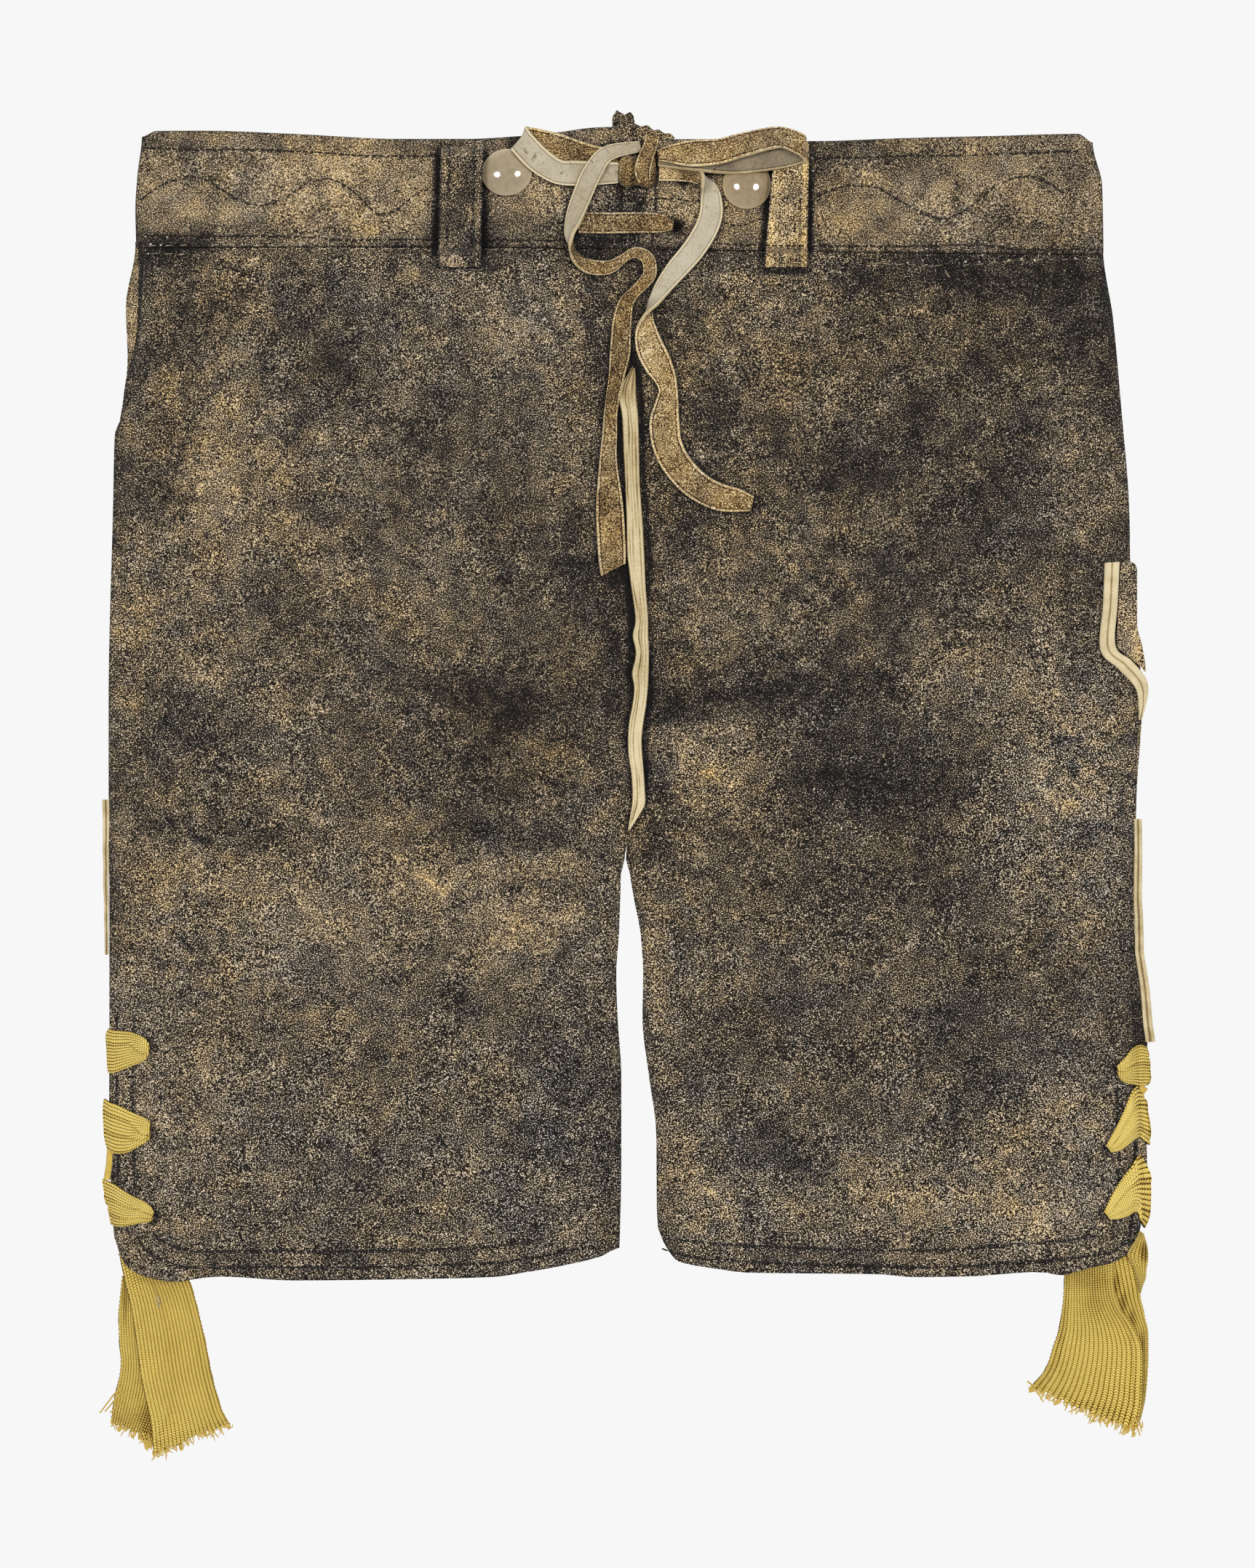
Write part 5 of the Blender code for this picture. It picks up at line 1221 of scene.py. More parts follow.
def back_band(name, side, look, edge_look):
    """Half of the back waistband: a padded strip over its top seam, stitched lines and worn edges."""
    top = BAND_TOP_LEFT if side < 0 else BAND_TOP_RIGHT
    left, right = (BAND_SIDE_LEFT, SPLIT_LEFT) if side < 0 else (SPLIT_RIGHT, BAND_SIDE_RIGHT)
    shares = spaced(195.0, step=1.05, margin=6.0, fine=0.7)
    x, y = band_places(top, left, right, shares, spaced(48.0, step=0.9, margin=5.0, fine=0.6))
    to_top = along(top, x) - y
    to_foot = y - along(BAND_FOOT, x)
    to_end = np.minimum(np.abs(x - along(left, y)), np.abs(x - along(right, y)))
    low = np.minimum(np.minimum(to_top, to_foot), to_end)
    groove = grooves(x, y, BAND_GROOVES, 0.6) * (0.75 + 0.25 * blobs(x, y, 4, 61))
    hole = np.zeros(x.shape)
    for place in EYELETS:
        ex, ey = at(*place)
        away = np.hypot((x - ex) / 0.95, y - ey)
        hole = np.maximum(hole, 1 - swell(away - HOLE_R + 0.9, 1.1))
    puff = 0.28 * swell(to_top - 0.6, 1.6) * (1 - swell(to_top - 5.8, 1.8))
    puff = puff + 0.22 * blobs(x, y, 26, 62) + 0.14 * blobs(x, y, 10, 63) + 0.06 * blobs(x, y, 4, 64)
    puff = puff * swell(low, 5)
    drop = 1.05 * rounded(low, 1.3) * np.where(to_foot < 1.3, 0.6, 1.0)
    high = BAND_LOW + BAND - 0.2 + puff * 0.75 - drop - 0.34 * groove - 2.1 * hole
    tone = marked(x, y, np.full(x.shape, LEVEL_BAND))
    # painted shade in the stitch grooves and the eyelet holes
    tone = tone - 0.20 * groove * (0.8 + 0.3 * blobs(x, y, 3, 65)) - 0.45 * hole
    tone = tone - 0.13 * bell(low, 0.9) - 0.05 * bell(to_foot, 3.0)
    # painted shadow on the band beside the belt loops
    for loop, place in ((LOOP_LEFT, 0.26), (LOOP_RIGHT, 0.22)):
        down = (LOOP_TOP - y) / LOOP_LONG
        near = np.abs(x - (loop[0][0] + (loop[1][0] - loop[0][0]) * down))
        near = np.minimum(near, np.abs(x - (loop[0][1] + (loop[1][1] - loop[0][1]) * down)))
        tone = tone - place * bell(near, 1.5) * swell(259 - y, 3)
    tone = tone - 0.04 * bell(to_top - 3.5, 3.0) + 0.05 * blobs(x, y, 12, 66) + 0.05 * blobs(x, y, 5.5, 67)
    flat = np.full(x.shape, BAND_LOW) + 0.5 * (1 - np.clip(low / 1.3, 0, 1)) * (to_foot > 1.3)
    made = slab("leather_" + name, x, y, high, flat, (look, look, edge_look), coarse=4, node=name,
                marks=leather_marks(x, y, tone))
    return made


def front_band(look, edge_look):
    """The front waistband, under the back one."""
    shares = spaced(BAND_WIDE, step=3.0, margin=5.0, fine=1.2)
    x, y = band_places([(a, b - 0.6) for a, b in BAND_TOP_LEFT[:-1] + BAND_TOP_RIGHT],
                       BAND_SIDE_LEFT, ((218, 196.0), (246, 195.6), (264, 191.6)), shares,
                       spaced(BAND_HIGH, step=3.0, margin=5.0, fine=1.2))
    to_end = np.minimum(np.abs(x - x[:, :1]), np.abs(x - x[:, -1:]))
    low = np.minimum(np.minimum(np.abs(y - y[:1]), np.abs(y - y[-1:])), to_end)
    arc = rounded(low, 1.2)
    seam = np.exp(-((np.abs(y - y[:1]) - 6.5) / 0.8) ** 2) + np.exp(-((np.abs(y - y[-1:]) - 3.6) / 0.8) ** 2)
    tone = 0.42 + 0.06 * blobs(x, y, 30, 71) + 0.06 * blobs(x, y, 12, 72) - 0.10 * arc - 0.12 * seam
    high = BAND_FRONT - 0.9 * arc
    flat = 0.5 * arc + 0.25 * seam
    made = slab("leather_waistband_front", x, y, high, flat, (look, look, edge_look),
                marks=leather_marks(x, y, tone), node="waistband_front")
    return made


def gusset(look, dark):
    """The wedge of leather in the split, with its ragged, pinked upper edge."""
    low = BAND_LOW
    foot = SPLIT_LEFT[0][0] + GAP
    tops = list(PINKED_TOP)
    ragged = []
    for (ax, ay), (bx, by) in zip(tops, tops[1:]):
        count = max(2, round(math.dist((ax, ay), (bx, by)) / 0.8))
        for k in range(count):
            t = k / count
            jag = 0.16 * math.sin(9.1 * (ax + t * 3)) if 0 < k else 0.0
            ragged.append((ax + (bx - ax) * t + jag, ay + (by - ay) * t + 0.7 * jag))
    ragged.append(tops[-1])
    columns = len(ragged)
    rows = 26
    upper = np.zeros((rows, columns, 3))
    left = SPLIT_LEFT[0][1] + GAP
    for j, (tx, ty) in enumerate(ragged):
        share = j / (columns - 1)
        x0 = left + (4.2 - GAP - left) * share
        for i in range(rows):
            v = i / (rows - 1)
            y = ty + (foot - ty) * v
            right = float(along([(a, b - GAP) for a, b in SPLIT_RIGHT], min(y, 265.4)))
            inside = left + (right - left) * share
            k = float(swell(265.9 - y, 6.0))
            x = tx * (1 - k) + inside * k
            upper[i, j] = (x if v < 1 else x0, y, 0)
    x, y = upper[..., 0], upper[..., 1]
    rim = np.zeros(x.shape)
    rim[:2] = 1
    frill = 0.5 * np.sin(x * 2.1) * swell(y - 264, 6) * (1 - rim)
    upper[..., 2] = low + GUSSET - 0.05 - 0.3 * rim + 0.25 * np.maximum(frill, 0)
    lower = upper.copy()
    lower[..., 2] = low + 0.2 * rim
    dark_strip = np.exp(-((x - left - 2.6 - 0.06 * (y - foot)) / 3.2) ** 2)
    tone = 0.13 + 0.08 * blobs(x, y, 4, 73) + 0.10 * blobs(x, y, 1.8, 74) - 0.10 * dark_strip + 0.10 * rim
    tone = tone + 0.06 * swell(x - 2.5, 2.5) * swell(y - 262, 5)
    made = two_sided("leather_gusset", upper, lower, (look, look, dark), coarse=2,
                     marks={"tone": tone, "grain": np.full(x.shape, 0.9)}, node="gusset")
    return made


def belt_loop(name, top, foot, level, warm, look, edge_look, seams):
    """A strap over the waistband: stands off it, is sewn down at both ends, and is worn at its edges."""
    base = BAND_LOW + BAND + GAP
    start, end = LOOP_RISE[0][0], LOOP_RISE[-1][0]
    ys = np.concatenate([np.linspace(start, 257.5, 12), np.linspace(256.6, 224, 34),
                         np.linspace(223.2, end, 18)])
    ts = np.array([-1, -0.985, -0.95, -0.9, *np.linspace(-0.84, 0.84, 23), 0.9, 0.95, 0.985, 1])
    t, y = np.meshgrid(ts, ys)
    down = (start - y) / (start - end)
    left = top[0] + (foot[0] - top[0]) * down
    right = top[1] + (foot[1] - top[1]) * down
    x = left + (right - left) * (t + 1) / 2
    edge = np.minimum(x - left, right - x)
    rough = 0.18 * blobs(t * 3, y, 6, 81)
    x = x + rough * np.abs(t)
    z = base + along(LOOP_RISE, y) * (BELT_ROOM + 0.25 * blobs(x, y, 9, 82))
    seam = grooves(x, y, seams, 0.5)
    round_off = 0.45 * rounded(edge, 0.9)
    ends = 0.35 * (1 - swell(start - y, 1.0)) + 0.35 * (1 - swell(y - end, 1.0))
    high = z + LOOP_STRAP + 0.12 * blobs(x, y, 4, 83) - round_off - ends - 0.3 * seam
    worn = bell(edge - 1.7, 1.3)
    tone = level + 0.15 * worn - 0.22 * bell(edge, 0.45) + 0.06 * blobs(x, y, 5, 84)
    # the seam term is painted shade in the stitch grooves
    tone = tone + 0.07 * blobs(x, y, 9, 85) - 0.20 * seam - 0.10 * (1 - swell(start - y, 3)) * (level > 0.4)
    if level < 0.4:
        patch = np.hypot((x - (foot[0] + foot[1]) / 2 + 1.2) / 5.2, (y - end + 1.5) / 7.5)
        tone = tone + 0.28 * (1 - swell(patch - 0.8, 0.35)) - 0.10 * bell(patch - 1.0, 0.12)
    made = slab("leather_" + name, x, y, high, z + 0.3 * round_off, (look, look, edge_look), coarse=2,
                node=name,
                marks={"tone": tone, "grain": np.full(x.shape, 0.85), "warm": np.full(x.shape, warm)})
    return made


# ------------------------------------------------------------------ buttons
BUTTON_SIDE = (
    (1.0, 0.10), (0.997, 0.15), (0.985, 0.21), (0.96, 0.275), (0.925, 0.345), (0.88, 0.42), (0.82, 0.51),
    (0.75, 0.60), (0.67, 0.69), (0.58, 0.775), (0.48, 0.85), (0.38, 0.91), (0.28, 0.955), (0.18, 0.982),
    (0.09, 0.996), (0.03, 1.0),
)


def brace_button(name, middle, look, turn, oval, covered):
    """A domed shell button; the section runs from its rim to its crown.

    Lace that lies over its top shades `covered` millimetres of it.
    """
    mx, my = middle
    low = BAND_LOW + BAND + GAP
    sides = BUTTON_SIDES
    rings = [(0.90, 0.0), (0.975, 0.035), (1.0, 0.10), *BUTTON_SIDE[1:]]
    points = [(mx, my, low)]
    rims = [0.0]
    for share, high in rings:
        for s in range(sides):
            angle = 2 * math.pi * s / sides
            a = BUTTON_R * share * math.cos(angle) * oval
            b = BUTTON_R * share * math.sin(angle) / oval
            c, d = math.cos(turn), math.sin(turn)
            points.append((mx + a * c - b * d, my + a * d + b * c, low + BUTTON_HIGH * BUTTON_DOME * high))
            rims.append(share)
    points.append((mx, my, low + BUTTON_HIGH * BUTTON_DOME))
    rims.append(0.0)
    last = len(points) - 1
    faces = [(0, 1 + (s + 1) % sides, 1 + s) for s in range(sides)]
    for r in range(len(rings) - 1):
        for s in range(sides):
            a = 1 + r * sides + s
            b = 1 + r * sides + (s + 1) % sides
            faces.append((a, b, b + sides, a + sides))
    start = 1 + (len(rings) - 1) * sides
    faces += [(last, start + s, start + (s + 1) % sides) for s in range(sides)]
    shadow = [float(swell(y - (my + BUTTON_R - covered), 1.6)) for _, y, _ in points]
    return piece("pearl_" + name, points, faces, (look,), node=name, slot="pearl", sharp=60,
                 marks={"rim": rims, "shadow": shadow})


# ------------------------------------------------------------------ seams and pocket
def seat_welt(look):
    """Four raw edges of leather that stand in the seat seam, with dark lines between them."""
    rows = through([(*at(l, y), *at(r, y)) for l, r, y in SEAT_WELT], 0.9)
    shares = np.array([-1, -0.985, -0.95, -0.9, *np.linspace(-0.86, 0.86, 37), 0.9, 0.95, 0.985, 1])
    t = np.broadcast_to(shares, (len(rows), len(shares)))
    y = np.broadcast_to(rows[:, 1:2], t.shape)
    x = rows[:, 0:1] * (1 - t) / 2 + rows[:, 2:3] * (1 + t) / 2
    width = (rows[:, 2] - rows[:, 0])[:, None]
    base = grounds(x[::4], y[::4]).max(axis=1)
    base = np.interp(np.arange(len(rows)), np.arange(0, len(rows), 4), base)
    base = np.convolve(np.pad(base, 4, mode="edge"), np.ones(9) / 9, "valid")[:, None]
    layer = np.zeros(x.shape)
    for place, strong in ((-0.62, 0.9), (-0.22, 1.2), (0.14, 0.6), (0.55, 0.9)):
        wander = place + 0.10 * blobs(y * 0 + place * 50, y, 8, 93)
        broken = 0.6 + 0.8 * blobs(y * 0 + place * 90, y, 11, 96)
        line = bell((t - wander) * width / 2, 0.24)
        layer = np.maximum(layer, line * strong * np.clip(broken, 0, 1.2))
    step = 0.16 * np.sin((t * 2 + 0.4) * 2.4) + 0.2 * blobs(x * 3, y, 5, 94)
    round_off = 0.9 * np.clip((np.abs(t) - 0.8) / 0.2, 0, 1) ** 2
    high = base + WELT_HIGH - 0.55 + step * 0.8 - 0.5 * layer - round_off
    tone = np.clip(layer * (0.8 + 0.5 * blobs(x, y, 5, 95)), 0, 1)
    tone = tone + 0.5 * np.clip((np.abs(t) - 0.93) / 0.07, 0, 1)
    tone = tone + 0.35 * swell(y - 152, 12) - 0.2 * swell(50 - y, 14)
    # darker along the left edge: painted shadow
    tone = tone + 0.5 * bell(t + 0.95, 0.06) + 0.12 * blobs(x, y, 14, 97)
    flat = np.broadcast_to(base + 0.02, x.shape)
    return slab("welt_seat_seam", x, y, high, flat, (look,), coarse=3,
                marks={"seam": tone}, node="seat_seam_welt", slot="welt")


def side_piping(name, table, half, look, seed):
    """Two raw edges that show in a side seam, outside the panels' own edges.

    `half` gives half its width at its two ends.
    """
    ys = np.linspace(table[0][0], table[-1][0], 90)
    shares = np.array([-1, -0.9, *np.linspace(-0.7, 0.7, 9), 0.9, 1])
    t, y = np.meshgrid(shares, ys)
    wide = np.interp(-y, (-table[0][0], -table[-1][0]), half)
    x = along(table, y) + t * wide + 0.25 * blobs(y * 0, y, 7, seed)
    layer = bell(t, 0.2)
    high = GAP + 2.3 - 0.5 * layer - 0.5 * np.clip((np.abs(t) - 0.7) / 0.3, 0, 1) ** 2
    high = high + 0.15 * blobs(x * 3, y, 5, seed + 1)
    flat = np.full(x.shape, GAP + 0.05)
    return slab("welt_" + name, x, y, high, flat, (look,), node=name, slot="welt",
                marks={"seam": layer * 0.9 + 0.2 * blobs(x, y, 4, seed + 2)})


def knife_pocket(look, edge_look, welt_look):
    """The knife pocket on the side of the right leg, and the pale welt of two raw edges before it."""
    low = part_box("knife_pocket")[0][2] / MM
    ys = spaced(POCKET_LONG, step=0.9, margin=4.0, fine=0.6) * POCKET_LONG
    shares = np.linspace(0, 1, 15)
    u, away = np.meshgrid(shares, ys)
    y = POCKET_TOP - away
    left, right = along(POCKET_LEFT, y), along(POCKET_RIGHT, y)
    x = left * (1 - u) + right * u
    edge = np.minimum(np.minimum(x - left, right - x), np.minimum(POCKET_TOP - y, y - POCKET_FOOT))
    round_off = 0.6 * rounded(edge, 1.2)
    scuff = np.exp(-(((x - 209.6) / 3.4) ** 2 + ((y - 54.6) / 10.0) ** 2))
    tone = 0.33 + 0.34 * scuff * (0.8 + 0.5 * blobs(x, y, 2.2, 101)) + 0.07 * blobs(x, y, 6, 102)
    high = low + 1.8 - round_off + 0.15 * blobs(x, y, 6, 103)
    made = slab("leather_knife_pocket", x, y, high, np.full(x.shape, low), (look, look, edge_look), coarse=2,
                marks={"tone": tone, "grain": np.full(x.shape, 1.1)}, node="knife_pocket")
    rows = through([(*a, *b) for a, b in POCKET_WELT], 0.9)
    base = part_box("knife_pocket_welt")[0][2] / MM
    t = np.array([0, 0.03, 0.08, *np.linspace(0.14, 0.86, 13), 0.92, 0.97, 1])[None, :]
    x, y = between_pairs(rows, t)
    wide = np.hypot(rows[:, 2] - rows[:, 0], rows[:, 3] - rows[:, 1])[:, None]
    layer = np.exp(-((t - 0.52) * wide / 0.26) ** 2)
    round_off = 0.7 * np.clip((np.abs(t - 0.5) * 2 - 0.75) / 0.25, 0, 1) ** 2
    high = base + POCKET_WELT_HIGH - 0.15 - round_off - 0.45 * layer + 0.15 * blobs(x * 2, y, 5, 104)
    flat = np.full(x.shape, base)
    return slab("welt_knife_pocket", x, y, high, flat, (welt_look,), coarse=2,
                marks={"seam": layer + 0.15 * blobs(x, y, 4, 105)}, node="knife_pocket_welt", slot="welt")


# ------------------------------------------------------------------ thread
# Stitching on the legs, in pixels of the photograph.
SADDLE_LEFT = (
    (196, 338), (270, 337), (344, 337), (419, 340), (500, 342), (560, 342), (598, 341),
)
SADDLE_LEFT_LOW = ((200, 348), (262, 350), (292, 350))
SADDLE_MIDDLE = ((668, 343), (739, 343), (778, 339))
SADDLE_RIGHT = (
    (1118, 361), (1180, 361), (1248, 364), (1301, 365), (1350, 363), (1398, 358), (1447, 357), (1514, 356),
)
HEM_LEFT_LOW = (
    (189, 1700), (200, 1718), (222, 1732), (262, 1743), (300, 1743), (360, 1742), (440, 1743), (520, 1742),
    (600, 1740), (680, 1737), (740, 1728), (800, 1716),
)
HEM_LEFT_HIGH = (
    (208, 1694), (226, 1709), (262, 1720), (300, 1721), (360, 1720), (440, 1721), (520, 1720), (600, 1718),
    (680, 1714), (740, 1705),
)
HEM_RIGHT_LOW = (
    (908, 1716), (945, 1728), (1000, 1733), (1080, 1737), (1160, 1740), (1240, 1742), (1310, 1742),
    (1380, 1737), (1450, 1732), (1518, 1724), (1536, 1716), (1553, 1704),
)
HEM_RIGHT_HIGH = (
    (930, 1704), (1000, 1711), (1080, 1715), (1160, 1718), (1240, 1719), (1310, 1718), (1380, 1712),
    (1450, 1707), (1512, 1699),
)
VENT_LEFT = (
    ((161, 1400), (160, 1500), (162, 1600), (166, 1660), (176, 1694)),
    ((184, 1398), (183, 1480), (184, 1580), (186, 1640), (194, 1676)),
)
VENT_RIGHT = (
    ((1557, 1440), (1560, 1500), (1560, 1590), (1558, 1650), (1552, 1700)),
    ((1535, 1500), (1537, 1560), (1537, 1620), (1530, 1690)),
)
SIDE_STITCH_LEFT = ((196, 352), (193, 400), (191, 440), (187, 476))
LEG_STITCH_LEFT = (HEM_LEFT_LOW, HEM_LEFT_HIGH, *VENT_LEFT, SIDE_STITCH_LEFT)
LEG_STITCH_RIGHT = (HEM_RIGHT_LOW, HEM_RIGHT_HIGH, *VENT_RIGHT)
BRAID_EYES = ((204, 1437), (208, 1558), (212, 1671), (1534, 1470), (1521, 1580), (1517, 1670))
THREADS_DARK = (
    TOP_STITCH_LEFT, TOP_STITCH_MIDDLE, TOP_STITCH_RIGHT, WAVE_LEFT, WAVE_RIGHT, FOOT_STITCH_LEFT,
    FOOT_STITCH_MIDDLE, FOOT_STITCH_RIGHT, SPLIT_STITCH, CROSS_STITCH, BUTTON_STITCH, *LEG_STITCH_LEFT,
    *LEG_STITCH_RIGHT,
)
THREADS_LOOSE = (
    ((216, 1781), (215, 1787), (217, 1793), (219, 1800)), ((218, 1783), (220, 1790), (217, 1797)),
    ((1299, 371), (1302, 377), (1305, 381)), ((807, 500), (812, 497), (817, 500)),
    ((1210, 1492), (1212, 1500)),
)
THREADS_PALE = (SADDLE_LEFT, SADDLE_LEFT_LOW, SADDLE_MIDDLE, SADDLE_RIGHT)


def tube(path, radius, sides=5):
    """Points and faces of a closed thin tube along points; `radius` may change along it."""
    path = np.asarray(path, dtype=float)
    ahead = np.gradient(path, axis=0)
    ahead /= np.linalg.norm(ahead, axis=1, keepdims=True) + 1e-12
    up = np.array([0.0, 0.0, 1.0])
    aside = np.cross(ahead, up)
    aside /= np.linalg.norm(aside, axis=1, keepdims=True) + 1e-9
    above = np.cross(aside, ahead)
    radius = np.broadcast_to(radius, (len(path),))
    turns = 2 * np.pi * np.arange(sides) / sides
    ring = (aside[:, None] * np.cos(turns)[None, :, None] + above[:, None] * np.sin(turns)[None, :, None])
    points = (path[:, None] + ring * radius[:, None, None]).reshape(-1, 3)
    faces = [tuple(range(sides))[::-1], tuple(range(len(points) - sides, len(points)))]
    for r in range(len(path) - 1):
        for s in range(sides):
            a = r * sides + s
            b = r * sides + (s + 1) % sides
            faces.append((a, b, b + sides, a + sides))
    return points, faces


def joined(parts):
    """One set of points and faces from several."""
    points = []
    faces = []
    start = 0
    for some, more in parts:
        points.append(some)
        faces += [tuple(i + start for i in face) for face in more]
        start += len(some)
    return np.concatenate(points), faces


def stitch_rows(lines, length, gap, radius, seed, sink=0.1, slant=0.0):
    """Stitches along lines of pixels, resting on the leather, with their ends pulled into it."""
    random = np.random.default_rng(seed)
    parts = []
    for line in lines:
        way = pixels(line, 0.4)
        gone = run_lengths(way)
        start = random.uniform(0, gap)
        while start + length < gone[-1]:
            size = length * random.uniform(0.75, 1.15)
            lean = slant * random.uniform(0.5, 1.5)
            t = np.linspace(start, start + size, 6)
            x = np.interp(t, gone, way[:, 0])
            y = np.interp(t, gone, way[:, 1]) + lean * (np.linspace(-0.5, 0.5, 6))
            z = grounds(x, y)
            arch = np.array([-0.5, 0.05, 0.3, 0.3, 0.05, -0.5]) * radius * 1.6 - sink
            path = np.stack([x, y, np.maximum(z, z.mean() - 0.2) + arch], -1)
            thin = radius * np.array([0.55, 0.95, 1.0, 1.0, 0.95, 0.55])
            if random.uniform() > 0.06:
                parts.append(tube(path, thin))
            start += size + gap * random.uniform(0.7, 1.3)
    return parts


def eyelet_stitches(place, radius_in, radius_out, count, seed, first=0.0, last=2 * math.pi, thick=0.2):
    """Buttonhole stitches that run out from a hole."""
    random = np.random.default_rng(seed)
    mx, my = at(*place)
    parts = []
    for k in range(count):
        angle = first + (last - first) * (k + random.uniform(-0.15, 0.15)) / count
        t = np.linspace(radius_in, radius_out * random.uniform(0.9, 1.1), 6)
        x = mx + t * math.cos(angle)
        y = my + t * math.sin(angle)
        z = grounds(x, y) + np.array([-0.1, 0.2, 0.25, 0.2, 0.1, -0.15]) * 0.8
        z = np.maximum.accumulate(z[::-1])[::-1] * 0.4 + z * 0.6
        parts.append(tube(np.stack([x, y, z], -1), thick))
    return parts


# Painted shadow inside the two eyelets that show: (middle x, y, half width, half height, in pixels).
HOLE_SHADES = ((935, 312, 10, 11), (936, 249, 8, 5))


def hole_shade_disc(px, py, half_x, half_y):
    """A thin dark oval that lies in an eyelet: painted shadow for its inside."""
    x, y = at(px, py)
    z = ground(x, y) + 0.12
    turns = np.arange(24) * math.pi / 12
    ring = np.stack([x + half_x * PX * np.cos(turns), y + half_y * PX * np.sin(turns), np.full(24, z)], -1)
    foot = ring - np.array([0, 0, 0.4])
    faces = [tuple(range(24)), tuple(range(47, 23, -1))]
    faces += [(s, 24 + s, 24 + (s + 1) % 24, (s + 1) % 24) for s in range(24)]
    return np.concatenate([ring, foot]), faces


def specks(name, places, look, least, most):
    """Small pale grains on the leather."""
    random = np.random.default_rng(5)
    parts = []
    for px, py in places:
        x, y = at(px, py)
        z = ground(x, y)
        size = random.uniform(least, most)
        ring = [(x + size * math.cos(a) * 1.2, y + size * math.sin(a), z - 0.05)
                for a in np.arange(6) * math.pi / 3]
        top = [(x + size * 0.6 * math.cos(a), y + size * 0.6 * math.sin(a), z + size * 0.55)
               for a in np.arange(6) * math.pi / 3]
        faces = [tuple(range(6))[::-1], tuple(range(6, 12))]
        faces += [(s, (s + 1) % 6, 6 + (s + 1) % 6, 6 + s) for s in range(6)]
        parts.append((np.array(ring + top), faces))
    points, faces = joined(parts)
    return piece(name, points, faces, (look,), lie=False)


# ------------------------------------------------------------------ lace
LACE_SHARES = np.array([-1, -0.96, -0.86, -0.7, -0.5, -0.25, 0, 0.25, 0.5, 0.7, 0.86, 0.96, 1])


def envelope(heights, places, climb):
    """Lowest heights over the given ones that rise and fall by at most `climb` a millimetre."""
    return np.max(heights[None, :] - climb * np.abs(places[:, None] - places[None, :]), axis=1)


def smoothed(values, reach):
    """Values averaged with their neighbours."""
    kernel = np.hanning(2 * reach + 3)[1:-1]
    kernel /= kernel.sum()
    return np.convolve(np.pad(values, reach, mode="edge"), kernel, "valid")


def strip(run, extra=0.0, climb=0.45, soften=5, step=1.0, slant=0.0, wave=0.25, seed=1, cupped=0.10):
    """Middle surface of a lace run: sections across its (x, y, width, roll) path, lying on the ground.

    Its last end is cut aslant: one edge is `slant` mm longer than the other.
    """
    rows = through(run, step)
    places = run_lengths(rows[:, :2])
    ahead = np.gradient(rows[:, :2], axis=0)
    ahead /= np.linalg.norm(ahead, axis=1, keepdims=True) + 1e-12
    aside = np.stack([-ahead[:, 1], ahead[:, 0]], -1)
    angle = rows[:, 3] * math.pi
    half = rows[:, 2] / 2 * (1 + 0.35 * np.sin(angle) ** 2)
    reach = half * np.maximum(np.abs(np.cos(angle)), 0.35)
    t = np.linspace(-1, 1, 7)
    x = rows[:, 0:1] + aside[:, 0:1] * reach[:, None] * t
    y = rows[:, 1:2] + aside[:, 1:2] * reach[:, None] * t
    under = np.maximum(grounds(x, y), 0.0)
    right, left = under[:, :4].max(axis=1), under[:, 3:].max(axis=1)
    right = smoothed(envelope(right, places, climb), soften)
    left = smoothed(envelope(left, places, climb), soften)
    for _ in range(3):
        line = right[:, None] + (left - right)[:, None] * (t + 1) / 2
        short = np.maximum(under - line, 0)
        right = right + smoothed(short[:, :4].max(axis=1), 2)
        left = left + smoothed(short[:, 3:].max(axis=1), 2)
    rise = LACE / 2 + extra + 0.1 + wave * (0.5 + 0.5 * blobs(places, places * 0, 14, seed))
    stand = np.abs(np.sin(angle)) * half * 0.72
    t = LACE_SHARES
    cos, sin = np.cos(angle)[:, None], np.sin(angle)[:, None]
    cup = half[:, None] * (cupped + 0.40 * np.abs(sin)) * (t ** 2 - 0.4)
    over = half[:, None] * t
    level = cos * over - sin * cup
    lift = sin * over + cos * cup * np.where(np.abs(cos) > 0.5, np.sign(cos), 1)
    tilt = (left - right)[:, None] / 2 * (level / np.maximum(reach[:, None], 0.1)).clip(-1, 1)
    z = ((left + right) / 2 + rise + stand)[:, None] + tilt + lift
    late = swell(places - places[-1] + 9, 9)[:, None] * t * slant / 2
    x = rows[:, 0:1] + aside[:, 0:1] * level + ahead[:, 0:1] * late
    y = rows[:, 1:2] + aside[:, 1:2] * level + ahead[:, 1:2] * late
    surface = np.stack([x, y, z], -1)
    floor = grounds(x, y) + LACE * 0.5
    surface[..., 2] = np.maximum(z, np.minimum(floor, z + 1.5))
    return surface


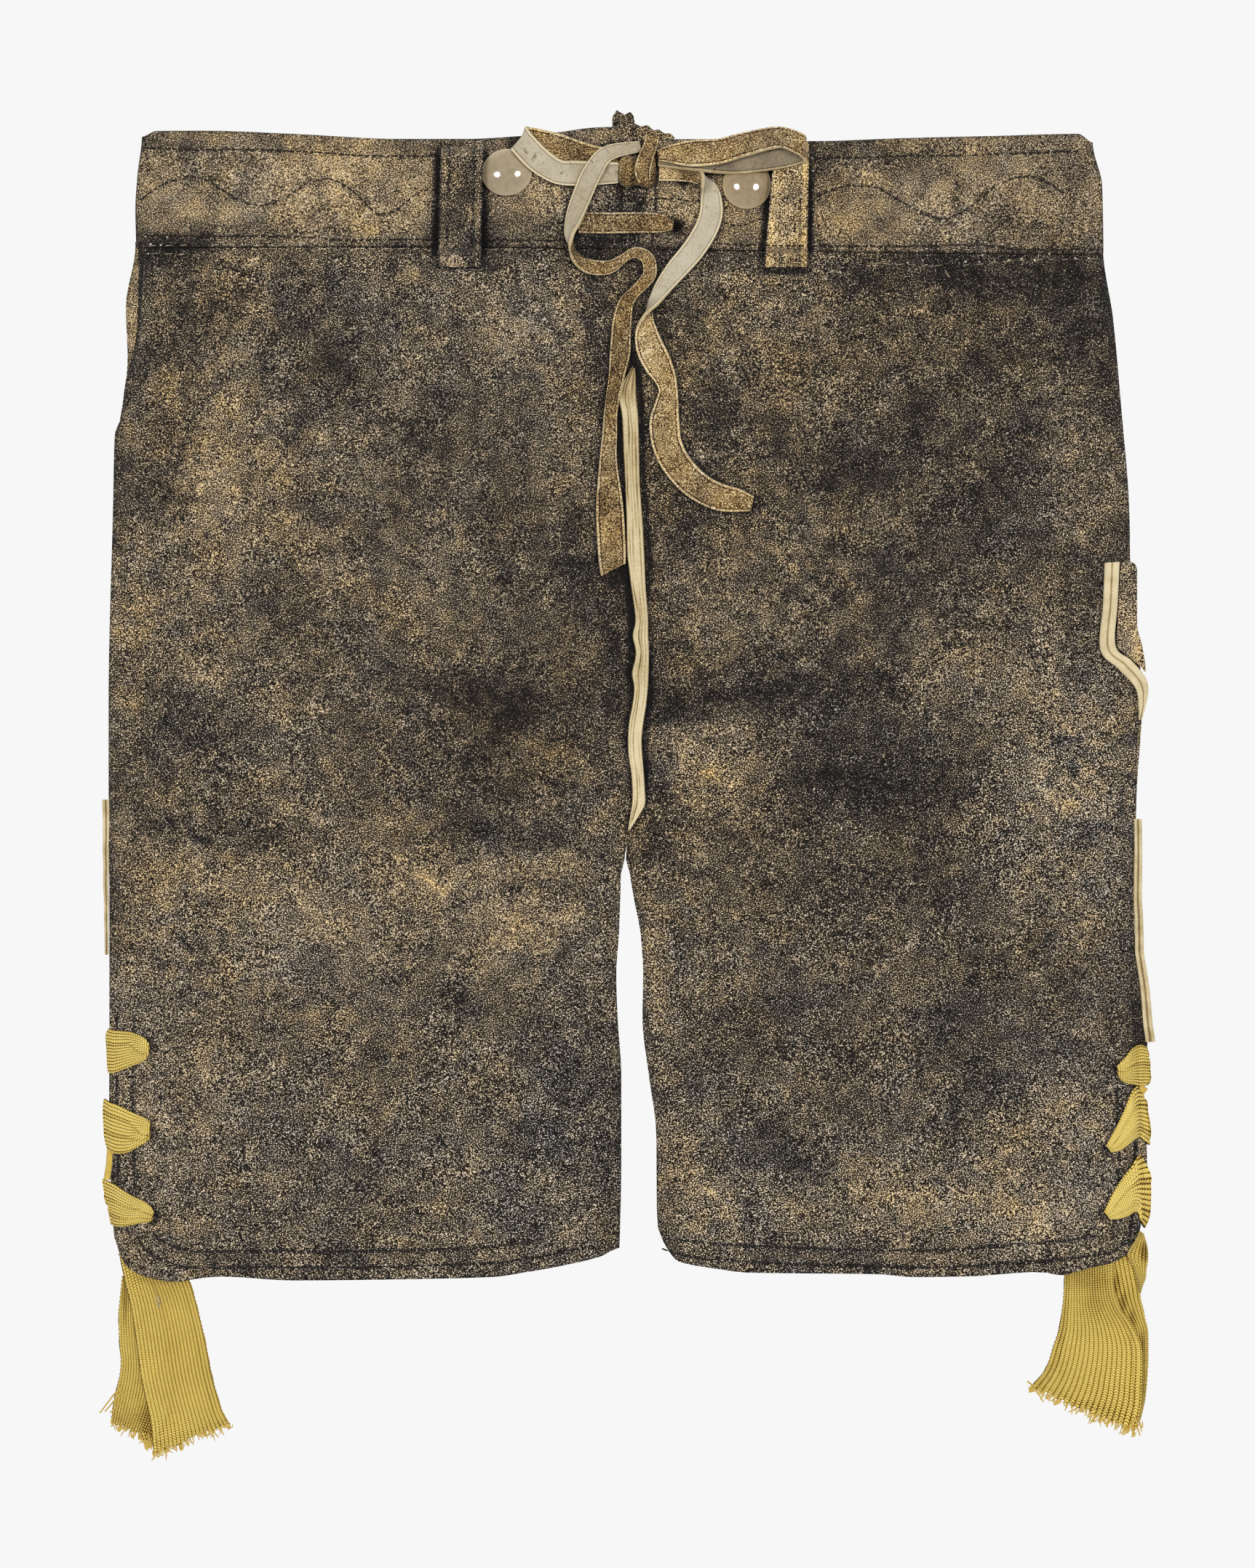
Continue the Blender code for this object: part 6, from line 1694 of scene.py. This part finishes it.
def lace_piece(name, grown, looks, node, level=0.53, last=None, pale=0.0, shaded=(), **more):
    """A lace run as a leather strip; one face shows suede, the other its pale flesh side.

    The suede goes from `level` to `last` along it; `pale` brightens the flesh side; each `shaded` place is
    (x, y, half width, half height, change).
    """
    shape = grown.shape[:2]
    along_it = np.arange(shape[0])[:, None] * np.ones(shape)
    tone = level + ((level if last is None else last) - level) * (along_it / shape[0]) ** 2
    tone = tone + 0.05 * blobs(along_it, along_it * 0 + 7, 9, 111)
    tone = tone + 0.08 * blobs(grown[..., 0], grown[..., 1], 5, 112)
    bright = np.full(shape, pale)
    for mx, my, half_x, half_y, change in shaded:
        spot = change * np.exp(-((grown[..., 0] - mx) / half_x) ** 2 - ((grown[..., 1] - my) / half_y) ** 2)
        tone = tone + spot
        bright = bright + 0.7 * spot
    edge = np.abs(LACE_SHARES)[None, :] * np.ones(shape)
    return skin(name, grown, LACE, looks, edge=0.25, node=node, slot="lace_leather", sharp=40,
                marks={"tone": tone, "grain": np.ones(shape), "warm": np.full(shape, 0.4), "rim": edge,
                       "pale": bright}, **more)


def lace_path(surface, skip=4):
    """Middle line of a lace run, in metres."""
    middle = seen(surface[:, surface.shape[1] // 2]) * MM
    keep = list(range(0, len(middle) - 1, skip)) + [len(middle) - 1]
    return [tuple(float(c) for c in middle[i]) for i in keep]


def bow(upper_run, lower_run, lift, seed):
    """A loop of the bow: out over its upper run, round a fold, and back along its lower run."""
    lower = strip(lower_run, seed=seed, soften=6)
    lower[..., 2] += 0.05
    bed = lower + np.array([0, 0, LACE / 2])
    rows, columns = bed.shape[:2]
    index = np.arange(rows * columns).reshape(rows, columns)
    quads = np.stack([index[:-1, :-1], index[1:, :-1], index[1:, 1:], index[:-1, 1:]], -1).reshape(-1, 4)
    flat = bed.reshape(-1, 3)
    GROUND.append((BVHTree.FromPolygons(flat.tolist(), quads.tolist()), flat.min(axis=0), flat.max(axis=0)))
    upper = strip(upper_run, extra=0.15, seed=seed + 1, soften=8)
    GROUND.pop()
    arch = np.sin(np.linspace(0.12, 1, len(upper)) * math.pi / 2)[:, None]
    upper[..., 2] += lift * arch
    back = lower[::-1]
    out = upper[-1].mean(axis=0) - upper[-3].mean(axis=0)
    out[2] = 0
    out /= np.linalg.norm(out)
    fold = []
    for k in range(1, 14):
        angle = math.pi * k / 14
        share = (1 - math.cos(angle)) / 2
        radius = (upper[-1, :, 2] - back[0, :, 2])[:, None] / 2
        fold.append(upper[-1] * (1 - share) + back[0] * share + out * radius * math.sin(angle))
    return np.concatenate([upper, np.array(fold), back])


# ------------------------------------------------------------------ braid
def pairs_in_mm(pairs):
    """Rows of point pairs, from pixels to millimetres."""
    return [(*at(*pair[:2]), *at(*pair[2:])) for pair in pairs]


def between_pairs(rows, t):
    """Places at the shares `t` between the two points of each row."""
    return rows[:, 0:1] * (1 - t) + rows[:, 2:3] * t, rows[:, 1:2] * (1 - t) + rows[:, 3:4] * t


def shares_across(rows, step):
    """Shares from 0 to 1 across rows of point pairs, with one more close to each edge."""
    wide = np.hypot(rows[:, 2] - rows[:, 0], rows[:, 3] - rows[:, 1]).max()
    count = max(6, round(wide / step))
    return np.array([0, 0.25 / count, *(np.arange(1, count) / count), 1 - 0.25 / count, 1])


def laid(x, y, climb=0.5, soften=4):
    """Heights of a sheet that rests on the ground and bends over its steps."""
    middle = np.stack([x.mean(axis=1), y.mean(axis=1)], -1)
    places = run_lengths(middle)
    under = grounds(x, y)
    z = np.stack([smoothed(envelope(column, places, climb), soften) for column in under.T], -1)
    for i in range(len(z)):
        z[i] = np.maximum(smoothed(z[i], 2), under[i])
    return z, places


def knit_marks(t, wide, down, shade):
    """The attributes that a look of knitting reads: millimetres across the braid and along it, and shade."""
    ones = np.ones(shade.shape)
    return {"wide": t[None, :] * wide * ones, "down": down * ones, "shade": shade}


# Darker places on the braid's free ends: (middle x, y, half width, half height, in pixels; change).
TAIL_SHADES = {
    "braid_tail_left_back": (
        (172, 1785, 4, 34, -0.40), (205, 1955, 11, 26, -0.35), (196, 1900, 12, 60, -0.10),
        (176, 1950, 30, 14, -0.10),
    ),
    "braid_tail_left_front": ((215, 1757, 50, 10, -0.12), (290, 1850, 7, 90, -0.10),
                              (280, 1795, 10, 40, -0.06)),
    "braid_tail_right_back": (
        (1534, 1764, 6, 16, -0.42), (1543, 1792, 6, 16, -0.40), (1556, 1818, 6, 16, -0.42),
        (1568, 1846, 5, 16, -0.36), (1572, 1885, 3, 50, -0.34), (1552, 1790, 10, 30, -0.10),
    ),
    "braid_tail_right_front": (
        (1497, 1758, 32, 16, -0.26), (1505, 1785, 14, 26, -0.10), (1512, 1800, 24, 20, -0.08),
        (1458, 1850, 7, 60, -0.10), (1500, 1935, 60, 9, -0.12), (1530, 1948, 30, 8, -0.12),
    ),
}


def braid_tail(name, pairs, top, look, real, seed, ridges=()):
    """A free end of the braid on the surface: knitted columns, a little wavy, ragged at its end.

    `ridges` are lengthwise, each (share across, rise in mm, half width as a share, change of shade).
    """
    rows = through(pairs_in_mm(pairs), 0.55)
    t = shares_across(rows, 0.55)
    x, y = between_pairs(rows, t)
    if top is not None:
        line = pixels(top, 0.5)
        hem = np.interp(x[0], line[:, 0], line[:, 1])
        start = y[0].copy()
        depth = np.maximum(start - y, 0)
        y = y + (hem - start) * bell(depth, 7.0)
    z, places = laid(x, y)
    away = places[:, None]
    end = places[-1] - away
    fray = 0.8 * blobs(x * 3, y * 0, 1.3, seed + 5) + 0.7 * blobs(x, y * 0, 3.1, seed + 6)
    pull = np.clip(1 - end / 3.0, 0, 1)
    gx = np.gradient(x, axis=0)
    gy = np.gradient(y, axis=0)
    size = np.hypot(gx, gy) + 1e-9
    x = x + gx / size * fray * pull
    y = y + gy / size * fray * pull
    edge = np.minimum(t, 1 - t)[None, :] * np.ones(x.shape)
    ripple = 0.35 * blobs(x, y, 9, seed) + 0.25 * blobs(x, y, 4, seed + 1)
    scallop = 0.2 * np.sin(2 * np.pi * away / COURSE * 0.5) * np.clip(1 - edge * 40, 0, 1)
    x = x + scallop * np.where(t < 0.5, -1, 1)[None, :]
    low = z + np.clip(0.25 + ripple * 0.6, 0, 2) * swell(end, 3) * 0.7
    shade = 0.04 * blobs(x, y, 11, seed + 3) - 0.16 * bell(edge, 0.018) + 0.04 * ripple
    for share, rise, width, change in ridges:
        bend = t[None, :] - share
        low = low + rise * bell(bend, width) * swell(end, 8) * swell(away, 10)
        shade = shade + change * bell(bend, width)
    high = low + BRAID - 0.35 * bell(edge, 0.02)
    shade = shade - 0.16 * bell(away, 3.0) - 0.10 * bell(end - 2.2, 1.4)
    shade = shade + patches(x, y, TAIL_SHADES.get(name, ()), 1.5)
    made = slab("knit_" + name, x, y, high, low, (look,), coarse=3,
                marks=knit_marks(t, real, away, shade), node=name, slot="braid")
    ends = np.stack([x[-1], y[-1], (low[-1] + high[-1]) / 2], -1)
    ahead = np.stack([gx[-1] / size[-1], gy[-1] / size[-1]], -1)
    return made, ends, ahead


def frayed(name, ends, ahead, look, seed, longest=5.0, loops=0.3):
    """Loose yarns that stand out of the end of a braid: short tufts, and small loops between them."""
    random = np.random.default_rng(seed)
    gone = run_lengths(ends[:, :2])
    parts = []
    place = 0.3
    while place < gone[-1] - 0.3:
        x = np.interp(place, gone, ends[:, 0])
        y = np.interp(place, gone, ends[:, 1])
        dx = np.interp(place, gone, ahead[:, 0])
        dy = np.interp(place, gone, ahead[:, 1])
        lean = random.uniform(-0.55, 0.55)
        dx, dy = dx + dy * lean, dy - dx * lean
        size = random.uniform(1.0, longest)
        bend = random.uniform(-0.35, 0.35) * size
        t = np.linspace(0, 1, 8)
        if random.uniform() < loops:
            size *= 0.6
            a = t * math.pi
            x = x + dx * size * np.sin(a) - dy * (1 - np.cos(a)) * 0.6
            y = y + dy * size * np.sin(a) + dx * (1 - np.cos(a)) * 0.6
            z = 0.55 + 0.35 * np.sin(a)
        else:
            x = x + dx * (t * size - 0.9) - dy * bend * t ** 2 + 0.16 * np.sin(t * 9 + place)
            y = y + dy * (t * size - 0.9) + dx * bend * t ** 2
            z = np.linspace(0.85, 0.3, 8) + 0.15 * np.sin(t * 7)
        z = np.maximum(z, 0.26)
        thick = 0.33 * np.array([1, 1, 1, 0.95, 0.9, 0.85, 0.7, 0.3])
        parts.append(tube(np.stack([x, y, z], -1), thick * random.uniform(0.7, 1.15), sides=6))
        place += random.uniform(0.45, 0.95)
    points, faces = joined(parts)
    return piece(name, points, faces, (look,), slot="braid", lie=False)


def loose_yarns(look):
    """Single yarns that lie beside the ends."""
    parts = []
    for k, line in enumerate(LOOSE_YARNS):
        way = pixels(line, 0.6)
        z = grounds(way[:, 0], way[:, 1]) + 0.42 + 0.12 * np.sin(np.arange(len(way)) * 1.1 + k)
        parts.append(tube(np.column_stack([way, z]), 0.36 * np.linspace(1, 0.75, len(way)), sides=6))
    for line in BRAID_EDGES:
        way = pixels(line, 0.6)
        parts.append(tube(np.column_stack([way, np.full(len(way), 1.5)]), 1.45, sides=8))
    points, faces = joined(parts)
    return piece("loose_yarns", points, faces, (look,), slot="braid", lie=False)


def braid_wrap(name, pairs, turn, folds, look, real, seed):
    """Braid gathered into its eyelet: it fans out over the leather to the side, where it turns under."""
    left = "left" in name
    flip = slice(None) if left else [2, 3, 0, 1]
    rows = through(np.array(pairs_in_mm(pairs))[:, flip], 0.5)
    t = shares_across(rows, 0.42)
    x, y = between_pairs(rows, t)
    rim = pixels(turn if left else turn[::-1], 0.3)
    gone = run_lengths(rim)
    rim = np.stack([np.interp(t, gone / gone[-1], rim[:, k]) for k in range(2)], -1)
    outwards = -1 if left else 1
    rim[:, 0] -= 0.35 * outwards
    count = max(2, round(np.hypot(rim[:, 0] - x[-1], rim[:, 1] - y[-1]).mean() / 0.5))
    blend = np.linspace(0, 1, count + 1)[1:, None]
    x = np.concatenate([x, x[-1] * (1 - blend) + rim[:, 0] * blend])
    y = np.concatenate([y, y[-1] * (1 - blend) + rim[:, 1] * blend])
    z, _ = laid(x, y, climb=0.7, soften=3)
    down = np.linspace(0, 1, 9)[1:, None]
    x = np.concatenate([x, x[-1] + outwards * 0.35 * np.sin(down * 2.6)])
    y = np.concatenate([y, y[-1] + 0 * down])
    z = np.concatenate([z, z[-1] * (1 - down) + 0.25 * down])
    middle = np.stack([x.mean(axis=1), y.mean(axis=1), z.mean(axis=1)], -1)
    gone = np.concatenate([[0], np.cumsum(np.linalg.norm(np.diff(middle, axis=0), axis=1))])[:, None]
    share = gone / gone[-1]
    from_top = (t if left else 1 - t)[None, :] * np.ones(x.shape)
    edge = np.minimum(t, 1 - t)[None, :] * np.ones(x.shape)
    lift = 0.35 * np.sqrt(np.clip(1 - (1 - edge * 6) ** 2, 0, 1)) * (edge < 1 / 6) + 0.35 * (edge >= 1 / 6)
    shade = 0.06 * blobs(x, y, 5, seed + 2) - 0.42 * bell(edge, 0.03)
    for at_eye, at_side, step in folds:
        place = at_eye + (at_side - at_eye) * swell(share * 2, 1)
        lift = lift + step * (1 - swell(from_top - place + 0.04, 0.08)) * (1 - 0.5 * share)
        shade = shade - 0.34 * bell(from_top - place - 0.04, 0.045)
        shade = shade + 0.06 * bell(from_top - place + 0.09, 0.06)
    ribs = np.abs(np.sin(real / WALE * math.pi * t[None, :] + 0.5 * blobs(gone, gone * 0, 6, seed)))
    lift = lift + 0.3 * ribs * (0.4 + share)
    shade = shade + 0.72 * (ribs - 0.62) - 0.30 * bell(gone, 1.6)
    outer = SIDE_LEFT if left else SIDE_RIGHT
    past = (x - along(outer, y)) * outwards
    shade = shade - 0.20 * bell(past - 0.8, 0.8) * (not left)
    surface = np.stack([x, y, z + BRAID / 2 + 0.1 + lift * (1 - share ** 4)], -1)
    made = skin("knit_" + name, surface, BRAID, (look,), edge=0.4, coarse=2,
                marks=knit_marks(t, real, gone, shade), node=name, slot="braid")
    return made, surface


def knot_of_braid(look):
    """The last turn of the right leg's braid, doubled over itself at the corner of the hem."""
    rows = through(pairs_in_mm(BRAID_KNOT), 0.45)
    t = np.linspace(0, 1, 19)
    x, y = between_pairs(rows, t)
    z, places = laid(x, y, climb=0.8, soften=3)
    ends = np.minimum(swell(places, 3), swell(places[-1] - places, 6))[:, None]
    dome = np.sqrt(np.clip(1 - (2 * t - 1) ** 2, 0, 1)) * ends
    high = z + 0.5 + 2.2 * dome
    mx, my = at(1573, 1721)
    shade = -0.52 * np.exp(-(((x - mx) / 2.0) ** 2 + ((y - my) / 4.2) ** 2) ** 2) + 0.05 * blobs(x, y, 4, 191)
    shade = shade - 0.2 * bell(x - rows[:, 0:1], 0.8)
    return slab("knit_knot", x, y, high, z + 0.02, (look,), coarse=2,
                marks=knit_marks(t, KNOT_WIDE, places[:, None], shade), node="braid_knot_right", slot="braid")


def knot_wrap(look, rim):
    """The knot of the bow: suede drawn tight round the crossing, with folds in it."""
    mx, my = KNOT_MIDDLE
    low = BAND_LOW + BAND + GAP
    rows, columns = 30, 40
    v, u = np.meshgrid(np.linspace(0, 1, rows), np.linspace(0, 1, columns), indexing="ij")
    angle = math.pi * (0.5 - v)
    x = mx + KNOT_HALF[0] * 0.98 * (2 * u - 1)
    tight = 1 - 0.16 * np.cos(math.pi * (2 * u - 1)) * (u > 0.2)
    tight = tight * (1 - 0.35 * np.abs(2 * u - 1) ** 5)
    y = my + KNOT_HALF[1] * 0.97 * np.sin(angle) * tight
    z = low + 0.15 + (KNOT_HALF[2] * 1.45) * np.cos(angle) ** 0.55 * (1 - 0.45 * np.abs(2 * u - 1) ** 3)
    crease = 0.35 * np.sin(9.0 * u + 2.2 * v) + 0.2 * np.sin(21 * u + 5 * v)
    z = z + 0.4 * crease * np.cos(angle) * 0.6
    surface = np.stack([x, y, z], -1)
    # painted light and shade: lighter on the folds' ridges, darker in their troughs and where the suede turns
    # under at top and bottom
    tone = 0.36 + 0.10 * blobs(x, y, 4, 121) + 0.30 * (crease - 0.1) - 0.12 * np.abs(2 * v - 1) ** 3
    tone = tone - 0.10 * bell(2 * u - 1.15, 0.2)
    return skin("lace_tie", surface, 1.1, (look, look, rim), edge=0.2, node="lace_knot", slot="lace_leather",
                marks={"tone": tone, "grain": np.ones(x.shape), "warm": np.full(x.shape, 0.5)}, sharp=60)


# ------------------------------------------------------------------ set
FLOOR_REACH = 6       # metres from the middle of the floor to its sides
FLOOR_Z = -0.0002     # just under the lowest leather
SKY = 0.432           # strength of the even light


def camera():
    """Straight above, turned so that the waist is at the top of the picture."""
    data = bpy.data.cameras.new("camera")
    data.lens = 85
    data.sensor_width = 36
    data.clip_start = 0.05
    made = bpy.data.objects.new("camera", data)
    made.location = tuple(c * MM for c in EYE)
    bpy.context.collection.objects.link(made)
    bpy.context.scene.camera = made


def lamp(name, left, ahead, strength):
    """A distant soft light, tilted in degrees from straight above."""
    data = bpy.data.lights.new(name, "SUN")
    data.energy = strength
    data.angle = math.radians(15)
    made = bpy.data.objects.new(name, data)
    made.rotation_euler = (math.radians(ahead), math.radians(left), 0)
    made.location = (0, 0, 2)
    bpy.context.collection.objects.link(made)


def studio():
    """A pale floor, even white light, and two soft lights at left and right."""
    bpy.context.scene.view_settings.view_transform = "Standard"
    world = bpy.data.worlds.new("white")
    world.use_nodes = True
    world.node_tree.nodes["Background"].inputs["Color"].default_value = (1, 1, 1, 1)
    world.node_tree.nodes["Background"].inputs["Strength"].default_value = SKY
    bpy.context.scene.world = world
    lamp("lamp_left", left=-25, ahead=-4, strength=0.98)
    lamp("lamp_right", left=25, ahead=-4, strength=0.98)
    look = Look("floor_lit", 1.0, Specular_IOR_Level=0.0, Base_Color=(0, 0, 0, 1), Emission_Strength=1.0)
    glow = look.ramp(look.total((look.noise(60, 2), 0.02), 0.5),
                     ((0.0, (246, 246, 246)), (1.0, (248, 248, 248))))
    look.feed(look.shader.inputs["Emission Color"], glow)
    mesh = bpy.data.meshes.new("floor")
    corners = ((-1, -1), (1, -1), (1, 1), (-1, 1))
    mesh.from_pydata([(FLOOR_REACH * x, FLOOR_REACH * y, FLOOR_Z) for x, y in corners], [], [(0, 1, 2, 3)])
    mesh.materials.append(look.material)
    floor = bpy.data.objects.new("floor", mesh)
    bpy.context.collection.objects.link(floor)


# ------------------------------------------------------------------ the garment
LOOP_SEAMS_LEFT = (((617, 202), (616, 260), (614, 340)), ((652, 202), (651, 260), (649, 340)))
LOOP_SEAMS_RIGHT = (((1101, 226), (1100, 290), (1099, 366)), ((1074, 340), (1072, 366)))


TAIL_RIDGES = {
    "braid_tail_left_front": ((0.03, 0.25, 0.02, 0.08), (0.93, 0.2, 0.02, 0.06), (0.88, -0.1, 0.02, -0.1)),
    "braid_tail_right_front": ((0.14, 0.4, 0.03, 0.10), (0.07, 0.1, 0.05, -0.16), (0.985, 0.5, 0.02, 0.16)),
}


def leather_parts(look, band_look, edge_look, worn, dark, welt_look, pocket_look):
    """The panels and the waistband, from the surface upwards."""
    back_panel("back_left", -1, SIDE_LEFT, look, edge_look, LEVEL_LEFT)
    back_panel("back_right", 1, SIDE_RIGHT, look, edge_look, LEVEL_RIGHT)
    front_band(look, edge_look)
    back_band("waistband_back_left", -1, band_look, edge_look)
    back_band("waistband_back_right", 1, band_look, edge_look)
    gusset(look, dark)
    belt_loop("belt_loop_left", *LOOP_LEFT, level=0.135, warm=0.05, look=look, edge_look=edge_look,
              seams=LOOP_SEAMS_LEFT)
    belt_loop("belt_loop_right", *LOOP_RIGHT, level=0.455, warm=-0.2, look=worn, edge_look=edge_look,
              seams=LOOP_SEAMS_RIGHT)
    seat_welt(welt_look)
    side_piping("side_seam_welt_left", SIDE_WELT_LEFT, half=(1.5, 0.8), look=welt_look, seed=131)
    side_piping("side_seam_welt_right", SIDE_WELT_RIGHT, half=(1.6, 2.0), look=welt_look, seed=135)
    knife_pocket(look, edge_look, pocket_look)


def braid_parts(knit, yarn):
    """The free ends of the braid below the hems."""
    parts = {}
    for k, (name, (pairs, top)) in enumerate(BRAID_TAILS.items()):
        real = BRAID_WIDE * (HALF_HIDDEN if name == "braid_tail_right_back" else 1)
        made, ends, ahead = braid_tail(name, pairs, top, knit, real, 141 + 7 * k, TAIL_RIDGES.get(name, ()))
        frayed("fray_" + name, ends, ahead, yarn, 151 + k)
        parts[name] = made
    loose_yarns(yarn)
    return parts


def wraps(knit):
    """The braid gathered into the eyelets beside the legs."""
    for k, (name, (pairs, turn, folds)) in enumerate(BRAID_WRAPS.items()):
        made, surface = braid_wrap(name, pairs, turn, folds, knit, WRAP_WIDE, 161 + 5 * k)


def lace_parts(suede_look, pale_look, rim_look):
    """The lace of the split: bar, bow, knot and the two free ends."""
    bar = strip(LACE_BAR, climb=TAUT, wave=0.1, cupped=0.05, seed=172)
    bar_piece = lace_piece("lace_across", bar, (suede_look, suede_look, rim_look), "lace_bar", level=0.32)
    left_loop = bow(LOOP_LEFT_UPPER, LOOP_LEFT_LOWER, lift=0.0, seed=173)
    left_loop_piece = lace_piece("lace_bow_left", left_loop, (pale_look, suede_look, rim_look),
                                 "lace_loop_left",
                                 level=0.34, pale=0.03,
                                 shaded=((-14.0, 254.0, 6.0, 4.0, -0.14), (-34.0, 262.0, 6.0, 8.0, 0.06)))
    left = strip(TAIL_LEFT, seed=175, soften=6, slant=4.2)
    left_piece = lace_piece("lace_end_left", left, (pale_look, suede_look, rim_look), "lace_tail_left",
                            level=0.38,
                            last=0.39, shaded=((-21.0, 217.0, 5.0, 4.0, -0.1), (2.0, 201.0, 5.0, 5.0, -0.08)))
    right = strip(TAIL_RIGHT, seed=177, soften=6)
    right_piece = lace_piece("lace_end_right", right, (suede_look, pale_look, rim_look), "lace_tail_right",
                             level=0.60, last=0.42, pale=0.06,
                             shaded=((25.0, 251.0, 5.5, 6.0, -0.30), (8.4, 194.0, 4.0, 4.0, -0.12)))
    right_loop = bow(LOOP_RIGHT_UPPER, LOOP_RIGHT_LOWER, lift=2.2, seed=179)
    right_loop_piece = lace_piece("lace_bow_right", right_loop, (suede_look, pale_look, rim_look),
                                  "lace_loop_right",
                                  level=0.45, pale=-0.18)
    tie = knot_wrap(suede_look, rim_look)
    upper = strip(LACE_UPPER, seed=181, climb=1.2, soften=3)
    upper_piece = lace_piece("lace_over_tie", upper, (suede_look, pale_look, rim_look), "lace_upper",
                             level=0.36)
    for made, surface, end, others in (
        (left_piece, left, "bare", [tie, upper_piece]), (right_piece, right, "bare", [bar_piece]),
        (left_loop_piece, left_loop, "object", []), (right_loop_piece, right_loop, "object", []),
    ):
        path = lace_path(surface)


def thread_parts():
    """Stitches, eyelets with painted shadow discs in them, small grains, wax beads and painted glints on the
    leather.
    """
    dark = thread_look("thread_dark", (32, 24, 18))
    pale = thread_look("thread_pale", (168, 152, 124))
    parts = stitch_rows(THREADS_DARK, length=2.4, gap=0.6, radius=0.38, seed=181)
    for place in BRAID_EYES:
        parts += eyelet_stitches(place, radius_in=1.5, radius_out=4.2, count=15, seed=184, thick=0.22)
    for place in EYELETS:
        parts += eyelet_stitches(place, radius_in=HOLE_R * 0.9, radius_out=EYELET_R, count=26, seed=182)
    points, faces = joined(parts)
    piece("stitches_dark", points, faces, (dark,), lie=False)
    # dark discs in the eyelets: painted shadow
    points, faces = joined([hole_shade_disc(*hole) for hole in HOLE_SHADES])
    piece("eyelet_painted_shade", points, faces, (plain_dark("hole_painted_shadow"),), lie=False)
    parts = stitch_rows(THREADS_PALE, length=4.2, gap=1.9, radius=0.17, seed=183, slant=0.3)
    for line in THREADS_LOOSE:
        way = pixels(line, 0.5)
        parts.append(tube(np.column_stack([way, grounds(way[:, 0], way[:, 1]) + 0.12]), 0.26))
    points, faces = joined(parts)
    piece("stitches_pale", points, faces, (pale,), lie=False)
    specks("specks", FLECKS, pale, least=0.28, most=0.5)
    # wax beads, and painted glints on dark beads
    specks("wax_beads_and_glints", BEADS_AND_GLINTS, thread_look("thread_wax_and_glint", (214, 204, 186), spread=0.15), least=0.34, most=0.5)


def main():
    """Builds the looks, then the pieces, each after those that it rests on."""
    camera()
    studio()
    look = suede("suede_worn", SUEDE_STOPS)
    band_look = suede("suede_band", SUEDE_STOPS, clouds=0.7, speck=0.80, hue=0.35)
    plain = suede("suede_hidden", SUEDE_STOPS, speck=0.8)
    edge_look = suede("suede_edge", SUEDE_STOPS, level=0.27, clouds=0.5)
    worn = suede("suede_tan", WORN_STOPS)
    dark = suede("suede_dark", SUEDE_STOPS, level=0.18, clouds=0.5)
    welt_look = welt_leather("welt_raw", 0.775)
    knit = knitting("braid_knit")
    yarn = yarn_look("braid_yarn")
    lace_suede = suede("lace_suede", LACE_STOPS, clouds=0.6, speck=0.54, edges=0.26, bond=1.0, hue=0.3)
    lace_pale = tape_pale("lace_pale")
    lace_rim = welt_leather("lace_cut", 0.72)
    front_panel("front_left", -1, SIDE_FRONT_LEFT, plain, edge_look)
    front_panel("front_right", 1, SIDE_FRONT_RIGHT, plain, edge_look)
    tails = braid_parts(knit, yarn)
    leather_parts(look, band_look, edge_look, worn, dark, welt_look, welt_leather("welt_pocket", 0.82))
    thread_parts()
    wraps(knit)
    knot_of_braid(knit)
    brace_button("button_left", BUTTONS["button_left"], pearl("pearl_left", 0.52),
                 turn=0.2, oval=1.045, covered=0.0)
    brace_button("button_right", BUTTONS["button_right"], pearl("pearl_right", 0.465, 1.025),
                 turn=0.0, oval=1.0, covered=4.0)
    lace_parts(lace_suede, lace_pale, lace_rim)


main()
